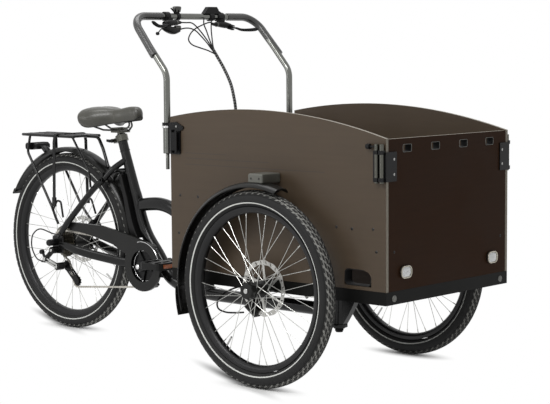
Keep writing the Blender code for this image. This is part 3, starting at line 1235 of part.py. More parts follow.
def side_panel():
    """Right panel with its arched top and the hand hole low at the front."""
    low = BEAM_TOP_Z + GAP
    top = [(x, side_top(x)) for x in np.linspace(BOX_FRONT_X, BOX_REAR_X, 25)]
    outline = [(BOX_REAR_X, low), (BOX_FRONT_X, low)] + top
    panel = prism(outline, -BOX_HALF_WIDTH, -BOX_HALF_WIDTH + PANEL_THICKNESS, "Y")
    x, z = HAND_HOLE_X, HAND_HOLE_Z
    hole = [(x[0], z[0] + 0.004), (x[0] + 0.004, z[0]), (x[1], z[0]), (x[1], z[1] - 0.022),
            (x[1] - 0.010, z[1] - 0.008), (x[1] - 0.030, z[1] - 0.001), (x[0] + 0.012, z[1]),
            (x[0] + 0.002, z[1] - 0.008)]
    return cut(panel, prism(hole, -BOX_HALF_WIDTH - 0.02, -BOX_HALF_WIDTH + 0.04, "Y"))


def front_panel():
    """Front panel between the sides, with a row of strap slots and two lamp holes."""
    half = BOX_HALF_WIDTH - PANEL_THICKNESS - GAP
    panel = prism([(-half, BEAM_TOP_Z + GAP), (half, BEAM_TOP_Z + GAP), (half, FRONT_PANEL_TOP_Z),
                   (-half, FRONT_PANEL_TOP_Z)], BOX_FRONT_X - PANEL_THICKNESS, BOX_FRONT_X, "X")
    holes = []
    for y in SLOT_Y:
        shape = rounded_rectangle((y - SLOT_WIDTH / 2, y + SLOT_WIDTH / 2),
                                  (SLOT_Z - SLOT_HEIGHT / 2, SLOT_Z + SLOT_HEIGHT / 2), 0.005, 2)
        holes.append(prism(shape, BOX_FRONT_X - 0.05, BOX_FRONT_X + 0.05, "X"))
    for side in (-1, 1):
        holes.append(disc(bore(0.0100), BOX_FRONT_X - 0.05, BOX_FRONT_X + 0.05,
                          (0, side * HEADLIGHT_Y, HEADLIGHT_Z), "X"))
    return cut(panel, *holes)


def back_panel():
    """Rear panel between the sides."""
    half = BOX_HALF_WIDTH - PANEL_THICKNESS - GAP
    return block((BOX_REAR_X, BOX_REAR_X + PANEL_THICKNESS), (-half, half), (BEAM_TOP_Z + GAP, BACK_PANEL_TOP_Z))


def floor_panel():
    """Floor on the rails, inside the four walls."""
    inset = PANEL_THICKNESS + GAP
    half = BOX_HALF_WIDTH - inset
    low = BEAM_TOP_Z + GAP
    return block((BOX_REAR_X + inset, BOX_FRONT_X - inset), (-half, half), (low, low + PANEL_THICKNESS))


def headlight():
    """Right front lamp: stepped round bezel on the panel with its stem through it."""
    centre = (0, -HEADLIGHT_Y, HEADLIGHT_Z)
    face = BOX_FRONT_X + GAP
    back = BOX_FRONT_X - PANEL_THICKNESS - 0.012
    profile = [(0, back), (0.0100, back), (0.0100, face), (HEADLIGHT_RADIUS, face),
               (HEADLIGHT_RADIUS - 0.003, face + 0.0090), (HEADLIGHT_RADIUS - 0.005, face + 0.0075),
               (0, BOX_FRONT_X + HEADLIGHT_REACH)]
    return lathe(profile, centre, "X", closed=False)


def front_bracket():
    """Right front corner fitting: an angle plate round the corner, two hinge rods and a clamp knob."""
    face, side = BOX_FRONT_X + GAP, -BOX_HALF_WIDTH - GAP
    low, high = 0.664, 0.752
    front = block((face, face + 0.0035), (-0.3070, -0.2670), (low, high))
    wrap = block((face - 0.0460, face + 0.0035), (side - 0.0035, side), (low, high))
    corner = block((face, face + 0.0035), (side - 0.0035, -0.3000), (low, high))
    rods = []
    for x in (1.7445, 1.7640):
        rods.append(disc(0.0062, 0.6600, 0.7760, (x, side - 0.0085, 0), "Z", steps=8))
        for z in (0.6640, 0.7450):
            rods.append(block((x - 0.0078, x + 0.0078), (side - 0.0155, side - 0.001), (z, z + 0.012)))
    stem = disc(0.0035, 1.7150, 1.7450, (0, side - 0.0085, 0.7680), "X", steps=8)
    knob = disc(0.0085, 1.7080, 1.7200, (0, side - 0.0085, 0.7680), "X", steps=8)
    return union(front, wrap, corner, stem, knob, *rods)


def bar_sleeve():
    """Right handlebar sleeve: collar and tube for the leg on a bracket round the rear corner."""
    inner = bore(BAR_RADIUS)
    outer = inner + SLEEVE_WALL
    y = -LEG_HALF_SPACING
    barrel = disc(outer, SLEEVE_BOTTOM_Z, SLEEVE_TOP_Z, (LEG_X, y, 0), "Z")
    collar = disc(outer + 0.0035, SLEEVE_TOP_Z - 0.016, SLEEVE_TOP_Z, (LEG_X, y, 0), "Z")
    side = -BOX_HALF_WIDTH - GAP
    rear = BOX_REAR_X - GAP
    web = block((LEG_X, rear), (y - 0.006, y + 0.006), (SLEEVE_BOTTOM_Z + 0.004, SLEEVE_TOP_Z - 0.002))
    back = block((rear - 0.0040, rear), (side - 0.004, -0.2700), (SLEEVE_BOTTOM_Z, SLEEVE_TOP_Z))
    wrap = prism([(rear - 0.0040, SLEEVE_BOTTOM_Z), (0.9150, SLEEVE_BOTTOM_Z), (0.9180, 0.7180),
                  (0.9180, 0.7900), (0.9320, 0.7960), (0.9320, 0.8040), (0.9000, SLEEVE_TOP_Z + 0.004),
                  (rear - 0.0040, SLEEVE_TOP_Z)], side - 0.0040, side, "Y")
    hinge = [disc(0.0045, low, low + 0.008, (0.8830, side - 0.0090, 0), "Z", steps=8) for low in (0.7170, 0.7850)]
    hinge += [block((0.8800, 0.8860), (side - 0.0090, side - 0.002), (low, low + 0.008))
              for low in (0.7170, 0.7850)]
    pin = disc(0.0020, 0.7200, 0.7900, (0.8830, side - 0.0090, 0), "Z", steps=8)
    fused = union(barrel, collar, web, back, wrap, pin, *hinge)
    return cut(fused, disc(inner, SLEEVE_BOTTOM_Z - 0.05, SLEEVE_TOP_Z + 0.05, (LEG_X, y, 0), "Z"))


LEVER_HINGE = (0.8830, -(BOX_HALF_WIDTH + GAP + 0.0090))


def bar_lever():
    """Right clamp lever that lies against the corner bracket and swings outwards."""
    x, y = LEVER_HINGE
    barrel = disc(0.0045, 0.7250 + GAP, 0.7850 - GAP, (x, y, 0), "Z", steps=8)
    blade = block((x, x + 0.0260), (y - 0.0035, y + 0.0005), (0.7250 + GAP, 0.7850 - GAP))
    lip = block((x + 0.0200, x + 0.0290), (y - 0.0060, y - 0.0010), (0.7180, 0.7900))
    fused = union(barrel, blade, lip)
    return cut(fused, disc(bore(0.0020, 8), 0.70, 0.80, (x, y, 0), "Z", steps=8))


def front_mudguard():
    """Right front guard with the arm that carries it from the side panel."""
    centre = (FRONT_AXLE_X, -FRONT_TRACK_HALF, FRONT_AXLE_Z)
    shell = mudguard_shell(FRONT_GUARD_RADIUS, centre, 72, 197, 16)
    top = FRONT_AXLE_Z + FRONT_GUARD_RADIUS
    arm = block((1.2960, 1.3570), (-0.4000, -BOX_HALF_WIDTH - GAP), (top - 0.0040, top + 0.0260))
    return union(shell, arm)


# Handlebar

def bar_path():
    """Right half of the bar's centre line, from the leg's foot to the middle of the cross bar."""
    y = -LEG_HALF_SPACING
    corners = [(LEG_X, y, SLEEVE_BOTTOM_Z + 0.006), (LEG_X, y, LEG_BEND_Z), (BAR_TOP_X, y, BAR_TOP_Z),
               (BAR_TOP_X, 0.0, BAR_TOP_Z)]
    return corners


def handlebar():
    """One bent tube: two legs, slanted arms and the cross bar, with thin guide rods below."""
    right = bar_path()
    whole = right + [(x, -y, z) for x, y, z in reversed(right[:-1])]
    bar = tube(rounded_path(whole, BAR_BEND_RADIUS, 5), BAR_RADIUS, TUBE_SIDES)
    rods = [disc(GUIDE_ROD_RADIUS, GUIDE_ROD_BOTTOM_Z, SLEEVE_BOTTOM_Z + 0.010,
                 (LEG_X, side * LEG_HALF_SPACING, 0), "Z", steps=8) for side in (-1, 1)]
    return union(bar, *rods)


def grip():
    """Right grip: long soft sleeve over the slanted arm, the corner and the end of the cross bar."""
    curve = rounded_path(bar_path(), BAR_BEND_RADIUS, 5)
    low, end = GRIP_BOTTOM_Z, GRIP_END_Y
    keep = [p for p in curve if p[2] > low + 0.004 and p[1] < end - 0.004]
    slope = np.array(keep[0]) - np.array([p for p in curve if p[2] <= low + 0.004][-1])
    start = keep[0] - slope * (keep[0][2] - low) / slope[2]
    path = np.array([start] + keep + [(BAR_TOP_X, end, BAR_TOP_Z)])
    sleeve = tube(path, BAR_RADIUS + GRIP_WALL, TUBE_SIDES)
    whole = tube(curve, BAR_RADIUS + GAP / math.cos(math.pi / TUBE_SIDES), TUBE_SIDES)
    return cut(sleeve, whole)


BLADE_HINGE = (0.0440, -0.1720, -0.0280)


def lever_place(point, left):
    """Point of the right lever group, given from the bar's axis, moved to its place on either side."""
    turn = math.radians(LEVER_TURN_DEG if left else 0.0)
    x, y, z = point
    if left:
        y = -y - LEVER_INSET
    return (BAR_TOP_X + x * math.cos(turn) + z * math.sin(turn), y, BAR_TOP_Z - x * math.sin(turn) + z * math.cos(turn))


def seated(mesh, left):
    """The right group as it is, or its mirror image turned round the bar and set inboard."""
    if not left:
        return mesh
    mesh = turned(mirrored(mesh), LEVER_TURN_DEG, (BAR_TOP_X, 0, BAR_TOP_Z))
    mesh.transform(Matrix.Translation((0, -LEVER_INSET, 0)))
    return mesh


def lever_clamp(left):
    """Brake lever's clamp, master cylinder and fork for the blade's pin; the right one holds the shifter."""
    x, z = BAR_TOP_X, BAR_TOP_Z
    hx, hy, level = x + BLADE_HINGE[0], BLADE_HINGE[1], z + BLADE_HINGE[2]
    parts = [block((x + 0.006, x + 0.024), (-0.1490, -0.1350), (z - 0.0260, z - 0.0060)),
             loft([(x + 0.0200, -0.1300, z - 0.0200), (x + 0.0240, -0.1480, z - 0.0220),
                   (x + 0.0290, -0.1760, z - 0.0260)],
                  [oval(a, b, 8) for a, b in ((0.0075, 0.0080), (0.0100, 0.0105), (0.0080, 0.0085))],
                  side=(0, 0, 1)),
             block((x + 0.026, x + 0.0365), (hy - 0.0070, hy + 0.0070), (level - 0.0085, level + 0.0085)),
             disc(0.0024, level - 0.0070, level + 0.0070, (hx, hy, 0), "Z", steps=8)]
    for low in (level - 0.0085, level + 0.0045):
        parts.append(block((x + 0.026, hx + 0.0060), (hy - 0.0070, hy + 0.0070), (low, low + 0.0040)))
    if not left:
        parts += [disc(0.0105, -0.1800, -0.1290, (x + 0.0220, 0, z - 0.0520), steps=12),
                  block((x + 0.006, x + 0.0200), (-0.1480, -0.1360), (z - 0.0500, z - 0.0080)),
                  loft([(x + 0.0240, -0.1650, z - 0.0560), (x + 0.0340, -0.1900, z - 0.0590),
                        (x + 0.0400, -0.2120, z - 0.0580)],
                       [oval(a, b, 6, 3) for a, b in ((0.0030, 0.0080), (0.0022, 0.0070), (0.0022, 0.0060))],
                       side=(1, 0, 0))]
    fused = union(disc(BAR_RADIUS + 0.0050, -0.1500, -0.1340, (x, 0, z)), *parts)
    return seated(cut(fused, disc(bore(BAR_RADIUS), -0.2, 0.0, (x, 0, z))), left)


def brake_blade(left):
    """Brake lever: a slim curved blade that ends in a ball."""
    hx, hy, level = BAR_TOP_X + BLADE_HINGE[0], BLADE_HINGE[1], BAR_TOP_Z + BLADE_HINGE[2]
    eye = disc(0.0062, level - 0.0045 + GAP, level + 0.0045 - GAP, (hx, hy, 0), "Z", steps=8)
    path = smooth([(hx + 0.002, hy - 0.003, level), (hx + 0.005, hy - 0.0115, level - 0.0002),
                   (hx + 0.011, hy - 0.031, level - 0.006),
                   (hx + 0.012, hy - 0.060, level - 0.010), (hx + 0.009, hy - 0.092, level + 0.002)], 2)
    sizes = np.linspace(0.0034, 0.0044, len(path))
    blade = loft(path, [oval(0.0034, s, 6, 2.6) for s in sizes], side=(0, 0, 1))
    ball = lathe([(0, -0.0065), (0.0046, -0.0046), (0.0065, 0), (0.0046, 0.0046), (0, 0.0065)], path[-1], "Y",
                 steps=8, closed=False)
    hole = disc(bore(0.0024, 8), level - 0.05, level + 0.05, (hx, hy, 0), "Z", steps=8)
    return seated(cut(union(eye, blade, ball), hole), left)


def bell():
    """Dome bell on its clamp with a spring hammer."""
    x, y, z = BAR_TOP_X, -0.1010, BAR_TOP_Z
    ring = cut(disc(BAR_RADIUS + 0.0040, y - 0.006, y + 0.006, (x, 0, z), steps=12),
               disc(bore(BAR_RADIUS, 12), y - 0.02, y + 0.02, (x, 0, z), steps=12))
    post = disc(0.0036, z + BAR_RADIUS + 0.0020, z + 0.0330, (x, y, 0), "Z", steps=8)
    dome = lathe([(0, 0.0350), (0.0095, 0.0325), (0.0150, 0.0245), (0.0155, 0.0180), (0.0140, 0.0180),
                  (0.0125, 0.0250), (0, 0.0310)], (x, y, z), "Z", steps=12, closed=False)
    hammer = tube(smooth([(x, y - 0.003, z + 0.0150), (x + 0.002, y - 0.014, z + 0.0150),
                          (x + 0.004, y - 0.0215, z + 0.0230)], 1), 0.0022, 4)
    return union(ring, post, dome, hammer)


def display():
    """Display on the cross bar: wedge body with a visor, on a clamp."""
    x, z = BAR_TOP_X, BAR_TOP_Z
    ring = cut(disc(BAR_RADIUS + 0.0045, 0.0680, 0.0880, (x, 0, z)),
               disc(bore(BAR_RADIUS), 0.05, 0.11, (x, 0, z)))
    outline = [(x - 0.0215, z + 0.0140), (x + 0.0100, z + 0.0140), (x + 0.0215, z + 0.0060),
               (x + 0.0215, z + 0.0200), (x + 0.0120, z + 0.0350), (x - 0.0215, z + 0.0270)]
    body = prism(outline, 0.0430, 0.1130, "Y")
    neck = block((x - 0.008, x + 0.008), (0.0700, 0.0860), (z + 0.0125, z + 0.0180))
    return union(ring, neck, body)


# Cables

def hose(points, radius, per_span=5, sides=8):
    """Round cable on a smooth curve through its own points."""
    return tube(smooth(points, per_span), radius, sides)


def control_loom():
    """Cables from the levers and the display, gathered in one wrap that runs down to the steering head."""
    trunk = hose([(0.7380, 0.0220, 1.0580), (0.7520, 0.0320, 1.0280), (0.7790, 0.0360, 0.9880),
                  (0.8140, 0.0320, 0.9370), (0.8360, 0.0250, 0.8900), (0.8460, 0.0230, 0.8450),
                  (0.8510, 0.0250, 0.7500), (0.8530, 0.0280, 0.6200), (0.8530, 0.0280, 0.4800),
                  (0.8530, 0.0250, 0.4000), (0.8520, 0.0200, 0.3250),
                  (0.8640, 0.0150, 0.2830), (0.9100, 0.0060, 0.2740), (1.0000, 0.0, 0.2740),
                  (1.1000, 0.0, 0.2720), (1.1600, 0.0, 0.2560), (1.1900, 0.0, 0.2270)], 0.0060, 2, 6)
    thin = [
        [(0.6955, -0.1265, 1.1480), (0.7050, -0.0700, 1.1460), (0.7100, -0.0390, 1.1320), (0.7160, -0.0110, 1.1060),
         (0.7300, 0.0150, 1.0700), (0.7440, 0.0250, 1.0450)],
        [(0.6970, -0.1262, 1.1160), (0.7060, -0.0990, 1.1290), (0.7170, -0.0460, 1.1210), (0.7230, -0.0260, 1.1060),
         (0.7340, 0.0120, 1.0640), (0.7470, 0.0270, 1.0380)],
        [(0.6850, 0.1058, 1.1420), (0.7000, 0.0530, 1.1510), (0.7120, -0.0200, 1.1400), (0.7220, -0.0760, 1.1150),
         (0.7240, -0.0980, 1.0890), (0.7240, -0.0880, 1.0710), (0.7270, -0.0430, 1.0570), (0.7360, -0.0070, 1.0500),
         (0.7500, 0.0270, 1.0330)],
        [(0.6983, 0.0550, 1.1740), (0.7060, 0.0320, 1.1300), (0.7220, 0.0280, 1.0900), (0.7400, 0.0230, 1.0560)],
    ]
    return union(trunk, *[hose(points, 0.0026, 2, 5) for points in thin])


def front_brake_hoses():
    """Brake hoses from a splitter under the floor to both front calipers."""
    def half(side):
        return hose([(1.1980, 0.0, 0.2835), (1.1500, side * 0.080, 0.2840), (1.1000, side * 0.180, 0.2840),
                     (1.0720, side * 0.255, 0.2700), (1.0520, side * 0.285, 0.2390), (1.0660, side * 0.300, 0.2160),
                     (1.1160, side * 0.318, 0.2110), (1.1700, side * 0.332, 0.2160),
                     (1.2170, side * 0.340, 0.2230)], 0.0030, 2, 6)
    return union(half(-1), half(1), block((1.1850, 1.2110), (-0.0130, 0.0130), (0.2790, 0.2887)))


def shift_cable():
    """Gear cable that leaves the right stay and loops into the derailleur from behind."""
    return hose([(0.0260, -0.0875, 0.3640), (-0.0010, -0.0940, 0.3670), (-0.0710, -0.0940, 0.3790),
                 (-0.1120, -0.0940, 0.3580), (-0.1240, -0.0940, 0.3270), (-0.1190, -0.0940, 0.2960),
                 (-0.0950, -0.0942, 0.2650), (-0.0674, -0.0943, 0.2567)], 0.0026, 2, 6)


# Materials

def finishes():
    """Every finish of the bike."""
    return {
        "frame": make_material("satin_black_paint", "1C1C1D", 0.42, 0.0),
        "bar": make_material("gloss_grey_paint", "3A3B3C", 0.25, 0.3),
        "ply": make_material("film_faced_plywood", "4A3D34", 0.55, 0.0),
        "tyre": make_material("tyre_rubber", "232323", 0.85, 0.0),
        "rim": make_material("black_anodised_rim", "1B1B1C", 0.35, 0.6),
        "steel": make_material("stainless_steel", "B8B6AF", 0.30, 1.0),
        "black_steel": make_material("black_steel", "202021", 0.45, 0.5),
        "plastic": make_material("black_plastic", "191919", 0.55, 0.0),
        "rubber": make_material("soft_rubber", "262626", 0.80, 0.0),
        "leather": make_material("saddle_skin", "2E2D28", 0.60, 0.0),
        "clear": make_material("lamp_lens", "E8ECEE", 0.10, 0.0),
        "red": make_material("red_lens", "8E1513", 0.20, 0.0),
    }


def wheel_nodes(prefix, sizes, hub, finish, holder, mirror=False):
    """Tyre, rim and hub of one wheel."""
    radius, width, inner, depth, centre = sizes
    shapes = {"tyre": tyre(radius, width, inner, depth, centre), "rim": rim(inner, depth, centre), "hub": hub}
    for kind, mesh in shapes.items():
        look = finish["steel"] if kind == "hub" else finish[kind]
        node(f"{prefix}_{kind}", mirrored(mesh) if mirror else mesh, look, holder)


def build_rear(finish):
    """Frame and all that it carries, up to the steering head."""
    frame = pivot("rear_frame", (0, 0, 0))
    node("main_frame", main_frame(), finish["frame"], frame, TUBE_CREASE_DEG)
    node("rear_axle", rear_axle(), finish["steel"], frame)
    node("rear_mudguard", rear_mudguard(), finish["plastic"], frame)
    node("luggage_rack", luggage_rack(), finish["frame"], frame, TUBE_CREASE_DEG)
    node("rack_strap", rack_strap(), finish["rubber"], frame)
    node("tail_light", tail_light(), finish["red"], frame)
    node("chain_guard", chain_guard(), finish["plastic"], frame)
    node("chain", chain(), finish["black_steel"], frame)
    node("rear_derailleur", derailleur(), finish["plastic"], frame)
    node("battery", battery(), finish["plastic"], frame)
    node("seat_clamp", seat_clamp(), finish["black_steel"], frame)
    node("shift_cable", shift_cable(), finish["rubber"], frame, TUBE_CREASE_DEG)
    lever = pivot("seat_lever_axis", clamp_lever_place(), frame)
    node("seat_clamp_lever", seat_clamp_lever(), finish["steel"], lever)
    seat = pivot("seat_slide", tuple(seat_top()), frame)
    node("seatpost", seatpost(), finish["black_steel"], seat)
    node("saddle_base", saddle_base(), finish["plastic"], seat)
    node("saddle_cover", saddle_cover(), finish["leather"], seat)
    crank = pivot("crank_axis", (CRANK_X, 0, CRANK_Z), frame)
    node("right_crank", right_crank(), finish["black_steel"], crank)
    node("left_crank", left_crank(), finish["black_steel"], crank)
    for side, name in ((-1, "right"), (1, "left")):
        x, z = pedal_place(side)
        place = (x, side * CRANK_OFFSET, z)
        axis = pivot(f"{name}_pedal_axis", place, crank)
        mesh = pedal()
        if side > 0:
            right_x, right_z = pedal_place(-1)
            mesh.transform(Matrix.Translation((x - right_x, 0, z - right_z)))
            mesh = mirrored(mesh)
        node(f"{name}_pedal", mesh, finish["plastic"], axis)
    wheel = pivot("rear_wheel_axis", (0, 0, REAR_AXLE_Z), frame)
    sizes = (REAR_TYRE_RADIUS, REAR_TYRE_WIDTH, REAR_RIM_INNER, REAR_RIM_DEPTH, (0, 0, REAR_AXLE_Z))
    wheel_nodes("rear", sizes, rear_hub(), finish, wheel)
    cogs = pivot("cassette_axis", (0, 0, REAR_AXLE_Z), frame)
    node("cassette", cassette(), finish["steel"], cogs)
    cage = pivot("cage_axis", (GUIDE_PULLEY[0], CHAIN_Y, GUIDE_PULLEY[1]), frame)
    node("derailleur_cage", derailleur_cage(), finish["black_steel"], cage)
    for name, place in (("guide_pulley", GUIDE_PULLEY), ("tension_pulley", TENSION_PULLEY)):
        axis = pivot(f"{name}_axis", (place[0], CHAIN_Y, place[1]), cage)
        node(name, pulley(place), finish["plastic"], axis)
    return frame


def build_front(finish, frame):
    """Cargo box with its chassis, wheels and handlebar, all turning about the kingpin."""
    box = pivot("steering_axis", (STEER_X, 0, 0), frame)
    node("chassis", chassis(), finish["frame"], box)
    node("floor_panel", floor_panel(), finish["ply"], box)
    node("front_panel", front_panel(), finish["ply"], box)
    node("back_panel", back_panel(), finish["ply"], box)
    node("front_brake_hoses", front_brake_hoses(), finish["rubber"], box, TUBE_CREASE_DEG)
    paired = (("side_panel", side_panel, "ply"), ("front_bracket", front_bracket, "black_steel"),
              ("bar_sleeve", bar_sleeve, "black_steel"), ("mudguard", front_mudguard, "plastic"),
              ("headlight", headlight, "clear"))
    for name, make, look in paired:
        node(f"right_{name}", make(), finish[look], box)
        node(f"left_{name}", mirrored(make()), finish[look], box)
    hub = front_hub()
    centre = (FRONT_AXLE_X, -FRONT_TRACK_HALF, FRONT_AXLE_Z)
    sizes = (FRONT_TYRE_RADIUS, FRONT_TYRE_WIDTH, FRONT_RIM_INNER, FRONT_RIM_DEPTH, centre)
    for side, name in ((-1, "right"), (1, "left")):
        swap = side > 0
        wheel = pivot(f"{name}_front_axis", (FRONT_AXLE_X, side * FRONT_TRACK_HALF, FRONT_AXLE_Z), box)
        wheel_nodes(f"{name}_front", sizes, hub.copy(), finish, wheel, swap)
        lever = pivot(f"{name}_bar_lever_axis", (LEVER_HINGE[0], -side * LEVER_HINGE[1], 0), box)
        node(f"{name}_bar_lever", mirrored(bar_lever()) if swap else bar_lever(), finish["steel"], lever)
    bars = pivot("bar_slide", (LEG_X, 0, SLEEVE_TOP_Z), box)
    node("handlebar", handlebar(), finish["bar"], bars)
    node("bell", bell(), finish["black_steel"], bars)
    node("display", display(), finish["plastic"], bars)
    node("control_loom", control_loom(), finish["rubber"], bars, TUBE_CREASE_DEG)
    for side, name in ((-1, "right"), (1, "left")):
        swap = side > 0
        node(f"{name}_grip", mirrored(grip()) if swap else grip(), finish["rubber"], bars)
        node(f"{name}_lever_clamp", lever_clamp(swap), finish["plastic"], bars)
        axis = pivot(f"{name}_blade_axis", lever_place(BLADE_HINGE, swap), bars)
        node(f"{name}_brake_blade", brake_blade(swap), finish["black_steel"], axis)


def main():
    """Build the whole bike."""
    clear_scene()
    finish = finishes()
    frame = build_rear(finish)
    build_front(finish, frame)


main()
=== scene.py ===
"""Looks of a three-wheeled electric cargo bike: its finishes, finer pieces, light and camera.

Metres, +X towards the cargo box, +Y to the rider's left, +Z up. Shapes are worked out with the
rear axle at x = 0, and every point is moved back by MIDDLE_X as it goes into its mesh.
"""
import math

import bmesh
import bpy
import numpy as np
from mathutils import Matrix, Vector
from mathutils.geometry import tessellate_polygon


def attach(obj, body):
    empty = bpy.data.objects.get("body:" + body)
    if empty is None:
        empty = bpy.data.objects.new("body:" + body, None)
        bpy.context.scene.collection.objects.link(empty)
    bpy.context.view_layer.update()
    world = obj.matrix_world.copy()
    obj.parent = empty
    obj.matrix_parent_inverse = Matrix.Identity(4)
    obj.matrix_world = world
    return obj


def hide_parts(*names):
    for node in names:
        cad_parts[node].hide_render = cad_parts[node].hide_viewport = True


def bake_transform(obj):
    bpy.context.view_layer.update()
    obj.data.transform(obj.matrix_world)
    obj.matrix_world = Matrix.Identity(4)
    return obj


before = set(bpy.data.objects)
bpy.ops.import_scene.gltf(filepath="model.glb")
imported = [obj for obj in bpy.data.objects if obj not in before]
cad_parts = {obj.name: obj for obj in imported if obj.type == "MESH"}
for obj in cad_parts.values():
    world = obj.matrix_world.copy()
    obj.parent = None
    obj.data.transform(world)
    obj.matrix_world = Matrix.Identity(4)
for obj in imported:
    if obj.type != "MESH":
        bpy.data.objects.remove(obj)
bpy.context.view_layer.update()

MIDDLE_X = 0.726  # from the rear axle to the middle of the length

AXLE_Z = 0.3330  # height of the rear axle
# Wheels: middle, tyre radius, tyre width, inner radius of the rim, side that faces outwards
WHEELS = {
    "rear": ((0.0, 0.0, AXLE_Z), 0.3330, 0.054, 0.2655, -1),
    "right_front": ((1.3175, -0.382, 0.311), 0.311, 0.055, 0.2385, -1),
    "left_front": ((1.3175, 0.382, 0.311), 0.311, 0.055, 0.2385, 1),
}
RIM_DEPTH = 0.021
RIM_WIDTH = 0.033
SPOKE_COUNT = 36
SPOKE_RADIUS = 0.0010
STRIPE_RADIUS = {"rear": 0.2985, "right_front": 0.2720, "left_front": 0.2720}
STRIPE_WIDTH = 0.0036
REAR_GUARD_RADIUS, FRONT_GUARD_RADIUS = 0.356, 0.336
ROTOR_RADIUS = 0.090
TREAD_BLOCKS = 76

# Drive
CRANK = (0.452, 0.277)
CRANK_LENGTH = 0.165
PEDAL_RISE_DEG = 8.8
CHAIN_PITCH = 0.0127
CHAIN_Y = -0.0456
RING_TEETH = 38
COG_TEETH = (28, 24, 21, 18, 16, 14, 12)
CHAIN_COG = 2
PULLEY_TEETH = 11
GUIDE_PULLEY = (0.0220, 0.2430)
TENSION_PULLEY = (0.0830, 0.1890)

# Cables: how far the wrap runs on in one turn
WRAP_PITCH = 0.0100

# Frame, seat and handlebar
SEAT_TOP = np.array([0.2868, 0.0, 0.7420])
SEAT_FOOT = np.array([0.3520, 0.0, 0.5560])
SEAT_AXIS = (SEAT_TOP - SEAT_FOOT) / np.linalg.norm(SEAT_TOP - SEAT_FOOT)
STEER_X = 1.328
CROSS_BAR = (0.275, 0.0, 0.611)  # middle of the bar between the upper stays
LEG_X, LEG_Y, BAR_X, BAR_Z = 0.844, 0.304, 0.674, 1.168
BAR_RADIUS = 0.0110
# Left lever group against the right one: its turn round the bar, and how far inboard it sits
LEVER_TURN_DEG = 14.0
LEVER_INSET = 0.020

# Cargo box
BOX_FRONT_X, BOX_HALF_WIDTH = 1.773, 0.3143
HAND_HOLE_X, HAND_HOLE_Z = (1.612, 1.717), (0.346, 0.397)
SLOT_Y, SLOT_Z, SLOT_HALF_WIDTH = (0.072, 0.212), (0.7475, 0.7725), 0.022

# Sign of y and name of each side
SIDES = ((-1, "right"), (1, "left"))


# Surfaces: each shape is an array of points and a list of face arrays

def skin(rings, closed=False):
    """Quads between rows of points, each row a closed ring; open ends are fanned to their middle."""
    rings = np.asarray(rings, float)
    if not closed:
        ends = [np.broadcast_to(r.mean(0), r.shape)[None] for r in (rings[0], rings[-1])]
        rings = np.concatenate([ends[0], rings, ends[1]])
    rows, around = rings.shape[:2]
    i = np.arange(rows if closed else rows - 1)[:, None]
    k = np.arange(around)[None]
    j, n = (i + 1) % rows, (k + 1) % around
    quads = np.stack([i * around + k, i * around + n, j * around + n, j * around + k], -1)
    return rings.reshape(-1, 3), [quads.reshape(-1, 4)]


def normals(path, side, closed):
    """Two unit vectors across a path: turned along with it, or one kept square to a side vector."""
    step = np.roll(path, -1, 0) - np.roll(path, 1, 0) if closed else np.gradient(path, axis=0)
    tangent = step / np.linalg.norm(step, axis=1)[:, None]
    if side is not None:
        second = np.cross(tangent, np.cross(np.asarray(side, float), tangent))
    else:
        start = np.eye(3)[np.argmin(abs(tangent[0]))]
        second = [start - tangent[0] * (start @ tangent[0])]
        for t in tangent[1:]:
            second.append(second[-1] - t * (second[-1] @ t))
        second = np.array(second)
    second = second / np.linalg.norm(second, axis=1)[:, None]
    return np.cross(second, tangent), second


def sweep(path, sections, side=None, closed=False):
    """Carry sections along a path: point = path + a * first normal + b * second normal."""
    path = np.asarray(path, float)
    first, second = normals(path, side, closed)
    sections = np.broadcast_to(sections, (len(path),) + np.shape(sections)[-2:])
    return skin(path[:, None] + sections[..., :1] * first[:, None] + sections[..., 1:] * second[:, None],
                closed)


def oval(a, b, count=20, power=2.0):
    """Superellipse |u/a|^power + |v/b|^power = 1 at even angles."""
    angle = 2 * np.pi * (np.arange(count) + 0.5) / count
    c, s = np.cos(angle), np.sin(angle)
    return np.stack([a * np.sign(c) * abs(c) ** (2 / power), b * np.sign(s) * abs(s) ** (2 / power)], -1)


def tube(path, radius, count=20, closed=False):
    """Round bar: a circle carried along a path."""
    return sweep(path, oval(radius, radius, count), closed=closed)


def through(a, b, c, d, t):
    """Catmull-Rom span: a cubic in t that runs from b to c, with slopes (c - a) / 2 and (d - b) / 2."""
    return 0.5 * (2 * b + (c - a) * t + (2 * a - 5 * b + 4 * c - d) * t ** 2
                  + (3 * b - a - 3 * c + d) * t ** 3)


def curve(points, per_span=8):
    """Catmull-Rom curve through rows of numbers, all columns alike."""
    points = np.asarray(points, float)
    padded = np.vstack([2 * points[0] - points[1], points, 2 * points[-1] - points[-2]])
    a, b, c, d = (padded[k:len(padded) - 3 + k, None] for k in range(4))
    t = (np.arange(per_span) / per_span)[None, :, None]
    return np.vstack([through(a, b, c, d, t).reshape(-1, points.shape[1]), points[-1]])


def run_length(path):
    """How far along a path each of its points lies."""
    return np.concatenate([[0], np.cumsum(np.linalg.norm(np.diff(path, axis=0), axis=1))])


def spaced(path, count, endpoint=True):
    """Points at even steps along a path, and how far along each one lies."""
    gap = run_length(path)
    along = np.linspace(0, gap[-1], count, endpoint=endpoint)
    return np.stack([np.interp(along, gap, column) for column in path.T], -1), along


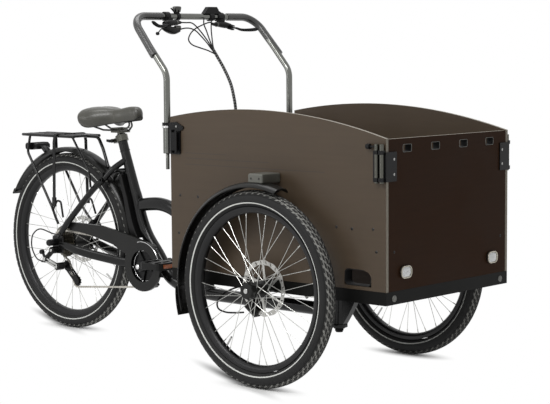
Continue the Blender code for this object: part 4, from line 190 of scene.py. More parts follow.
def bent(points, radius, steps=10):
    """Straight runs whose corners are arcs of one radius, as a bender leaves them."""
    points = [np.asarray(p, float) for p in points]
    out = [points[0][None]]
    for before, corner, after in zip(points, points[1:], points[2:]):
        u = (before - corner) / np.linalg.norm(before - corner)
        v = (after - corner) / np.linalg.norm(after - corner)
        half = math.acos(np.clip(u @ v, -1, 1)) / 2
        if half > 1.56:
            # nearly straight
            out.append(corner[None])
            continue
        reach = min(radius / math.tan(half), 0.49 * np.linalg.norm(before - corner),
                    0.49 * np.linalg.norm(after - corner))
        centre = corner + (u + v) / np.linalg.norm(u + v) * reach / math.cos(half)
        start, end = corner + u * reach - centre, corner + v * reach - centre
        swing = math.pi - 2 * half
        t = np.linspace(0, 1, steps + 1)[:, None]
        out.append(centre + (start * np.sin((1 - t) * swing) + end * np.sin(t * swing)) / math.sin(swing))
    return np.vstack(out + [points[-1][None]])


AXES = {"X": (1, 2, 0), "Y": (0, 2, 1), "Z": (0, 1, 2)}


def between(side, near, far):
    """Two limits across the bike on one side of it, in rising order."""
    return sorted((side * near, side * far))


def turn_profile(profile, centre, axis="Y", steps=48, closed=False):
    """Revolve rows of (radius, height) round an axis; an open profile starts and ends on the axis."""
    profile = np.asarray(profile, float)
    angle = 2 * np.pi * np.arange(steps) / steps
    a, b, along = AXES[axis]
    rings = np.zeros((len(profile), steps, 3))
    rings[..., a] = profile[:, :1] * np.cos(angle)
    rings[..., b] = profile[:, :1] * np.sin(angle)
    rings[..., along] = profile[:, 1:]
    return skin(rings + np.asarray(centre, float), closed)


def disc(radius, low, high, centre, axis="Y", steps=32, soft=0.0006):
    """Cylinder with a small broken edge at both ends."""
    low, high = sorted((low, high))
    profile = [(radius - soft, low), (radius, low + soft), (radius, high - soft), (radius - soft, high)]
    return turn_profile(profile, centre, axis, steps)


def pin(radius, low, high, at, steps=32, soft=0.0006):
    """Cylinder across the bike at a point (x, z)."""
    return disc(radius, low, high, (at[0], 0, at[1]), steps=steps, soft=soft)


def plate(outline, low, high, axis="Y", holes=()):
    """Flat plate with holes: two triangulated faces and a wall of quads round each loop."""
    loops = [np.asarray(loop, float) for loop in (outline, *holes)]
    flat = np.vstack(loops)
    caps = np.array(tessellate_polygon([[Vector((p, q, 0)) for p, q in loop] for loop in loops]))
    a, b, along = AXES[axis]
    points = np.zeros((2, len(flat), 3))
    points[..., a], points[..., b] = flat[:, 0], flat[:, 1]
    points[0, :, along], points[1, :, along] = low, high
    faces, start = [caps, caps[:, ::-1] + len(flat)], 0
    for loop in loops:
        k = np.arange(len(loop))
        n = (k + 1) % len(loop)
        faces.append(np.stack([k, n, n + len(flat), k + len(flat)], -1) + start)
        start += len(loop)
    return points.reshape(-1, 3), faces


def block(x, y, z):
    """Box between pairs of limits."""
    return plate([(x[0], y[0]), (x[1], y[0]), (x[1], y[1]), (x[0], y[1])], z[0], z[1], "Z")


def ring(centre, radius, count, start=0.0, end=360.0):
    """Points of an arc in a plane, in degrees; a full turn leaves its last point out."""
    angle = np.radians(np.linspace(start, end, count, endpoint=abs(end - start) < 359.9))
    return np.stack([centre[0] + radius * np.cos(angle), centre[1] + radius * np.sin(angle)], -1)


def pillow(outline, middle, low, high, axis="X", steps=8):
    """Low dome over an outline: height = low + (high - low) * (1 - share^2), share 1 at the rim."""
    outline, middle = np.asarray(outline), np.asarray(middle)
    a, b, along = AXES[axis]
    rings = np.zeros((steps, len(outline), 3))
    for row, share in zip(rings, np.linspace(1, 0.06, steps)):
        row[:, [a, b]] = middle + (outline - middle) * share
        row[:, along] = low + (high - low) * (1 - share ** 2)
    return skin(rings)


def rounded(x, z, radius, steps=6):
    """Rectangle whose corners are quarter circles."""
    corners = ((x[1] - radius, z[1] - radius, 0), (x[0] + radius, z[1] - radius, 90),
               (x[0] + radius, z[0] + radius, 180), (x[1] - radius, z[0] + radius, 270))
    return np.vstack([ring((cx, cz), radius, steps, a, a + 90) for cx, cz, a in corners])


def inset(x, z, margin, radius):
    """Rounded rectangle, smaller all round by a margin."""
    return rounded((x[0] + margin, x[1] - margin), (z[0] + margin, z[1] - margin), radius)


def spun(shape, degrees, centre, axis="Y"):
    """The same shape turned round a point."""
    place = Matrix.Translation(centre)
    move = np.array(place @ Matrix.Rotation(math.radians(degrees), 4, axis) @ place.inverted())
    return shape[0] @ move[:3, :3].T + move[:3, 3], shape[1]


def flipped(shape):
    """The same shape on the other side of the bike."""
    return shape[0] * (1, -1, 1), shape[1]


def moved(shape, shift):
    """The same shape shifted."""
    return shape[0] + np.asarray(shift, float), shape[1]


def to_mesh(name, shapes, material, crease):
    """One mesh from shapes: seams and poles closed, faces turned outwards, smooth up to the crease."""
    points, faces, start = [], [], 0
    for at, blocks in shapes:
        points.append(at)
        for quads in blocks:
            faces += (quads + start).tolist()
        start += len(at)
    mesh = bpy.data.meshes.new(name)
    mesh.from_pydata((np.vstack(points) - (MIDDLE_X, 0, 0)).tolist(), [], faces)
    work = bmesh.new()
    work.from_mesh(mesh)
    bmesh.ops.remove_doubles(work, verts=work.verts, dist=1e-6)
    bmesh.ops.recalc_face_normals(work, faces=work.faces)
    work.to_mesh(mesh)
    work.free()
    mesh.materials.append(material)
    mesh.shade_smooth()
    mesh.set_sharp_from_angle(angle=math.radians(crease))
    return mesh


def piece(name, shapes, look, body, slot, *nodes, crease=38, edge=0.0):
    """Named piece that rides on a body and may stand for CAD nodes; edge is the width of its broken edges."""
    item = bpy.data.objects.new(name, to_mesh(name, shapes, LOOK[look], crease))
    bpy.context.scene.collection.objects.link(item)
    if edge:
        soften = item.modifiers.new("broken_edge", "BEVEL")
        soften.width, soften.segments, soften.limit_method = edge, 2, "ANGLE"
        soften.angle_limit, soften.harden_normals = math.radians(40), True
    if body:
        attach(item, body)
    if nodes:
        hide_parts(*nodes)
    return item


# Materials

# Most lumps lie between these two values, which become zero and one
LUMPS_RANGE = {"From Min": 0.3, "From Max": 0.7}
# A mix of two colours: socket 0 is the share of the second, 6 and 7 are the colours
COLOUR_MIX = {"output": 2, "data_type": "RGBA"}
# Openings of the front and side panels, whose walls are painted dark as shade: axis that they run along,
# limits along it, limits in height
PANEL_OPENINGS = ((1, (-0.27, 0.27), (0.744, 0.776)), (0, (0.880, 0.997), (0.340, 0.403)))
VENEER = 0.0014  # thickness of one veneer


def linear(code):
    """Linear colour of an sRGB hex value."""
    parts = [int(code[i:i + 2], 16) / 255 for i in (0, 2, 4)]
    return [c / 12.92 if c <= 0.04045 else ((c + 0.055) / 1.055) ** 2.4 for c in parts] + [1.0]


def shaded(code, factor):
    """Linear colour of an sRGB hex value, times a factor."""
    return [c * factor for c in linear(code)[:3]] + [1.0]


def add(tree, kind, inputs=None, output=0, **settings):
    """Add one node: settings go on the node, inputs are values, hex colours or other nodes' outputs."""
    node = tree.nodes.new("ShaderNode" + kind)
    for key, value in settings.items():
        setattr(node, key, value)
    for key, value in (inputs or {}).items():
        if isinstance(value, bpy.types.NodeSocket):
            tree.links.new(value, node.inputs[key])
        else:
            node.inputs[key].default_value = linear(value) if isinstance(value, str) else value
    return node.outputs[output]


def new_material(name, colour, roughness, metallic=0.0, **shader):
    """Principled material with its plain values set; returns it, its tree, shader and object coordinates."""
    material = bpy.data.materials.new(name)
    material.use_nodes = True
    tree = material.node_tree
    surface = tree.nodes["Principled BSDF"]
    surface.inputs["Base Color"].default_value = linear(colour)
    surface.inputs["Roughness"].default_value = roughness
    surface.inputs["Metallic"].default_value = metallic
    for key, value in shader.items():
        surface.inputs[key.replace("_", " ")].default_value = value
    return material, tree, surface, add(tree, "TexCoord", output=3)


def lead(tree, surface, **patterns):
    """Lead patterns into the shader's sockets."""
    for key, value in patterns.items():
        tree.links.new(value, surface.inputs[key.replace("_", " ")])


def lumps(tree, place, size, detail=3.0, stretch=(1, 1, 1)):
    """Smooth random lumps about this many metres across; a stretch below one lengthens them along that
    axis."""
    spread = add(tree, "Mapping", {"Vector": place, "Scale": tuple(s / size for s in stretch)})
    return add(tree, "TexNoise", {"Vector": spread, "Scale": 1.0, "Detail": detail})


def banded(tree, value, low, high, soft):
    """One between low and high, zero outside, with edges this soft."""
    rise = add(tree, "MapRange", {"Value": value, "From Min": low - soft, "From Max": low + soft})
    fall = add(tree, "MapRange", {"Value": value, "From Min": high - soft, "From Max": high + soft,
                                  "To Min": 1.0, "To Max": 0.0})
    return add(tree, "Math", {0: rise, 1: fall}, operation="MULTIPLY")


def from_axle(tree, place, centre):
    """Distance from a wheel's axle, in the plane of the wheel."""
    shift = add(tree, "Mapping", {"Vector": place, "Location": (MIDDLE_X - centre[0], 0, -centre[2]),
                                  "Scale": (1, 0, 1)})
    return add(tree, "VectorMath", {0: shift}, output=1, operation="LENGTH")


def grained(name, colour, roughness, grain, depth, metallic=0.0, shade=0.12, spread=0.06, **shader):
    """Finish with a fine grain, slow changes of shade and a roughness that wanders a little. Grain and depth
    are in metres: real grains of a few tenths of a millimetre are drawn near 1 mm, so that they show."""
    material, tree, surface, place = new_material(name, colour, roughness, metallic, **shader)
    slow = lumps(tree, place, 0.09, 4.0)
    share = add(tree, "MapRange", {"Value": slow, **LUMPS_RANGE})
    tint = add(tree, "Mix", {0: share, 6: shaded(colour, 1 - shade), 7: shaded(colour, 1 + shade)},
               **COLOUR_MIX)
    wander = add(tree, "MapRange", {"Value": slow, **LUMPS_RANGE, "To Min": roughness - spread,
                                    "To Max": roughness + spread})
    bump = add(tree, "Bump", {"Height": lumps(tree, place, grain, 2.0), "Distance": depth, "Strength": 1.0})
    lead(tree, surface, Base_Color=tint, Roughness=wander, Normal=bump)
    return material


def film_faced_birch(name, axis, planes, colour, gloss):
    """Birch plywood, faced with a brown phenolic film pressed smooth: the faces are even brown with faint
    long grain under the film, and the sawn edge shows pale veneers 1.4 mm thick in two tones. Planes say
    where the two faces stand on that axis, without sign; the film is drawn 0.5 mm thick."""
    material, tree, surface, place = new_material(name, colour, 0.46, Specular_IOR_Level=gloss)
    parts = [add(tree, "SeparateXYZ", {0: place}, output=k) for k in range(3)]
    across = add(tree, "Math", {0: parts[axis]}, operation="ABSOLUTE")
    low, high = sorted(planes)
    core = banded(tree, across, low + 0.0005, high - 0.0005, 0.0001)
    if axis < 2:
        # painted shade: the walls of the openings keep the dark film colour instead of the pale veneer
        run, limits, heights = PANEL_OPENINGS[axis]
        opening = add(tree, "Math", {0: banded(tree, parts[run], *limits, 0.001),
                                     1: banded(tree, parts[2], *heights, 0.001)}, operation="MULTIPLY")
        core = add(tree, "Math", {0: core, 1: opening}, operation="SUBTRACT", use_clamp=True)
    grain = lumps(tree, place, 0.010, 5.0, (0.08, 0.08, 1.0) if axis < 2 else (0.08, 1.0, 1.0))
    cloud = lumps(tree, place, 0.16, 3.0)
    streak = add(tree, "MapRange", {"Value": grain, "From Min": 0.25, "From Max": 0.75})
    film = add(tree, "Mix", {0: streak, 6: shaded(colour, 0.94), 7: shaded(colour, 1.06)}, **COLOUR_MIX)
    worn = add(tree, "MapRange", {"Value": cloud, **LUMPS_RANGE, "To Max": 0.20})
    film = add(tree, "Mix", {0: worn, 6: film, 7: shaded(colour, 1.5)}, **COLOUR_MIX)
    layer = add(tree, "Math", {0: across, 1: 1 / (2 * VENEER)}, operation="MULTIPLY")
    layer = add(tree, "Math", {0: layer}, operation="FRACT")
    layer = add(tree, "Math", {0: layer, 1: 0.5}, operation="GREATER_THAN")
    veneer = add(tree, "Mix", {0: layer, 6: "A6A093", 7: "857F74"}, **COLOUR_MIX)
    knots = add(tree, "MapRange", {"Value": lumps(tree, place, 0.004, 4.0), **LUMPS_RANGE, "To Max": 0.4})
    veneer = add(tree, "Mix", {0: knots, 6: veneer, 7: "5C5346"}, **COLOUR_MIX)
    fine = lumps(tree, place, 0.0016, 3.0, (0.3, 0.3, 1.0))
    lead(tree, surface, Base_Color=add(tree, "Mix", {0: core, 6: film, 7: veneer}, **COLOUR_MIX),
         Roughness=add(tree, "MapRange", {"Value": cloud, **LUMPS_RANGE, "To Min": 0.38, "To Max": 0.52}),
         Normal=add(tree, "Bump", {"Height": fine, "Distance": 0.00005, "Strength": 1.0}))
    return material


def striped_tyre(name, centre, radius, width, stripe):
    """Black butyl and carbon rubber, moulded, with a white reflective band on each wall: dull, pale dust
    in the grooves between the tread blocks, the band bright and even. The walls' fine ribs are drawn
    3.5 mm apart, coarser than real ones, so that they show."""
    material, tree, surface, place = new_material(name, "1B1B1C", 0.62, Specular_IOR_Level=0.18)
    out = from_axle(tree, place, centre)
    band = banded(tree, out, stripe - STRIPE_WIDTH / 2, stripe + STRIPE_WIDTH / 2, 0.0003)
    small = width / 2
    beside = add(tree, "SeparateXYZ", {0: place}, output=1)
    beside = add(tree, "Math", {0: beside, 1: -centre[1]}, operation="ADD")
    above = add(tree, "Math", {0: out, 1: small - radius}, operation="ADD")
    depth = add(tree, "CombineXYZ", {0: above, 1: beside})
    depth = add(tree, "VectorMath", {0: depth}, output=1, operation="LENGTH")
    groove = banded(tree, depth, small - 0.0100, small - 0.0015, 0.0003)
    crown = add(tree, "MapRange", {"Value": above, "From Min": 0.52 * small, "From Max": 0.60 * small})
    specks = add(tree, "MapRange", {"Value": lumps(tree, place, 0.005, 5.0), **LUMPS_RANGE})
    dust = add(tree, "Mix", {0: specks, 6: "7C7C79", 7: "A09F9B"}, **COLOUR_MIX)
    worn = add(tree, "Mix", {0: specks, 6: "242425", 7: "373735"}, **COLOUR_MIX)
    dusty = add(tree, "Math", {0: groove, 1: crown}, operation="MULTIPLY")
    tread = add(tree, "Mix", {0: dusty, 6: worn, 7: dust}, **COLOUR_MIX)
    wall = add(tree, "Mix", {0: crown, 6: "222222", 7: tread}, **COLOUR_MIX)
    ribs = add(tree, "Math", {0: out, 1: 2 * math.pi / 0.0035}, operation="MULTIPLY")
    ribs = add(tree, "Math", {0: ribs}, operation="SINE")
    lead(tree, surface, Base_Color=add(tree, "Mix", {0: band, 6: wall, 7: "CFD0CC"}, **COLOUR_MIX),
         Normal=add(tree, "Bump", {"Height": ribs, "Distance": 0.00012, "Strength": 0.6}))
    return material


def coated_skin(name):
    """Polyurethane-coated skin over foam, embossed with a pebble: soft low sheen, and its creases painted
    darker as shade. The real pebble is about 1.2 mm across and is drawn at 2.2 mm, so that it shows."""
    material, tree, surface, place = new_material(name, "3A3933", 0.42, Coat_Weight=0.25, Coat_Roughness=0.3)
    spread = add(tree, "Mapping", {"Vector": place, "Scale": (1 / 0.0022,) * 3})
    cells = add(tree, "TexVoronoi", {"Vector": spread, "Scale": 1.0}, feature="SMOOTH_F1")
    # painted shade: the pebble is darker where its surface lies lowest
    crease = add(tree, "MapRange", {"Value": cells, "From Min": 0.1, "From Max": 0.7})
    tone = add(tree, "Mix", {0: crease, 6: "25241F", 7: "3A3931"}, **COLOUR_MIX)
    pale = add(tree, "MapRange", {"Value": lumps(tree, place, 0.05), **LUMPS_RANGE, "To Max": 0.35})
    lead(tree, surface, Base_Color=add(tree, "Mix", {0: pale, 6: tone, 7: "47453B"}, **COLOUR_MIX),
         Roughness=add(tree, "MapRange", {"Value": cells, **LUMPS_RANGE, "To Min": 0.34, "To Max": 0.50}),
         Normal=add(tree, "Bump", {"Height": cells, "Distance": 0.00025, "Strength": 0.7}))
    return material


def brushed_round(name, centre):
    """Stainless sheet, ground in circles round its own axis: bright, with fine rings. They are drawn
    0.6 mm apart, coarser than real grinding marks, so that they show."""
    material, tree, surface, place = new_material(name, "B9B8B4", 0.30, 1.0)
    out = add(tree, "Math", {0: from_axle(tree, place, centre), 1: 1 / 0.0006}, operation="MULTIPLY")
    rings = add(tree, "CombineXYZ", {0: out})
    lines = add(tree, "TexNoise", {"Vector": rings, "Scale": 1.0, "Detail": 2.0})
    lead(tree, surface,
         Roughness=add(tree, "MapRange", {"Value": lines, **LUMPS_RANGE, "To Min": 0.22, "To Max": 0.42}),
         Normal=add(tree, "Bump", {"Height": lines, "Distance": 0.00003, "Strength": 1.0}))
    return material


def prismed(name, colour, roughness, facet, **shader):
    """Clear moulded plastic over a prism reflector: small square facets catch the light, and each facet is
    painted darker towards its edges as shade.
    """
    material, tree, surface, place = new_material(name, colour, roughness, **shader)
    spread = add(tree, "Mapping", {"Vector": place, "Scale": (1 / facet,) * 3})
    cells = add(tree, "TexVoronoi", {"Vector": spread, "Scale": 1.0, "Randomness": 0.0}, distance="CHEBYCHEV")
    # painted shade: the colour darkens towards each facet's edges
    share = add(tree, "MapRange", {"Value": cells, "From Min": 0.1, "From Max": 0.6})
    lead(tree, surface,
         Base_Color=add(tree, "Mix", {0: share, 6: colour, 7: shaded(colour, 0.72)}, **COLOUR_MIX),
         Normal=add(tree, "Bump", {"Height": cells, "Distance": 0.0006, "Strength": 0.8}))
    return material


# Each finish is named for its material and how that was made; the comment says what the eye sees
LOOK = {
    # nearly black with narrow bright highlights
    "powder": grained("satin_powder_coated_steel", "0F0F0F", 0.17, 0.0014, 0.00002, Specular_IOR_Level=0.24,
                      Coat_Weight=0.05, Coat_Roughness=0.10),
    # nearly black, no clear highlights
    "dull_powder": grained("matt_powder_coated_steel", "10100F", 0.42, 0.0014, 0.00003,
                           Specular_IOR_Level=0.08),
    # dark grey metal with long bright streaks
    "bar_paint": grained("gunmetal_lacquered_tube", "6A6B67", 0.15, 0.0020, 0.00001, metallic=0.90,
                         spread=0.04, Coat_Weight=0.20, Coat_Roughness=0.08),
    # warm grey brown, faint sheen
    "side_ply": film_faced_birch("film_faced_birch_sides", 1, (0.3023, 0.3143), "43382C", 0.25),
    # deep red brown, almost no sheen: a darker, duller copy of the sides' film, as painted shade on the front
    # panel
    "front_ply": film_faced_birch("film_faced_birch_front", 0, (1.035, 1.047), "301F14", 0.04),
    # grey brown, faint sheen
    "back_ply": film_faced_birch("film_faced_birch_back", 0, (0.143, 0.155), "4A3E35", 0.2),
    # very dark brown: painted shade, so that the inside of the box seen through the hand holes looks dark
    "floor_ply": film_faced_birch("film_faced_birch_floor", 2, (0.3353, 0.3473), "1A1512", 0.05),
    # black with a soft metal edge
    "rim": grained("black_anodised_aluminium_rim", "1A1A1B", 0.34, 0.0008, 0.00001, metallic=0.5),
    # thin bright wire
    "spoke": grained("drawn_stainless_wire", "BEBEBA", 0.28, 0.0006, 0.00001, metallic=1.0, shade=0.05),
    # bright ground rings
    "rear_rotor": brushed_round("ground_stainless_rear_disc", WHEELS["rear"][0]),
    "front_rotor": brushed_round("ground_stainless_front_disc", WHEELS["right_front"][0]),
    # grey brown metal
    "cog": grained("nickel_plated_steel_cogs", "77736A", 0.30, 0.0009, 0.00002, metallic=1.0),
    # pale soft metal
    "alloy": grained("tumbled_aluminium", "B4B4B2", 0.34, 0.0010, 0.00002, metallic=1.0),
    # mirror bright
    "chrome": grained("polished_chrome", "D8D8D8", 0.10, 0.0030, 0.00001, metallic=1.0, shade=0.03,
                      spread=0.03),
    # dark mirror
    "dark_chrome": grained("black_nickel_plate", "4C4C4A", 0.14, 0.0030, 0.00001, metallic=1.0, shade=0.05,
                           spread=0.04),
    # pale warm metal rim
    "pearl": grained("champagne_plated_lamp_rim", "B9B3A6", 0.22, 0.0020, 0.00001, metallic=0.8, spread=0.04),
    # black with a faint metal gleam
    "black_steel": grained("electrocoated_steel", "151516", 0.28, 0.0010, 0.00002, metallic=0.3,
                           Specular_IOR_Level=0.2),
    # uneven steel grey, a little oily
    "chain": grained("oiled_steel_chain", "B3B0A8", 0.32, 0.0008, 0.00003, metallic=0.85, shade=0.2),
    # black, finely grained
    "plastic": grained("spark_grained_black_nylon", "151515", 0.36, 0.0007, 0.00004, Specular_IOR_Level=0.16),
    # smooth black with wide soft highlights
    "shell": grained("moulded_black_polypropylene", "171716", 0.30, 0.0012, 0.00003, Specular_IOR_Level=0.18,
                     Coat_Weight=0.08, Coat_Roughness=0.2),
    # dull black
    "rubber": grained("moulded_black_elastomer", "1D1D1D", 0.70, 0.0006, 0.00006, Specular_IOR_Level=0.25),
    # middle grey
    "wrap": grained("grey_spiral_polyamide", "626261", 0.42, 0.0008, 0.00003),
    # dark grey foam, slightly polished by hands
    "grip": grained("soft_grip_foam_rubber", "343433", 0.30, 0.0011, 0.00003, Specular_IOR_Level=0.5,
                    Coat_Weight=0.2, Coat_Roughness=0.12),
    # black brown, soft low sheen, pebbled
    "skin": coated_skin("coated_saddle_skin"),
    # clear, square facets behind
    "lens": prismed("clear_polycarbonate_over_reflector", "F1F4F5", 0.06, 0.006, Coat_Weight=1.0,
                    Coat_Roughness=0.03),
    # deep red facets
    "red": prismed("red_acrylic_reflector_lens", "6E100E", 0.14, 0.003, Coat_Weight=0.6, Coat_Roughness=0.05),
    # brown orange facets
    "orange": prismed("orange_acrylic_reflector", "A4521C", 0.15, 0.0025, Coat_Weight=0.6,
                      Coat_Roughness=0.05),
    # black mirror
    "glass": grained("dark_display_glass", "0E1214", 0.08, 0.0030, 0.000005, spread=0.02, Coat_Weight=1.0,
                     Coat_Roughness=0.03),
    # dark line
    "groove": grained("engraved_film", "2A231D", 0.60, 0.0008, 0.00004),
    # small bright heads
    "screw": grained("zinc_plated_screw_heads", "A2A2A0", 0.30, 0.0008, 0.00002, metallic=1.0),
    "black_screw": grained("black_zinc_screw_heads", "2C2B2A", 0.36, 0.0008, 0.00002, metallic=0.7),
    # matt middle grey
    "plug": grained("grey_polyamide_plug", "80807C", 0.50, 0.0008, 0.00004, Specular_IOR_Level=0.3),
    # matt green grey
    "arm": grained("glass_filled_grey_nylon", "55554F", 0.40, 0.0008, 0.00004, Specular_IOR_Level=0.4),
    # dark polished rod
    "dark_steel_tube": grained("burnished_hinge_rod", "55554F", 0.24, 0.0010, 0.00001, metallic=0.9),
}
for prefix, (centre, radius, width, _, _) in WHEELS.items():
    LOOK[prefix + "_tyre"] = striped_tyre(prefix + "_tyre_rubber", centre, radius, width,
                                          STRIPE_RADIUS[prefix])


def finish_nodes(looks):
    """Give each of some CAD nodes its finish; they keep their own shape."""
    for node, look in looks.items():
        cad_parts[node].material_slots[0].material = LOOK[look]


# Wheels

def tyre_shapes(centre, radius, width):
    """Carcass: a circle section of the tyre's width, opened at the rim; blocks: six staggered rows."""
    small = width / 2
    core = radius - small
    phi = np.radians(np.linspace(-147, 147, 61))
    thick = small - 0.0028 + 0.0024 * np.clip((np.abs(np.degrees(phi)) - 50) / 14, 0, 1)
    outer = np.stack([core + thick * np.cos(phi), thick * np.sin(phi)], -1)
    bead = [(core - small * 0.83, 0.0122), (core - small * 0.83, -0.0122)]
    carcass = turn_profile(np.vstack([outer, bead]), centre, steps=144, closed=True)
    pitch = 2 * np.pi / TREAD_BLOCKS
    turns = pitch * np.arange(TREAD_BLOCKS)
    corner = np.array([(a, b, c) for a in (-1, 1) for b in (-1, 1) for c in (0, 1)], float)
    # each row of blocks: lean in degrees, shift in pitches, half width in degrees, half length in pitches
    rows = [(-48, 0.5, 6.0, 0.33), (-29, 0.0, 6.6, 0.35), (-10, 0.5, 6.8, 0.37), (10, 0.0, 6.8, 0.37),
            (29, 0.5, 6.6, 0.35), (48, 0.0, 6.0, 0.33)]
    points = []
    for lean, offset, half, fill in rows:
        angle = turns[:, None] + pitch * (offset + fill * corner[:, 0] * (1 - 0.1 * corner[:, 2])
                                          + 0.12 * corner[:, 1] * np.sign(lean))
        tilt = np.radians(lean + half * corner[:, 1] * (1 - 0.12 * corner[:, 2]))
        out = small - 0.0034 + 0.0034 * corner[:, 2]
        reach = core + out * np.cos(tilt)
        points.append(np.stack([reach * np.cos(angle), np.broadcast_to(out * np.sin(tilt), angle.shape),
                                reach * np.sin(angle)], -1))
    points = np.vstack(points).reshape(-1, 3) + centre
    cube = np.array([(0, 1, 3, 2), (4, 6, 7, 5), (0, 4, 5, 1), (2, 3, 7, 6), (0, 2, 6, 4), (1, 5, 7, 3)])
    faces = (cube[None] + 8 * np.arange(len(points) // 8)[:, None, None]).reshape(-1, 4)
    return [carcass, (points, [faces])]


def rim_shapes(centre, inner):
    """Double-wall rim: a rounded V towards the spokes and two hooked walls, turned round the axle."""
    half, outer = RIM_WIDTH / 2, inner + RIM_DEPTH
    side = [(inner, half * 0.30), (inner + 0.0010, half * 0.52), (inner + 0.0060, half * 0.86),
            (inner + 0.0110, half * 0.99), (outer - 0.0006, half), (outer, half - 0.0008),
            (outer, half - 0.0026), (outer - 0.0015, half - 0.0036), (outer - 0.0073, half - 0.0036)]
    profile = side + [(r, -y) for r, y in reversed(side)]
    return [turn_profile(profile, centre, steps=144, closed=True)]


def spoke_shapes(centre, flange, offsets, inner, crossing_deg):
    """Crossed spokes from both flanges, leading and trailing in turn, each with its nipple at the rim."""
    index = np.arange(SPOKE_COUNT)
    sense = np.where((index // 2) % 2, 1, -1)
    side = np.asarray(offsets)[index % 2]
    at_rim = 2 * np.pi * index / SPOKE_COUNT
    at_hub = at_rim + sense * math.radians(crossing_deg)
    root = np.stack([flange * np.cos(at_hub), side + sense * 0.0016, flange * np.sin(at_hub)], -1) + centre
    tip = np.stack([inner * np.cos(at_rim), np.sign(side) * 0.004, inner * np.sin(at_rim)], -1) + centre
    wires, nipples = [], []
    for a, b in zip(root, tip):
        run = (b - a) / np.linalg.norm(b - a)
        wires.append(tube([a, b], SPOKE_RADIUS, 8))
        nipples.append(tube([b - run * 0.013, b - run * 0.0115, b + run * 0.002], 0.0019, 8))
    return wires, nipples


def rotor_shapes(centre, offset, hub):
    """Brake disc: a wavy band with slots, outer radius R + 1.2 mm * cos(12 a), on six leaning arms."""
    middle = centre[1] + offset
    angle = 2 * np.pi * np.arange(144) / 144
    out = ROTOR_RADIUS - 0.0014 + 0.0012 * np.cos(12 * angle)
    inn = ROTOR_RADIUS - 0.0155 - 0.0010 * np.cos(12 * angle + 0.6)
    flat = np.array([centre[0], centre[2]])
    loop = np.stack([np.cos(angle), np.sin(angle)], -1)
    slots = []
    for a in 2 * np.pi * (np.arange(24) + 0.5) / 24:
        away = np.array([math.cos(a), math.sin(a)])
        beside = np.array([-away[1], away[0]])
        mid = flat + away * (ROTOR_RADIUS - 0.0080)
        slots.append([mid + 0.0042 * away * u + 0.0020 * beside * (v + u) for u, v in
                      ((-1, -1), (1, -1), (1, 1), (-1, 1))])
    shapes = [plate(flat + loop * out[:, None], middle - 0.0009, middle + 0.0009, "Y",
                    [flat + loop * inn[:, None]] + slots)]
    for index in range(6):
        root, lean = math.radians(60 * index), math.radians(60 * index + 32)
        a = flat + np.array([math.cos(root), math.sin(root)]) * (hub - 0.002)
        b = flat + np.array([math.cos(lean), math.sin(lean)]) * (ROTOR_RADIUS - 0.0145)
        across = np.array([-(b - a)[1], (b - a)[0]]) / np.linalg.norm(b - a)
        arm = [a - across * 0.005, b - across * 0.0035, b + across * 0.0035, a + across * 0.005]
        shapes.append(plate(arm, middle - 0.0008, middle + 0.0008))
    return shapes


def front_hub_shapes(centre, side):
    """Front hub in section: flanges and waist; a scalloped outer cap, radius * (1 + 0.055 * cos(9 a)), with
    a small button in its middle."""
    profile = [(0.0102, -0.0350), (0.0155, -0.0350), (0.0160, -0.0340), (0.0160, -0.0225), (0.0275, -0.0205),
               (0.0280, -0.0200), (0.0280, -0.0140), (0.0270, -0.0136), (0.0165, -0.0110), (0.0150, 0.0060),
               (0.0165, 0.0230), (0.0270, 0.0256), (0.0280, 0.0262), (0.0280, 0.0320), (0.0230, 0.0350),
               (0.0102, 0.0350)]
    body = turn_profile([(r, side * o) for r, o in profile], centre, steps=64, closed=True)
    turn = 2 * np.pi * np.arange(108) / 108
    rows = []
    steps = ((0.0245, 0.0340, 0), (0.0270, 0.0370, 1), (0.0275, 0.0480, 1), (0.0245, 0.0530, 0.8),
             (0.0170, 0.0545, 0), (0.0120, 0.0530, 0), (0.0100, 0.0530, 0))
    for radius, out, scallop in steps:
        reach = radius * (1 + 0.055 * scallop * np.cos(9 * turn))
        rows.append(np.stack([reach * np.cos(turn), np.full(108, side * out), reach * np.sin(turn)], -1))
    cap = skin(np.array(rows) + np.asarray(centre))
    button = [disc(0.0078, side * 0.0525, side * 0.0562, centre)]
    return [body, cap], button


def valve_stem(centre, inner, turn_deg):
    """Valve: a thin tube that stands inwards from the rim's lowest point, turned round the wheel."""
    foot = np.array(centre) - (0, 0, inner)
    return spun(tube([foot + (0, 0, 0.040), foot + (0, 0, 0.001)], 0.0030, 12), turn_deg, centre)


def dress_front_wheel(prefix):
    """Every piece of one front wheel."""
    centre, radius, width, inner, side = WHEELS[prefix]
    body = prefix + "_wheel"
    piece(prefix + "_tread_and_wall", tyre_shapes(centre, radius, width), prefix + "_tyre", body,
          "tyre_rubber", prefix + "_tyre")
    piece(prefix + "_box_rim", rim_shapes(centre, inner), "rim", body, "rim_anodised", prefix + "_rim",
          crease=50)
    wires, nipples = spoke_shapes(centre, 0.0262, (side * 0.029, side * -0.017), inner, 60)
    hub, button = front_hub_shapes(centre, side)
    piece(prefix + "_hub_shell", hub, "shell", body, "black_plastic", prefix + "_hub")
    piece(prefix + "_spokes", wires + nipples, "spoke", body, "bright_steel")
    piece(prefix + "_cap_button", button, "alloy", body, "bright_steel")
    piece(prefix + "_rotor", rotor_shapes(centre, -side * 0.0280, 0.016), "front_rotor", body, "bright_steel")
    piece(prefix + "_valve", [valve_stem(centre, inner, 35)], "alloy", body, "bright_steel")


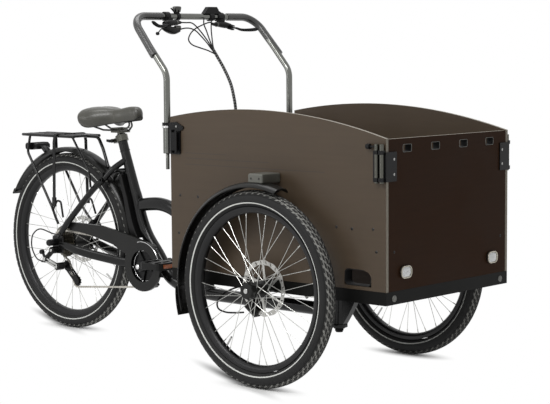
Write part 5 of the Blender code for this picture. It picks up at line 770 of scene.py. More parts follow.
def dress_rear_wheel():
    """Every piece of the rear wheel, with its hub motor and the cogs."""
    centre, radius, width, inner, _ = WHEELS["rear"]
    piece("rear_tread_and_wall", tyre_shapes(centre, radius, width), "rear_tyre", "rear_wheel", "tyre_rubber",
          "rear_tyre")
    piece("rear_box_rim", rim_shapes(centre, inner), "rim", "rear_wheel", "rim_anodised", "rear_rim",
          crease=50)
    shell = [(0.0064, -0.0335), (0.0160, -0.0335), (0.0180, -0.0325), (0.0560, -0.0318), (0.0600, -0.0305),
             (0.0600, -0.0262), (0.0572, -0.0245), (0.0560, -0.0205), (0.0563, 0.0000), (0.0560, 0.0330),
             (0.0572, 0.0370), (0.0600, 0.0385), (0.0600, 0.0438), (0.0570, 0.0452), (0.0300, 0.0490),
             (0.0225, 0.0520), (0.0220, 0.0605), (0.0064, 0.0610)]
    piece("motor_hub", [turn_profile(shell, centre, steps=96, closed=True)], "shell", "rear_wheel",
          "black_plastic", "rear_hub")
    wires, nipples = spoke_shapes(centre, 0.0580, (0.0412, -0.0282), inner, 40)
    piece("rear_spokes", wires + nipples, "spoke", "rear_wheel", "bright_steel")
    piece("rear_rotor", rotor_shapes(centre, 0.0575, 0.022), "rear_rotor", "rear_wheel", "bright_steel")
    piece("rear_valve", [valve_stem(centre, inner, -60)], "alloy", "rear_wheel", "bright_steel")
    cogs = [disc(0.0165, -0.0370, -0.0680, centre, steps=48)]
    for index, teeth in enumerate(COG_TEETH):
        middle = -0.0360 - 0.0048 * index
        reach = pitch_radius(teeth)
        spots = ring((0, AXLE_Z), 0.70 * reach, 6) if teeth > 20 else []
        holes = [ring(spot, 0.13 * reach, 12) for spot in spots]
        cogs.append(plate(teeth_outline(teeth, (0, AXLE_Z)), middle - 0.0009, middle + 0.0009, "Y", holes))
    piece("cog_stack", cogs, "cog", "cassette_body", "bright_steel", "cassette", crease=30)
    nut = disc(0.0115, -0.0683, -0.0700, centre, steps=24)
    piece("cog_lockring", [nut], "black_steel", "cassette_body", "black_steel")


# Drive

def pitch_radius(teeth):
    """Radius of the circle on which the chain's pins lie."""
    return CHAIN_PITCH / (2 * math.sin(math.pi / teeth))


def teeth_outline(teeth, centre, low=0.0044, high=0.0024, steps=8):
    """Round valleys and narrow tips: radius = pitch + high * raised cosine - low * the rest, per tooth."""
    angle = 2 * np.pi * np.arange(teeth * steps) / (teeth * steps)
    rise = (0.5 - 0.5 * np.cos(angle * teeth)) ** 1.6
    radius = pitch_radius(teeth) - low + (low + high) * rise
    return np.stack([centre[0] + radius * np.cos(angle), centre[1] + radius * np.sin(angle)], -1)


def chain_line():
    """Centre line of the chain: tangents between the wheels joined by arcs on them, as rows of (x, z)."""
    wheels = [(CRANK, pitch_radius(RING_TEETH), -1), (TENSION_PULLEY, pitch_radius(PULLEY_TEETH), -1),
              (GUIDE_PULLEY, pitch_radius(PULLEY_TEETH), 1),
              ((0.0, AXLE_Z), pitch_radius(COG_TEETH[CHAIN_COG]), -1)]
    runs, path = [], []
    for (a, ra, sa), (b, rb, sb) in zip(wheels, wheels[1:] + wheels[:1]):
        a, b = np.array(a), np.array(b)
        gap = b - a
        heading = math.atan2(gap[1], gap[0]) + math.asin((sa * ra - sb * rb) / np.hypot(*gap))
        right = np.array([math.sin(heading), -math.cos(heading)])
        runs.append((a + sa * ra * right, b + sb * rb * right))
    for index, (centre, radius, sense) in enumerate(wheels):
        arrive, leave = runs[index - 1][1], runs[index][0]
        first = math.atan2(arrive[1] - centre[1], arrive[0] - centre[0])
        last = math.atan2(leave[1] - centre[1], leave[0] - centre[0])
        swing = (last - first) % (2 * math.pi) if sense > 0 else -((first - last) % (2 * math.pi))
        path.append(ring(centre, radius, 60, math.degrees(first), math.degrees(first + swing) - 1e-6))
        path.append(np.linspace(leave, runs[index][1], 60)[1:-1])
    return np.vstack(path)


def chain_shapes():
    """Roller chain: pins a pitch apart along the line, narrow and wide pairs of waisted plates in turn."""
    line = chain_line()
    line = np.vstack([line, line[:1]])
    count = 2 * round(run_length(line)[-1] / CHAIN_PITCH / 2)
    pins, _ = spaced(line, count, endpoint=False)
    shapes = []
    for index, (a, b) in enumerate(zip(pins, np.roll(pins, -1, 0))):
        heading = math.degrees(math.atan2(b[1] - a[1], b[0] - a[0]))
        mid = (a + b) / 2
        across = np.array([-(b - a)[1], (b - a)[0]]) / np.linalg.norm(b - a)
        outline = np.vstack([ring(b, 0.0038, 5, heading - 75, heading + 75), [mid + across * 0.0027],
                             ring(a, 0.0038, 5, heading + 105, heading + 255), [mid - across * 0.0027]])
        for side in (-1, 1):
            near = CHAIN_Y + side * (0.0014 if index % 2 else 0.0022)
            shapes.append(plate(outline, near, near + side * 0.0007))
        shapes.append(pin(0.0018, CHAIN_Y - 0.0034, CHAIN_Y + 0.0034, a, steps=8, soft=0.0002))
    return shapes


def arm_shapes(tip_x, side, root_y):
    """Forged crank arm: a superellipse that narrows from the boss to the pedal's eye."""
    run = tip_x - CRANK[0]
    rows = curve([(CRANK[0], root_y, 0.0170, 0.0078),
                  (CRANK[0] + 0.30 * run, root_y + side * 0.002, 0.0138, 0.0066),
                  (CRANK[0] + 0.75 * run, root_y + side * 0.005, 0.0112, 0.0060),
                  (tip_x, root_y + side * 0.006, 0.0125, 0.0060)], 6)
    path = np.stack([rows[:, 0], rows[:, 1], np.full(len(rows), CRANK[1])], -1)
    arm = sweep(path, [oval(a, b, 24, 3.2) for a, b in rows[:, 2:]], side=(0, 1, 0))
    return [arm, pin(0.0135, root_y + side * 0.0003, root_y + side * 0.0120, (tip_x, CRANK[1]), steps=36)]


def dress_cranks():
    """Both crank arms, the toothed ring with its spider and bolts, pedals' axles, reflectors and studs."""
    centre = (CRANK[0], 0, CRANK[1])
    root_y = 0.075
    tip = CRANK[0] + CRANK_LENGTH
    toothed = plate(teeth_outline(RING_TEETH, CRANK), CHAIN_Y - 0.0009, CHAIN_Y + 0.0009, "Y",
                    [ring(CRANK, 0.0560, 64)])
    spider = [disc(0.0200, -root_y + 0.004, CHAIN_Y + 0.0015, centre, steps=40)]
    cover = disc(0.0556, CHAIN_Y + 0.0004, CHAIN_Y + 0.0024, centre, steps=64)
    bead = turn_profile(ring((0.0548, CHAIN_Y - 0.0012), 0.0011, 12), centre, steps=64, closed=True)
    bolts = [bead, disc(0.0088, -root_y - 0.0090, -root_y - 0.0060, centre),
             disc(0.0052, -root_y - 0.0100, -root_y - 0.0085, centre, steps=6)]
    edge = [(0.0100, 0.0105), (0.0400, 0.0060), (0.0625, 0.0060)]
    finger = np.array([(p, -q) for p, q in edge] + [(0.0650, 0)] + edge[::-1]) + CRANK
    for index in range(5):
        spider.append(spun(plate(finger, CHAIN_Y - 0.0058, CHAIN_Y - 0.0004), 72 * index + 36, centre))
        bolt = pin(0.0046, CHAIN_Y - 0.0072, CHAIN_Y - 0.0050, (CRANK[0] + 0.0585, CRANK[1]), steps=20)
        bolts.append(spun(bolt, 72 * index + 36, centre))
    spindle = disc(0.0090, -root_y, root_y + 0.001, centre)
    axle = pin(0.0060, -0.1645, -root_y - 0.004, (tip, CRANK[1]))
    right = arm_shapes(tip, -1, -root_y) + [toothed, cover, spindle, axle] + spider
    turned = [spun(s, -PEDAL_RISE_DEG, centre) for s in right]
    piece("right_arm_and_ring", turned, "black_steel", "crankset", "black_steel", "right_crank", edge=0.0006)
    piece("ring_bolts", [spun(s, -PEDAL_RISE_DEG, centre) for s in bolts], "chrome", "crankset",
          "bright_steel")
    back = CRANK[0] - CRANK_LENGTH
    left = arm_shapes(back, 1, root_y) + [disc(0.0170, root_y - 0.0070, root_y + 0.0075, centre, steps=40),
                                          pin(0.0060, root_y + 0.004, 0.1645, (back, CRANK[1]))]
    piece("left_arm", [spun(s, -PEDAL_RISE_DEG, centre) for s in left], "black_steel", "crankset",
          "black_steel", "left_crank")
    rise = math.radians(PEDAL_RISE_DEG)
    for side, name in SIDES:
        x = CRANK[0] - side * CRANK_LENGTH * math.cos(rise)
        z = CRANK[1] - side * CRANK_LENGTH * math.sin(rise)
        shapes = [plate(rounded(between(side, 0.112, 0.158), (z - 0.0068, z + 0.0068), 0.003),
                        *sorted((x + t * 0.0512, x + t * 0.0496)), "X") for t in (-1, 1)]
        piece(name + "_pedal_reflectors", shapes, "orange", name + "_pedal_body", "red_lens")
        studs = [disc(0.0016, z + t * 0.0128, z + t * 0.0100, (x + p, side * q, 0), "Z", 8, 0.0003)
                 for t in (-1, 1) for p in (-0.043, 0.043) for q in (0.096, 0.113, 0.134, 0.155, 0.172)]
        piece(name + "_pedal_studs", studs, "plastic", name + "_pedal_body", "black_plastic")


def round_ended(a, b, radius, count, heading):
    """Outline of a bar from a to b whose ends are half circles; heading points square to it, in degrees."""
    return np.vstack([ring(a, radius, count, heading, heading + 180),
                      ring(b, radius, count, heading + 180, heading + 360)])


def dress_derailleur():
    """Derailleur: hanger knuckle, bright body links, knuckle at the cage, cage plates and toothed wheels."""
    upper, elbow, lower = (-0.0020, 0.3030), (-0.0430, 0.2670), GUIDE_PULLEY
    dark = [pin(0.0132, -0.1020, -0.0785, upper, steps=36, soft=0.0015),
            pin(0.0100, -0.1030, -0.0845, elbow, steps=32, soft=0.0015),
            pin(0.0140, -0.0972, -0.0640, lower, steps=36, soft=0.0015),
            pin(0.0088, -0.1040, -0.0905, (-0.0600, 0.2930), steps=24, soft=0.001),
            sweep([(upper[0], -0.0915, upper[1]), (elbow[0], -0.0933, elbow[1])],
                  oval(0.0090, 0.0070, 20, 3)),
            sweep([(elbow[0], -0.0943, elbow[1]), (-0.0600, -0.0950, 0.2930)], oval(0.0048, 0.0045, 16, 3)),
            disc(0.0042, -0.0660, elbow[0], (0, -0.0943, 0.2565), "X", 20)]
    piece("derailleur_knuckles", dark, "plastic", "rear_frame", "black_plastic", "rear_derailleur")
    bright = [sweep([(elbow[0] - 0.004, -0.0945, elbow[1] + s * 0.0062),
                     (lower[0] + 0.002, -0.0925, lower[1] + s * 0.0062)], oval(0.0040, 0.0052, 16, 3.5))
              for s in (-1, 1)]
    bright += [pin(0.0078, -0.1042, -0.1020, elbow, steps=28),
               pin(0.0060, -0.1040, -0.1010, upper, steps=6),
               pin(0.0052, -0.0995, -0.0965, lower, steps=6)]
    piece("derailleur_links", bright, "alloy", "rear_frame", "bright_steel")
    guide, tension = np.array(GUIDE_PULLEY), np.array(TENSION_PULLEY)
    run = (tension - guide) / np.linalg.norm(tension - guide)
    heading = math.degrees(math.atan2(run[0], -run[1]))
    outline = round_ended(guide, tension, 0.0125, 12, heading)
    window = round_ended(guide + run * 0.030, tension - run * 0.030, 0.0050, 8, heading)
    cage = [plate(outline, CHAIN_Y + low, CHAIN_Y + low + 0.0018, "Y", [window]) for low in (-0.0062, 0.0044)]
    cage += [pin(0.0030, CHAIN_Y - 0.0072, CHAIN_Y + 0.0068, p, steps=16) for p in (guide, tension)]
    cage.append(pin(0.0100, CHAIN_Y - 0.0180, CHAIN_Y - 0.0050, guide, steps=32))
    piece("cage_plates", cage, "black_steel", "cage", "black_steel", "derailleur_cage", crease=30)
    for name, place, body in (("guide", guide, "guide_wheel"), ("tension", tension, "tension_wheel")):
        wheel = [plate(teeth_outline(PULLEY_TEETH, place, 0.0050, -0.0015, 10), CHAIN_Y - 0.0010,
                       CHAIN_Y + 0.0010),
                 pin(0.0075, CHAIN_Y - 0.0032, CHAIN_Y + 0.0032, place, steps=24)]
        piece(name + "_toothed_wheel", wheel, "plastic", body, "black_plastic", name + "_pulley")


# Frame

def seat_point(height):
    """Point on the seat's axis, measured up from the tube's top."""
    return SEAT_TOP + SEAT_AXIS * height


def middle_tube(rows, power=2.3, count=28):
    """Tube in the middle plane from rows of (x, z, half height, half width)."""
    rows = np.asarray(rows)
    path = np.stack([rows[:, 0], 0 * rows[:, 0], rows[:, 1]], -1)
    return sweep(path, [oval(a, b, count, power) for a, b in rows[:, 2:]], side=(0, 1, 0))


def spine_rows():
    """Seat tube that sweeps forward over the crank into the long lower tube."""
    head, neck = seat_point(0.004), seat_point(-0.055)
    rows = curve([(head[0], head[2], 0.0160, 0.0160), (neck[0], neck[2], 0.0164, 0.0164),
                  (0.3520, 0.5560, 0.0185, 0.0185), (0.3680, 0.5150, 0.0195, 0.0190),
                  (0.3930, 0.4370, 0.0205, 0.0200), (0.4230, 0.3780, 0.0220, 0.0205),
                  (0.4700, 0.3210, 0.0240, 0.0210), (0.5100, 0.2700, 0.0250, 0.0215),
                  (0.5450, 0.2370, 0.0245, 0.0215), (0.6000, 0.2140, 0.0235, 0.0212),
                  (0.6600, 0.2030, 0.0225, 0.0210), (0.7600, 0.1960, 0.0225, 0.0210)], 6)
    front = curve([(STEER_X - 0.100, 0.196, 0.0225, 0.0210), (STEER_X - 0.060, 0.196, 0.0305, 0.0220),
                   (STEER_X, 0.196, 0.0425, 0.0230)], 5)
    return np.vstack([rows, front])


def stay_shape(points, side, power=2.6):
    """One oval stay from rows of (x, y, z, half height, half width)."""
    rows = curve([(x, side * y, z, a, b) for x, y, z, a, b in points], 6)
    return sweep(rows[:, :3], [oval(a, b, 20, power) for a, b in rows[:, 3:]], side=(0, 1, 0))


def weld(centre, axis_a, axis_b, a, b):
    """Weld bead: a thin ripple on an oval line round a joint, radius 1.6 mm + 0.35 mm * sin(ripples)."""
    angle = 2 * np.pi * np.arange(96) / 96
    line = (np.asarray(centre) + a * np.cos(angle)[:, None] * np.asarray(axis_a)
            + b * np.sin(angle)[:, None] * np.asarray(axis_b))
    swell = 0.0016 + 0.00035 * np.sin(24 * angle)
    return sweep(line, [oval(r, r, 8) for r in swell], closed=True)


def dress_frame():
    """Smooth tubes, plates, bosses, caliper and weld beads of the rear frame."""
    arch = curve([(0.372, 0.487, 0.022, 0.018), (0.430, 0.4965, 0.024, 0.020), (0.498, 0.4985, 0.024, 0.020),
                  (0.565, 0.4805, 0.024, 0.020), (0.630, 0.4345, 0.024, 0.020),
                  (0.683, 0.3625, 0.0235, 0.0195), (0.717, 0.2725, 0.0235, 0.0190),
                  (0.730, 0.1960, 0.0235, 0.0190)], 8)
    thin, deep = (0.0105, 0.0105), (0.0170, 0.0068)
    tubes = [middle_tube(spine_rows()), middle_tube(arch),
             tube([seat_point(-0.062), seat_point(-0.058), seat_point(-0.0005)], 0.0176, 40),
             tube([np.array(CROSS_BAR) + (0, y, 0) for y in (-0.043, 0.043)], 0.0085, 24)]
    plates = []
    for side in (-1, 1):
        tubes.append(stay_shape([(0.013, 0.0745, 0.352, 0.0090, 0.0050), (0.052, 0.0750, 0.397, *thin),
                                 (0.125, 0.0705, 0.469, *thin), (0.195, 0.0660, 0.536, *thin),
                                 (0.247, 0.0560, 0.580, *thin), (0.275, 0.0430, 0.611, *thin),
                                 (0.292, 0.0330, 0.628, *thin), (0.318, 0.0100, 0.652, *thin)], side))
        tubes.append(stay_shape([(0.018, 0.0745, 0.327, 0.0110, 0.0048),
                                 (0.060, 0.0720, 0.320, 0.0140, 0.0058),
                                 (0.105, 0.0675, 0.310, 0.0160, 0.0066), (0.160, 0.0570, 0.2995, *deep),
                                 (0.250, 0.0445, 0.288, *deep), (0.330, 0.0350, 0.280, *deep),
                                 (0.455, 0.0150, 0.2765, *deep)], side))
        limits = between(side, 0.0712, 0.0778)
        plates.append(plate(rounded((-0.020, 0.036), (0.291, 0.359), 0.012), *limits, "Y",
                            [ring((0.0, AXLE_Z), 0.0066, 24)]))
        plates.append(block((0.239, 0.255), between(side, 0.048, 0.066), (0.588, 0.606)))
    shell = turn_profile([(0.0185, -0.0340), (0.0210, -0.0340), (0.0215, -0.0335), (0.0215, 0.0335),
                          (0.0210, 0.0340), (0.0185, 0.0340)], (CRANK[0], 0, CRANK[1]), steps=64)
    head = turn_profile([(0.0130, 0.1440), (0.0265, 0.1440), (0.0275, 0.1450), (0.0275, 0.1550),
                         (0.0250, 0.1570), (0.0250, 0.2510), (0.0275, 0.2530), (0.0275, 0.2630),
                         (0.0265, 0.2640), (0.0130, 0.2640)], (STEER_X, 0, 0), "Z", 64, closed=True)
    web = plate([(0.434, 0.287), (0.456, 0.256), (0.500, 0.236), (0.530, 0.236), (0.510, 0.270),
                 (0.470, 0.321), (0.432, 0.358)], -0.017, 0.017)
    gusset = plate([(STEER_X, 0.146), (1.347, 0.146), (1.377, 0.190), (1.398, 0.225), (1.412, 0.252),
                    (STEER_X, 0.252)], -0.012, 0.012)
    turn = math.radians(38)
    middle = ROTOR_RADIUS - 0.008
    at = (middle * math.cos(turn), 0.0575, AXLE_Z + middle * math.sin(turn))
    halves = [block((at[0] - 0.024, at[0] + 0.024), y, (at[2] - 0.016, at[2] + 0.016))
              for y in ((0.0465, 0.0558), (0.0592, 0.0815))]
    roof = block((at[0] - 0.024, at[0] + 0.024), (0.0550, 0.0600), (at[2] + 0.0108, at[2] + 0.016))
    caliper = [spun(s, 90 - math.degrees(turn), at) for s in halves + [roof]]
    caliper.append(block((0.050, 0.085), (0.0625, 0.0750), (0.353, 0.367)))
    for side in (-1, 1):
        tubes.append(turn_profile([(0.0052, side * 0.0600), (0.0088, side * 0.0600), (0.0088, side * 0.0735),
                                   (0.0052, side * 0.0735)], (0.2500, 0, 0.5790), steps=28, closed=True))
    beads = [weld(seat_point(-0.060), (0, 1, 0), np.cross(SEAT_AXIS, (0, 1, 0)), 0.0172, 0.0172),
             weld((0.7300, 0, 0.2180), (1, 0, 0), (0, 1, 0), 0.0250, 0.0205),
             weld((0.3900, 0, 0.4920), (0, 1, 0), (0, 0, 1), 0.0195, 0.0235)]
    piece("frame_tubes", tubes + [head, shell] + beads, "powder", "rear_frame", "frame_paint", "main_frame",
          crease=45)
    piece("frame_plates", plates + [web, gusset], "powder", "rear_frame", "frame_paint", edge=0.0012)
    piece("rear_caliper", caliper, "black_steel", "rear_frame", "black_steel", edge=0.0015)


def dress_battery():
    """Slim battery case, front edge = rear edge of the seat tube in side view, with its lock."""
    rows = spine_rows()
    path = np.stack([rows[:, 0], 0 * rows[:, 0], rows[:, 1]], -1)
    first, _ = normals(path, (0, 1, 0), False)
    # the normals that point to the rear
    rear = first if first[6][0] < 0 else -first
    front = path + rear * (rows[:, 2:3] * 0.985)
    order = np.argsort(front[:, 2])
    z = np.linspace(0.372, 0.600, 40)
    inner = np.interp(z, front[order, 2], front[order, 0]) - 0.0003
    depth = np.interp(z, (0.372, 0.600), (0.0330, 0.0135))
    outline = np.vstack([np.stack([inner, z], -1), np.stack([inner - depth, z], -1)[::-1]])
    case = plate(outline, -0.033, 0.033)
    piece("battery_case", [case, block((0.2885, 0.3100), (-0.0160, 0.0160), (0.566, 0.612))], "plastic",
          "rear_frame", "black_plastic", "battery", edge=0.0035)
    piece("battery_lock", [pin(0.0070, -0.0222, -0.0150, (0.2985, 0.5930))], "chrome", "rear_frame",
          "bright_steel")


# Seat

def saddle_half(share):
    """Half width along the saddle: slim nose, flare, round tail; all smooth steps of the share."""
    flare = 1 / (1 + np.exp(-(share - 0.56) * 13))
    body = 0.021 + 0.010 * share + 0.069 * flare
    nose = np.sqrt(np.clip(1 - np.clip(1 - share / 0.07, 0, 1) ** 2, 0, 1))
    tail = np.sqrt(np.clip(1 - np.clip((share - 0.86) / 0.145, 0, 1) ** 2.4, 0, 1))
    return body * np.maximum(nose, 0.24) * np.maximum(tail, 0.24)


def dress_seat():
    """Padded saddle from a side view, a half width and a rounded section, with its edge trim, tray and
    steel rails, and the post with its head."""
    share = 0.5 - 0.5 * np.cos(np.pi * np.linspace(0, 1, 61))
    x, half = 0.394 - 0.264 * share, saddle_half(share)
    side_view = curve([(0.00, 0.8440, 0.8040), (0.08, 0.8475, 0.7980), (0.20, 0.8480, 0.7945),
                       (0.38, 0.8400, 0.7880), (0.50, 0.8400, 0.7830), (0.64, 0.8445, 0.7745),
                       (0.78, 0.8460, 0.7710), (0.88, 0.8430, 0.7780), (0.95, 0.8380, 0.7920),
                       (1.00, 0.8300, 0.8040)], 8)
    top, bottom = (np.interp(share, side_view[:, 0], side_view[:, k]) for k in (1, 2))
    blunt = np.sqrt(np.clip(1 - np.clip(1 - share / 0.085, 0, 1) ** 2, 0, 1))
    blunt = np.minimum(blunt, np.sqrt(np.clip(1 - np.clip((share - 0.93) / 0.072, 0, 1) ** 2, 0, 1)))
    blunt = 0.16 + 0.84 * blunt
    middle, thick = 0.42 * top + 0.58 * bottom, (top - bottom) * blunt
    top, bottom = middle + 0.58 * thick, middle - 0.42 * thick
    inner = bottom + 0.22 * thick
    dip = 0.0030 * np.sin(np.pi * share) ** 2
    across = [(0.0, top - dip), (0.20, top - 0.5 * dip), (0.46, top - 0.03 * thick),
              (0.74, top - 0.13 * thick), (0.93, top - 0.34 * thick), (1.0, top - 0.58 * thick),
              (0.96, bottom + 0.16 * thick), (0.87, bottom + 0.02 * thick), (0.80, bottom), (0.62, inner),
              (0.0, inner)]
    ys = np.array([w for w, _ in across])[:, None] * half
    zs = np.array([z for _, z in across])
    right = np.stack([ys, zs], -1)
    left = right[1:-1][::-1] * (-1, 1)
    loop = np.concatenate([right, left])
    t = (np.arange(4) / 4)[None, :, None, None]
    a, b, c, d = (np.roll(loop, 2 - k, axis=0)[:, None] for k in range(4))
    fine = through(a, b, c, d, t).reshape(-1, len(share), 2).transpose(1, 0, 2)
    rings = np.concatenate([np.broadcast_to(x[:, None, None], fine.shape[:2] + (1,)), fine], -1)
    cover = piece("saddle_padding", [skin(rings)], "skin", "seat", "saddle_skin", "saddle_cover", crease=60)
    edges = [np.stack([x, side * half * 0.84, bottom + 0.0004], -1)[3:58] for side in (-1, 1)]
    line = np.vstack([edges[0], edges[1][::-1]])
    piece("saddle_edge_trim", [tube(line, 0.0018, 8, closed=True)], "rubber", "seat", "saddle_skin")
    span = slice(16, 55)
    side, up = np.array([(-1, -1), (1, -1), (1, 0.1), (-1, 0.1)]).T
    rows = np.stack([np.broadcast_to(x[:, None], (len(x), 4)), 0.58 * half[:, None] * side,
                     inner[:, None] - 0.0040 + up * 0.0028], -1)[span]
    piece("saddle_tray", [skin(rows)], "plastic", "seat", "black_plastic", "saddle_base")
    rails = []
    for side in (-1, 1):
        path = bent([(0.3330, side * 0.004, 0.8000), (0.3400, side * 0.007, 0.7780),
                     (0.3180, side * 0.0120, 0.7600), (0.2960, side * 0.0215, 0.7600),
                     (0.2150, side * 0.022, 0.7600), (0.1600, side * 0.036, 0.7760)], 0.010, 6)
        rails.append(tube(path, 0.0035, 16))
    piece("saddle_rails", rails, "dark_chrome", "seat", "black_steel")
    head = seat_point(0.0130)
    post = [tube([seat_point(-0.150), head], 0.0125, 40),
            block((head[0] - 0.020, head[0] + 0.022), (-0.029, 0.029), (0.7517, 0.7587)),
            block((head[0] - 0.014, head[0] + 0.016), (-0.014, 0.014), (0.7537, 0.7682)),
            block((head[0] - 0.018, head[0] + 0.020), (-0.029, 0.029), (0.7663, 0.7703))]
    piece("post_and_head", post, "dark_steel_tube", "seat", "black_steel", "seatpost", edge=0.0008)


# Guards, rack

def guard_shape(radius, centre, start_deg, end_deg, count=90):
    """Mudguard: its section falls by 12 mm * |u|^4 + 2 mm * u^2 from the crown to its edges, u from -1 to 1,
    and is carried round the axle."""
    half, wall = 0.0335, 0.0025
    u = np.linspace(-1, 1, 25)
    drop = -0.0120 * np.abs(u) ** 4 - 0.0020 * u ** 2
    outer = np.stack([radius + drop, u * half], -1)
    inner = np.stack([radius + drop - wall, u * (half - wall)], -1)[::-1]
    section = np.vstack([outer, inner])
    angle = np.radians(np.linspace(start_deg, end_deg, count))
    rings = np.stack([section[None, :, 0] * np.cos(angle)[:, None],
                      np.broadcast_to(section[:, 1], (count, len(section))),
                      section[None, :, 0] * np.sin(angle)[:, None]], -1)
    return skin(rings + np.asarray(centre))


def dress_guards():
    """Mudguards with flap, stub, arms and the small screws that hold them."""
    centre = np.array(WHEELS["rear"][0])
    turn = math.radians(150)
    tip = (REAR_GUARD_RADIUS * math.cos(turn), AXLE_Z + REAR_GUARD_RADIUS * math.sin(turn))
    flap = plate([(tip[0] + 0.003, tip[1] + 0.006), (tip[0] - 0.001, tip[1] + 0.004),
                  (tip[0] - 0.0105, tip[1] - 0.013), (tip[0] - 0.0075, tip[1] - 0.016),
                  (tip[0] + 0.0045, tip[1] - 0.003)], -0.024, 0.024)
    reach = np.array(CROSS_BAR) - centre
    foot = reach / np.linalg.norm(reach)
    stub = tube([centre + foot * 0.3522, centre + foot * (np.linalg.norm(reach) - 0.0088)], 0.0060, 20)
    piece("rear_guard_arch", [guard_shape(REAR_GUARD_RADIUS, centre, 3, 150), flap, stub], "shell",
          "rear_frame", "black_plastic", "rear_mudguard")
    for side, name in SIDES:
        centre = WHEELS[name + "_front"][0]
        arm = block((1.2960, 1.3570), between(side, 0.4000, 0.3146), (0.643, 0.673))
        # the lower end flares out into a lip
        turn = np.radians(np.linspace(183, 199, 12))
        lip = 0.3300 + 0.0085 * np.linspace(0, 1, 12) ** 0.6
        out = lip[:, None] - (0.0, 0.0, 0.003, 0.003)
        rows = np.stack([out * np.cos(turn)[:, None],
                         np.broadcast_to((-0.0345, 0.0345, 0.0345, -0.0345), out.shape),
                         out * np.sin(turn)[:, None]], -1) + centre
        piece(name + "_guard_arch", [guard_shape(FRONT_GUARD_RADIUS, centre, 72, 197), skin(rows)], "shell",
              "cargo_box", "black_plastic", name + "_mudguard")
        piece(name + "_guard_arm", [arm], "arm", "cargo_box", "black_plastic", edge=0.005)
        screws = [pin(0.0040, side * 0.3990, side * 0.4004, (x, 0.658), steps=20)
                  for x in (1.310, 1.343)]
        piece(name + "_guard_screws", screws, "black_screw", "cargo_box", "bright_steel")


def dress_rack():
    """Rack of bent steel rod: rails, cross bars, stays, middle bow, and the lamp on its tongue."""
    z, r = 0.7330, 0.0056
    shapes = [sweep([(-0.1760, 0, 0.6900), (-0.1500, 0, 0.6830), (-0.1290, 0, 0.6650)],
                    oval(0.0050, 0.0180, 16, 4), side=(0, 1, 0))]
    for x in (-0.203, -0.120, 0.020, 0.092):
        shapes.append(tube([(x, -0.062, z), (x, 0.062, z)], r * 0.85, 16))
    for y in (-0.022, 0.022):
        shapes.append(tube([(-0.203, y, z + 0.001), (0.092, y, z + 0.001)], r * 0.8, 16))
    bow = [(0.020, 0.010, z), (0.150, 0.010, z - 0.002), (0.178, 0.008, 0.688), (0.2140, 0.0, 0.6210)]
    shapes.append(tube(bent(bow, 0.030), r * 1.1, 18))
    for side in (-1, 1):
        rail = [(-0.203, side * 0.058, z), (-0.175, side * 0.062, z), (0.098, side * 0.063, z - 0.001)]
        rear = [(-0.155, side * 0.064, z - 0.001), (-0.162, side * 0.072, 0.668),
                (-0.026, side * 0.072, 0.464), (0.0030, side * 0.079, 0.4250), (0.0200, side * 0.082, 0.4050)]
        arch = [(-0.018, side * 0.072, 0.456), (0.004, side * 0.072, 0.490), (0.030, side * 0.076, 0.488),
                (0.048, side * 0.0815, 0.430)]
        shapes += [tube(bent(rail, 0.024), r, 18), tube(bent(rear, 0.030), r * 0.88, 18),
                   tube(bent(arch, 0.014), r * 0.7, 16)]
    front = [(0.088, -0.064, z - 0.001), (0.196, -0.079, 0.610), (0.204, -0.080, 0.550)]
    shapes.append(tube(bent(front, 0.020), r * 0.75, 16))
    piece("rack_rods", shapes, "powder", "rear_frame", "frame_paint", "luggage_rack", crease=50)
    lens = plate(rounded((-0.044, 0.044), (0.6770, 0.6960), 0.008), -0.2040, -0.2020, "X")
    body = [plate(rounded((-0.050, 0.050), (0.6730, 0.7000), 0.010), -0.2027, -0.1800, "X"),
            plate(rounded((-0.034, 0.034), (0.6760, 0.6970), 0.008), -0.1800, -0.1560, "X")]
    piece("tail_lamp_body", body, "plastic", "rear_frame", "black_plastic", "tail_light", edge=0.002)
    piece("tail_lamp_lens", [lens], "red", "rear_frame", "red_lens")


# Cargo box

def screw(centre, axis, sign, radius=0.0055):
    """Pan-head screw: a low dome, height = 1.8 mm * (1 - (r / R)^2), with a round socket."""
    rise, rim, socket = sign * 0.0018, 0.42, radius * 0.40
    dome = [(radius * s, rise * (1 - s ** 2)) for s in np.linspace(1, rim, 6)]
    profile = [(radius, 0)] + dome + [(socket, rise * (1 - rim ** 2)), (socket, sign * 0.0004)]
    return turn_profile(profile, centre, axis, 24)


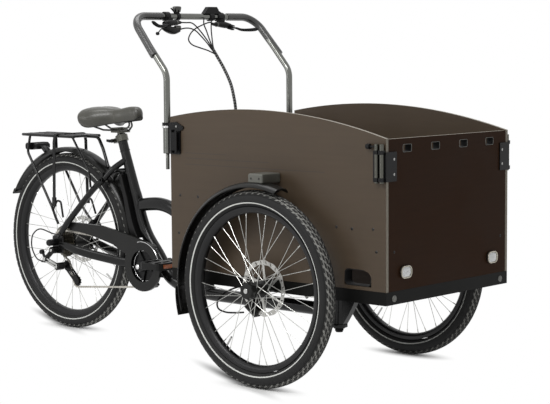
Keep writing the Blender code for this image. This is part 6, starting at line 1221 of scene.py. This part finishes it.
def dress_box():
    """Finish of the panels, screws, engraved lines, rail plugs, lamps and corner fittings."""
    film = {"right_side_panel": "side_ply", "left_side_panel": "side_ply", "front_panel": "front_ply",
            "back_panel": "back_ply", "floor_panel": "floor_ply", "chassis": "dull_powder"}
    finish_nodes(film)
    face = BOX_HALF_WIDTH
    # screws as (x, z) and engraved lines as (z, start, end)
    spots = ((0.911, 0.578), (0.993, 0.577), (1.582, 0.519), (1.643, 0.517), (1.724, 0.521), (1.737, 0.454),
             (0.903, 0.453))
    lines = ((0.719, 0.935, 1.125), (0.702, 0.941, 1.305), (0.682, 0.938, 1.536))
    for side, name in SIDES:
        heads = [screw((x, side * face, z), "Y", side, 0.0048) for x, z in spots]
        piece(name + "_side_screws", heads, "black_screw", "cargo_box", "bright_steel")
        heads = [screw((BOX_FRONT_X + 0.0040, side * 0.279, z), "X", 1, 0.0040) for z in (0.685, 0.730)]
        heads += [screw((x, side * (face + 0.0040), z), "Y", side, 0.0035)
                  for x, z in ((0.899, 0.728), (0.899, 0.803))]
        piece(name + "_fitting_screws", heads, "screw", "cargo_box", "bright_steel")
        cuts = [block((x0, x1), between(side, face, face + 0.00012), (z - 0.0009, z + 0.0009))
                for z, x0, x1 in lines]
        piece(name + "_engraved_lines", cuts, "groove", "cargo_box", "plywood")
        plug = turn_profile([(0.0100, BOX_FRONT_X), (0.0100, BOX_FRONT_X + 0.0012),
                             (0.0082, BOX_FRONT_X + 0.0020), (0.0066, BOX_FRONT_X + 0.0008),
                             (0.0050, BOX_FRONT_X + 0.0008), (0.0040, BOX_FRONT_X + 0.0016)],
                            (0, side * 0.275, 0.3135), "X", 32)
        piece(name + "_rail_plug", [plug], "plug", "cargo_box", "black_plastic")
        dress_headlight(side, name)
        dress_hand_hole(side, name)
        dress_slots(side, name)
        rods = [disc(0.0066, 0.6600, 0.7760, (x, side * (face + 0.0088), 0), "Z", 24)
                for x in (1.7445, 1.7640)]
        piece(name + "_hinge_rods", rods, "dark_steel_tube", "cargo_box", "bright_steel")
        barrel = turn_profile([(0.0144, 0.7140), (0.0144, 0.8000), (0.0136, 0.8000), (0.0136, 0.7140)],
                              (LEG_X, side * LEG_Y, 0), "Z", 40, closed=True)
        piece(name + "_sleeve_barrel", [barrel], "bar_paint", "cargo_box", "bar_paint")
        collar = [turn_profile([(0.0148, 0.7965), (0.0180, 0.7985), (0.0180, 0.8045), (0.0148, 0.8065)],
                               (LEG_X, side * LEG_Y, 0), "Z", 40, closed=True)]
        piece(name + "_sleeve_collar", collar, "chrome", "cargo_box", "bright_steel")
    for side, name in SIDES:
        piece("front_panel_screw_" + name, [screw((BOX_FRONT_X, side * 0.275, 0.453), "X", 1, 0.0042)],
              "black_screw", "cargo_box", "bright_steel")


def dress_hand_hole(side, name):
    """Black liner, 35 mm deep, in the hand hole of one side: painted shade, a dark sheet where the open hole
    shows only the shade inside the box.
    """
    liner = plate(inset(HAND_HOLE_X, HAND_HOLE_Z, 0.0012, 0.014),
                  *between(side, BOX_HALF_WIDTH - 0.0005, BOX_HALF_WIDTH - 0.0350), "Y",
                  [inset(HAND_HOLE_X, HAND_HOLE_Z, 0.0027, 0.013)])
    piece(name + "_hand_hole_painted_shade", [liner], "rubber", "cargo_box", "black_plastic")


def dress_slots(side, name):
    """Black liner with a thin lip in each of the two strap slots on one side of the front panel; the black
    liner is painted shade, a dark sheet where the slot shows only shade.
    """
    flush = BOX_FRONT_X - 0.0004
    liners, lips = [], []
    for y in SLOT_Y:
        slot = (side * y - SLOT_HALF_WIDTH, side * y + SLOT_HALF_WIDTH), SLOT_Z
        liners.append(plate(inset(*slot, 0.0008, 0.0045), BOX_FRONT_X - 0.0240, flush, "X",
                            [inset(*slot, 0.0020, 0.0035)]))
        lips.append(plate(inset(*slot, 0.0006, 0.0046), flush, BOX_FRONT_X + 0.0006, "X",
                          [inset(*slot, 0.0017, 0.0038)]))
    piece(name + "_slot_painted_shade", liners, "rubber", "cargo_box", "black_plastic")
    piece(name + "_slot_lips", lips, "plug", "cargo_box", "black_plastic")


def dress_headlight(side, name):
    """Front lamp: rounded body with a thin plated rim round a domed clear lens."""
    middle, at = (side * 0.2240, 0.3890), BOX_FRONT_X
    wide, tall = 0.0258, 0.0190
    front = (middle[0] - wide, middle[0] + wide), (middle[1] - tall, middle[1] + tall)
    body = [plate(inset(*front, 0.0012, 0.0150), at + 0.0003, at + 0.0060, "X"),
            disc(0.0095, at - 0.024, at + 0.0010, (0, side * 0.222, 0.388), "X", 24)]
    rim = plate(inset(*front, 0.0, 0.0160), at + 0.0040, at + 0.0088, "X", [inset(*front, 0.0030, 0.0130)])
    lens = pillow(inset(*front, 0.0031, 0.0128), middle, at + 0.0062, at + 0.0112)
    piece(name + "_lamp_body", body, "shell", "cargo_box", "black_plastic", name + "_headlight")
    piece(name + "_lamp_rim", [rim], "pearl", "cargo_box", "bright_steel", edge=0.0010)
    piece(name + "_lamp_lens", [lens], "lens", "cargo_box", "lamp_lens")


# Handlebar

def bar_line(steps=14):
    """Centre line of the bar from the right leg's foot over the cross bar to the left leg's foot."""
    right = [(LEG_X, -LEG_Y, 0.719), (LEG_X, -LEG_Y, 0.977), (BAR_X, -LEG_Y, BAR_Z), (BAR_X, 0.0, BAR_Z)]
    whole = right + [(x, -y, z) for x, y, z in reversed(right[:-1])]
    return bent(whole, 0.065, steps)


def dress_bar():
    """Bent tube, guide rods and ribbed grips: radius = 13.4 mm + 0.1 mm * sin(turn), one turn in 5.2 mm,
    0.6 mm less at the ends. A grip runs from a height on the leg to a point on the cross bar."""
    line = bar_line()
    rods = [disc(0.0062, 0.660, 0.723, (LEG_X, s * LEG_Y, 0), "Z", 24) for s in (-1, 1)]
    piece("bent_bar", [tube(line, BAR_RADIUS, 32)] + rods, "bar_paint", "bars", "bar_paint", "handlebar",
          crease=50)
    foot, tip = 1.035, -0.160
    keep = line[(line[:, 2] > foot + 0.002) & (line[:, 1] < tip - 0.004)]
    first = np.argmax(line[:, 2] > foot + 0.002)
    slope = line[first + 1] - line[first]
    start_at = keep[0] - slope * (keep[0][2] - foot) / slope[2]
    path = np.vstack([start_at, keep, (BAR_X, tip, BAR_Z)])
    fine, along = spaced(path, 220)
    end = np.minimum(along, along[-1] - along)
    ribs = 0.00010 * np.sin(2 * np.pi * along / 0.0052) * (end > 0.012) - 0.0006 * (end < 0.004)
    for side, name in SIDES:
        sleeve = sweep(fine, [oval(r, r, 32) for r in 0.0134 + ribs])
        piece(name + "_ribbed_grip", [sleeve if side < 0 else flipped(sleeve)], "grip", "bars", "soft_rubber",
              name + "_grip", crease=70)


def on_side(shapes, left):
    """The right lever group as it is, or its mirror image turned round the bar and set inboard."""
    if not left:
        return shapes
    return [moved(spun(flipped(s), LEVER_TURN_DEG, (BAR_X, 0, BAR_Z)), (0, -LEVER_INSET, 0)) for s in shapes]


def swelling(radii, tall=1.0, power=2.0):
    """Ovals whose size runs smoothly through some radii, height = tall * width."""
    return [oval(s, tall * s, 24, power) for s in curve([(r,) for r in radii], 6)[:, 0]]


def dress_levers():
    """Brake levers: clamp, cylinder and fork, curved blade, and on the right the gear shifter. The rider's
    right is drawn and mirrored; hx, hy and level are the place of the blade's pivot."""
    x, z = BAR_X, BAR_Z
    hx, hy, level = x + 0.0440, -0.1720, z - 0.0280
    for left, name in ((False, "right"), (True, "left")):
        body = [pin(BAR_RADIUS + 0.0050, -0.150, -0.128, (x, z), steps=40),
                block((x + 0.004, x + 0.026), (-0.149, -0.130), (z - 0.030, z - 0.004)),
                sweep(curve([(x + 0.0240, -0.092, z - 0.0210), (x + 0.0240, -0.112, z - 0.0215),
                             (x + 0.0250, -0.148, z - 0.0230), (x + 0.0290, -0.176, z - 0.0260)], 6),
                      swelling((0.0050, 0.0078, 0.0112, 0.0086)), side=(0, 0, 1)),
                block((x + 0.026, x + 0.0365), (hy - 0.007, hy + 0.007), (level - 0.0085, level + 0.0085))]
        body += [block((x + 0.026, hx + 0.006), (hy - 0.007, hy + 0.007), (low, low + 0.004))
                 for low in (level - 0.0085, level + 0.0045)]
        trim = [pin(0.0090, -0.116, -0.108, (x + 0.0240, z - 0.0214), steps=24),
                disc(0.0034, z - 0.012, z - 0.006, (x + 0.022, -0.140, 0), "Z", 16)]
        if not left:
            body += [sweep(curve([(x + 0.020, -0.096, z - 0.046), (x + 0.022, -0.126, z - 0.049),
                                  (x + 0.026, -0.158, z - 0.044), (x + 0.030, -0.186, z - 0.040)], 6),
                           swelling((0.0070, 0.0112, 0.0100, 0.0040), 1.15, 2.6), side=(0, 0, 1)),
                     block((x + 0.006, x + 0.020), (-0.148, -0.134), (z - 0.046, z - 0.008)),
                     tube([(x + 0.036, -0.196, z - 0.0430), (x + 0.046, -0.222, z - 0.0570)], 0.0020, 10),
                     pin(0.0058, -0.2285, -0.2185, (x + 0.046, z - 0.0590), steps=20, soft=0.0015)]
            trim.append(pin(0.0070, -0.118, -0.094, (x + 0.022, z - 0.038), steps=24))
        piece(name + "_lever_body", on_side(body, left), "plastic", "bars", "black_plastic",
              name + "_lever_clamp", edge=0.0008)
        piece(name + "_lever_trim", on_side(trim, left), "dark_chrome", "bars", "bright_steel")
        reach = 0.116 if left else 0.082
        swell = 0.005 if left else 0.0
        blade = curve([(hx + 0.002, hy - 0.003, level), (hx + 0.005, hy - 0.14 * reach, level - 0.0010),
                       (hx + 0.009, hy - 0.36 * reach, level - 0.0060),
                       (hx + 0.010 + swell, hy - 0.68 * reach, level - 0.0050),
                       (hx + 0.008 + 2 * swell, hy - reach, level + 0.0090 - 2 * swell)], 8)
        wide = np.interp(np.linspace(0, 1, len(blade)), (0, 0.15, 0.3, 0.7, 0.93, 1),
                         (0.0026, 0.0030, 0.0040, 0.0056, 0.0066, 0.0030))
        shapes = [sweep(blade, [oval(0.0034, s, 20, 2.6) for s in wide], side=(0, 0, 1)),
                  disc(0.0058, level - 0.0030, level + 0.0030, (hx, hy, 0), "Z", 24)]
        piece(name + "_blade", on_side(shapes, left), "black_steel", name + "_brake", "black_steel",
              name + "_brake_blade")


def dress_bell_and_display():
    """Bell on its clamp, and the display with its dark glass beside it."""
    x, y, z = BAR_X, -0.0860, BAR_Z
    cup = [(0.0090, 0.0140), (0.0125, 0.0150), (0.0142, 0.0220), (0.0156, 0.0290), (0.0150, 0.0330),
           (0.0115, 0.0350)]
    bell = [turn_profile(cup, (x, y, z), "Z", 40)]
    base = [disc(0.0085, z + 0.010, z + 0.015, (x, y, 0), "Z", 24),
            pin(BAR_RADIUS + 0.0040, y - 0.006, y + 0.006, (x, z), steps=36),
            tube(curve([(x + 0.004, y - 0.012, z + 0.0080), (x + 0.006, y - 0.022, z + 0.0180),
                        (x + 0.006, y - 0.034, z + 0.0280)], 5), 0.0026, 12)]
    piece("bell_cup", bell, "dark_chrome", "bars", "black_steel", "bell")
    piece("bell_base", base, "plastic", "bars", "black_plastic")
    front = [(0.038, z + 0.0105), (0.106, z + 0.0105), (0.110, z + 0.0240), (0.101, z + 0.0345),
             (0.060, z + 0.0345)]
    case = [plate(front, x - 0.0060, x + 0.0120, "X"),
            pin(BAR_RADIUS + 0.0045, 0.068, 0.088, (x, z), steps=40),
            sweep([(x + 0.004, 0.098, z + 0.0220), (x + 0.004, 0.116, z + 0.0130),
                   (x + 0.004, 0.134, z + 0.0040)], oval(0.0070, 0.0075, 20, 3)),
            pin(BAR_RADIUS + 0.0040, 0.126, 0.139, (x, z), steps=36)]
    piece("display_case", case, "plastic", "bars", "black_plastic", "display", edge=0.0025)
    glass = plate(rounded((0.062, 0.099), (z + 0.0135, z + 0.0310), 0.003), x - 0.0066, x - 0.0060, "X")
    piece("display_glass", [glass], "glass", "bars", "black_plastic")


# Cables

def dress_cables():
    """Control cables in their spiral wrap, a band that goes once round them in each WRAP_PITCH of their
    length; brake hoses and the gear cable."""
    trunk = curve([(0.7380, 0.0220, 1.0580), (0.7520, 0.0320, 1.0280), (0.7790, 0.0360, 0.9880),
                   (0.8140, 0.0320, 0.9370), (0.8360, 0.0250, 0.8900), (0.8460, 0.0230, 0.8450),
                   (0.8510, 0.0250, 0.7500), (0.8530, 0.0280, 0.6200), (0.8530, 0.0280, 0.4800),
                   (0.8530, 0.0250, 0.4000), (0.8520, 0.0200, 0.3250), (0.8640, 0.0150, 0.2830),
                   (0.9100, 0.0060, 0.2740), (1.0000, 0.0, 0.2740), (1.1000, 0.0, 0.2720),
                   (1.1600, 0.0, 0.2560), (1.1900, 0.0, 0.2270)], 24)
    path, along = spaced(trunk, 1300)
    first, second = normals(path, None, False)
    turn = 2 * np.pi * along / WRAP_PITCH
    around = turn[:, None] + np.linspace(-1.1, 1.1, 7)
    band = [path[:, None] + r * (np.cos(a)[..., None] * first[:, None]
                                 + np.sin(a)[..., None] * second[:, None])
            for r, a in ((0.0058, around), (0.0048, around[:, ::-1]))]
    core = piece("cable_bundle", [sweep(path, oval(0.0051, 0.0051, 16))], "rubber", None, "soft_rubber",
                 "control_loom", crease=70)
    wrap = piece("spiral_wrap", [skin(np.concatenate(band, 1))], "wrap", None, "soft_rubber", crease=70)
    thin = [
        [(0.6990, -0.0900, 1.1470), (0.7010, -0.0680, 1.1465), (0.7050, -0.0480, 1.1460),
         (0.7080, -0.0304, 1.1363), (0.7160, -0.0088, 1.1124), (0.7260, 0.0109, 1.0832),
         (0.7370, 0.0222, 1.0573), (0.7460, 0.0270, 1.0400)],
        [(0.6960, -0.0980, 1.1220), (0.7000, -0.0780, 1.1270), (0.7060, -0.0560, 1.1270),
         (0.7120, -0.0343, 1.1190), (0.7200, -0.0177, 1.1019), (0.7300, 0.0019, 1.0779),
         (0.7400, 0.0166, 1.0538), (0.7490, 0.0260, 1.0360)],
        [(0.6920, 0.0760, 1.1440), (0.6960, 0.0520, 1.1480), (0.7000, 0.0172, 1.1404),
         (0.7060, -0.0283, 1.1260), (0.7140, -0.0607, 1.1084), (0.7200, -0.0763, 1.0877),
         (0.7240, -0.0632, 1.0706), (0.7300, -0.0276, 1.0588), (0.7380, -0.0011, 1.0503),
         (0.7480, 0.0235, 1.0383)],
        [(0.6860, 0.0340, 1.1640), (0.7000, 0.0197, 1.1422), (0.7120, 0.0200, 1.1179),
         (0.7250, 0.0218, 1.0867), (0.7380, 0.0236, 1.0590), (0.7470, 0.0270, 1.0400)],
        [(0.6880, 0.0700, 1.1570), (0.7000, 0.0557, 1.1287), (0.7150, 0.0435, 1.0973),
         (0.7350, 0.0292, 1.0625), (0.7470, 0.0290, 1.0420)],
    ]
    piece("lever_cables", [tube(curve(points, 12), 0.0023, 14) for points in thin], "rubber", "bars",
          "soft_rubber", crease=60)
    for soft in (core, wrap):
        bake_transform(soft)
    hoses = [block((1.185, 1.211), (-0.013, 0.013), (0.279, 0.2887))]
    hose = curve([(1.1980, 0.0, 0.2835), (1.1500, 0.080, 0.2840), (1.1000, 0.180, 0.2840),
                  (1.0720, 0.255, 0.2700), (1.0520, 0.285, 0.2390), (1.0660, 0.300, 0.2160),
                  (1.1160, 0.318, 0.2110), (1.1700, 0.332, 0.2160), (1.2170, 0.340, 0.2230)], 8)
    hoses += [tube(hose * (1, side, 1), 0.0028, 14) for side in (-1, 1)]
    piece("brake_hoses", hoses, "rubber", "cargo_box", "soft_rubber", "front_brake_hoses", crease=60)
    gear = curve([(0.0260, -0.0875, 0.3640), (-0.0010, -0.0940, 0.3670), (-0.0710, -0.0940, 0.3790),
                  (-0.1120, -0.0940, 0.3580), (-0.1240, -0.0940, 0.3270), (-0.1190, -0.0940, 0.2960),
                  (-0.0950, -0.0942, 0.2650), (-0.0674, -0.0943, 0.2567)], 10)
    piece("gear_cable", [tube(gear, 0.0025, 14)], "rubber", "rear_frame", "soft_rubber", "shift_cable",
          crease=60)


def finish_kept_nodes():
    """Finishes of the CAD nodes whose own shape stays, and a painted highlight: a bright chrome line along
    the upper arc of the chain guard.
    """
    kept = {"chain_guard": "shell", "rack_strap": "rubber", "seat_clamp": "dark_steel_tube",
            "seat_clamp_lever": "black_steel", "rear_axle": "black_steel", "right_pedal": "plastic",
            "left_pedal": "plastic", "right_front_bracket": "black_steel",
            "left_front_bracket": "black_steel", "right_bar_sleeve": "black_steel",
            "left_bar_sleeve": "black_steel", "right_bar_lever": "black_steel",
            "left_bar_lever": "black_steel"}
    finish_nodes(kept)
    # painted highlight: a chrome line laid only where light catches the guard's shoulder
    arc = ring(CRANK, 0.0885, 60, 5, 105)
    trim = np.stack([arc[:, 0], np.full(60, -0.0607), arc[:, 1]], -1)
    piece("guard_painted_highlight", [tube(trim, 0.0012, 8)], "chrome", "rear_frame", "bright_steel")


# Light, floor and camera

# Painted shadow: a dark streak painted into the white floor under the rear and the right front wheel: its
# turn in radians, half its length and half its width, and how far its middle lies from the wheel's; FADE_SIZE
# is the shape of the patch of plain floor round each wheel, which takes the real shadows
SHADE_TURN = -0.43
SHADE_SIZE = (0.42, 0.045, 1.0)
SHADE_SHIFT = (-0.160, 0.056, 0)
FADE_SIZE = (1.6, 0.6, 1.0)


def lamp(name, place, aim, size, power):
    """Rectangular soft light that faces a point."""
    data = bpy.data.lights.new(name, "AREA")
    data.shape, data.size, data.size_y, data.energy = "RECTANGLE", size[0], size[1], power
    item = bpy.data.objects.new(name, data)
    item.location = place
    item.rotation_euler = (Vector(aim) - Vector(place)).to_track_quat("-Z", "Y").to_euler()
    bpy.context.scene.collection.objects.link(item)


def seen_rays(tree):
    """One for rays from the camera, through clear pieces and off shiny ones, zero for the rest."""
    path = add(tree, "LightPath").node
    seen = add(tree, "Math", {0: path.outputs["Is Camera Ray"], 1: path.outputs["Is Transmission Ray"]},
               operation="MAXIMUM")
    return add(tree, "Math", {0: seen, 1: path.outputs["Is Glossy Ray"]}, operation="MAXIMUM")


def floor_patch(tree, place, centre, turn, size, limits, least_value):
    """Smooth rise from the least value to one with the distance from a point, which is measured after a
    turn and with x and y divided by a size each."""
    spread = add(tree, "Mapping", {"Vector": place, "Location": tuple(centre), "Rotation": (0, 0, turn),
                                   "Scale": size}, vector_type="TEXTURE")
    away = add(tree, "VectorMath", {0: spread}, output=1, operation="LENGTH")
    return add(tree, "MapRange", {"Value": away, "From Min": limits[0], "From Max": limits[1],
                                  "To Min": least_value, "To Max": 1.0}, interpolation_type="SMOOTHSTEP")


def least(tree, values):
    """The least of several values."""
    result = values[0]
    for value in values[1:]:
        result = add(tree, "Math", {0: result, 1: value}, operation="MINIMUM")
    return result


def studio():
    """Pale sweep of floor, even white surround, three soft lights and a tall strip for the tubes."""
    half = 3.0
    mesh = bpy.data.meshes.new("floor")
    corners = [(x * half, y * half, -0.0005) for x, y in ((-1, -1), (1, -1), (1, 1), (-1, 1))]
    mesh.from_pydata(corners, [], [(0, 1, 2, 3)])
    floor = bpy.data.objects.new("floor", mesh)
    bpy.context.scene.collection.objects.link(floor)
    material, tree, surface, place = new_material("pale_studio_floor", "F4F4F3", 0.85, Specular_IOR_Level=0.2)
    cloud = add(tree, "MapRange", {"Value": lumps(tree, place, 0.5), **LUMPS_RANGE})
    lead(tree, surface, Base_Color=add(tree, "Mix", {0: cloud, 6: "F2F2F1", 7: "F6F6F5"}, **COLOUR_MIX))
    centres = [np.array(wheel[0][:2] + (0,)) - (MIDDLE_X, 0, 0) for wheel in WHEELS.values()]
    fade = least(tree, [floor_patch(tree, place, c, 0, FADE_SIZE, (0.01, 0.13), 0.0) for c in centres])
    shaded_wheels = [c + SHADE_SHIFT for c in centres if c[1] <= 0]
    # painted shadow: the white floor is darkened in a streak under the rear and the right front wheel
    painted_contact_shadow = least(tree, [floor_patch(tree, place, c, SHADE_TURN, SHADE_SIZE, (0.0, 1.0), 0.10)
                           for c in shaded_wheels])
    white = add(tree, "Emission", {"Color": "FFFFFF", "Strength": painted_contact_shadow})
    seen = seen_rays(tree)
    share = add(tree, "Math", {0: fade, 1: seen}, operation="MULTIPLY")
    end = tree.nodes["Material Output"]
    tree.links.new(add(tree, "MixShader", {0: share, 1: surface.outputs[0], 2: white}), end.inputs["Surface"])
    mesh.materials.append(material)
    world = bpy.data.worlds.new("studio")
    bpy.context.scene.world = world
    world.use_nodes = True
    tree = world.node_tree
    towards = add(tree, "TexCoord")
    # the surround lights the bike more from behind, from its right and from above; the camera sees it even
    side = add(tree, "VectorMath", {0: towards, 1: (-0.45, -0.55, 0.70)}, output=1, operation="DOT_PRODUCT")
    soft = add(tree, "MapRange", {"Value": side, "From Min": -0.9, "From Max": 1.0, "To Min": 0.06,
                                  "To Max": 0.52})
    level = add(tree, "MapRange", {"Value": seen_rays(tree), "To Min": soft, "To Max": 1.0})
    tree.links.new(level, tree.nodes["Background"].inputs["Strength"])
    tree.nodes["Background"].inputs["Color"].default_value = linear("FFFFFF")
    lamp("key", (0.8, -2.5, 3.0), (0.1, -0.2, 0.6), (1.7, 0.9), 60)
    lamp("strip", (-0.3, -3.6, 1.4), (0.1, 0.0, 0.8), (0.22, 2.4), 8)
    lamp("top", (-0.4, 0.3, 3.6), (0.0, 0.0, 0.3), (2.6, 1.2), 44)
    lamp("side", (-2.0, -3.2, 1.6), (0.3, -0.3, 0.7), (0.7, 1.4), 14)


def camera():
    """Camera at the photograph's place: a long lens, turned 42 degrees round the bike and 5 degrees down."""
    data = bpy.data.cameras.new("camera")
    data.sensor_width, data.lens = 36.0, 109.11
    data.clip_start, data.clip_end = 0.1, 60.0
    item = bpy.data.objects.new("camera", data)
    turn = Matrix.Rotation(math.radians(42.214), 4, "Z") @ Matrix.Rotation(math.radians(90 - 5.419), 4, "X")
    item.matrix_world = (Matrix.Translation((4.0869, -4.1513, 1.0714)) @ turn
                         @ Matrix.Rotation(math.radians(-0.418), 4, "Z"))
    bpy.context.scene.collection.objects.link(item)
    bpy.context.scene.camera = item


dress_rear_wheel()
dress_front_wheel("right_front")
dress_front_wheel("left_front")
dress_cranks()
piece("roller_chain", chain_shapes(), "chain", "rear_frame", "black_steel", "chain", crease=30)
dress_derailleur()
dress_frame()
dress_battery()
dress_seat()
dress_guards()
dress_rack()
dress_box()
dress_bar()
dress_levers()
dress_bell_and_display()
dress_cables()
finish_kept_nodes()
studio()
camera()
bpy.context.scene.view_settings.view_transform = "Standard"
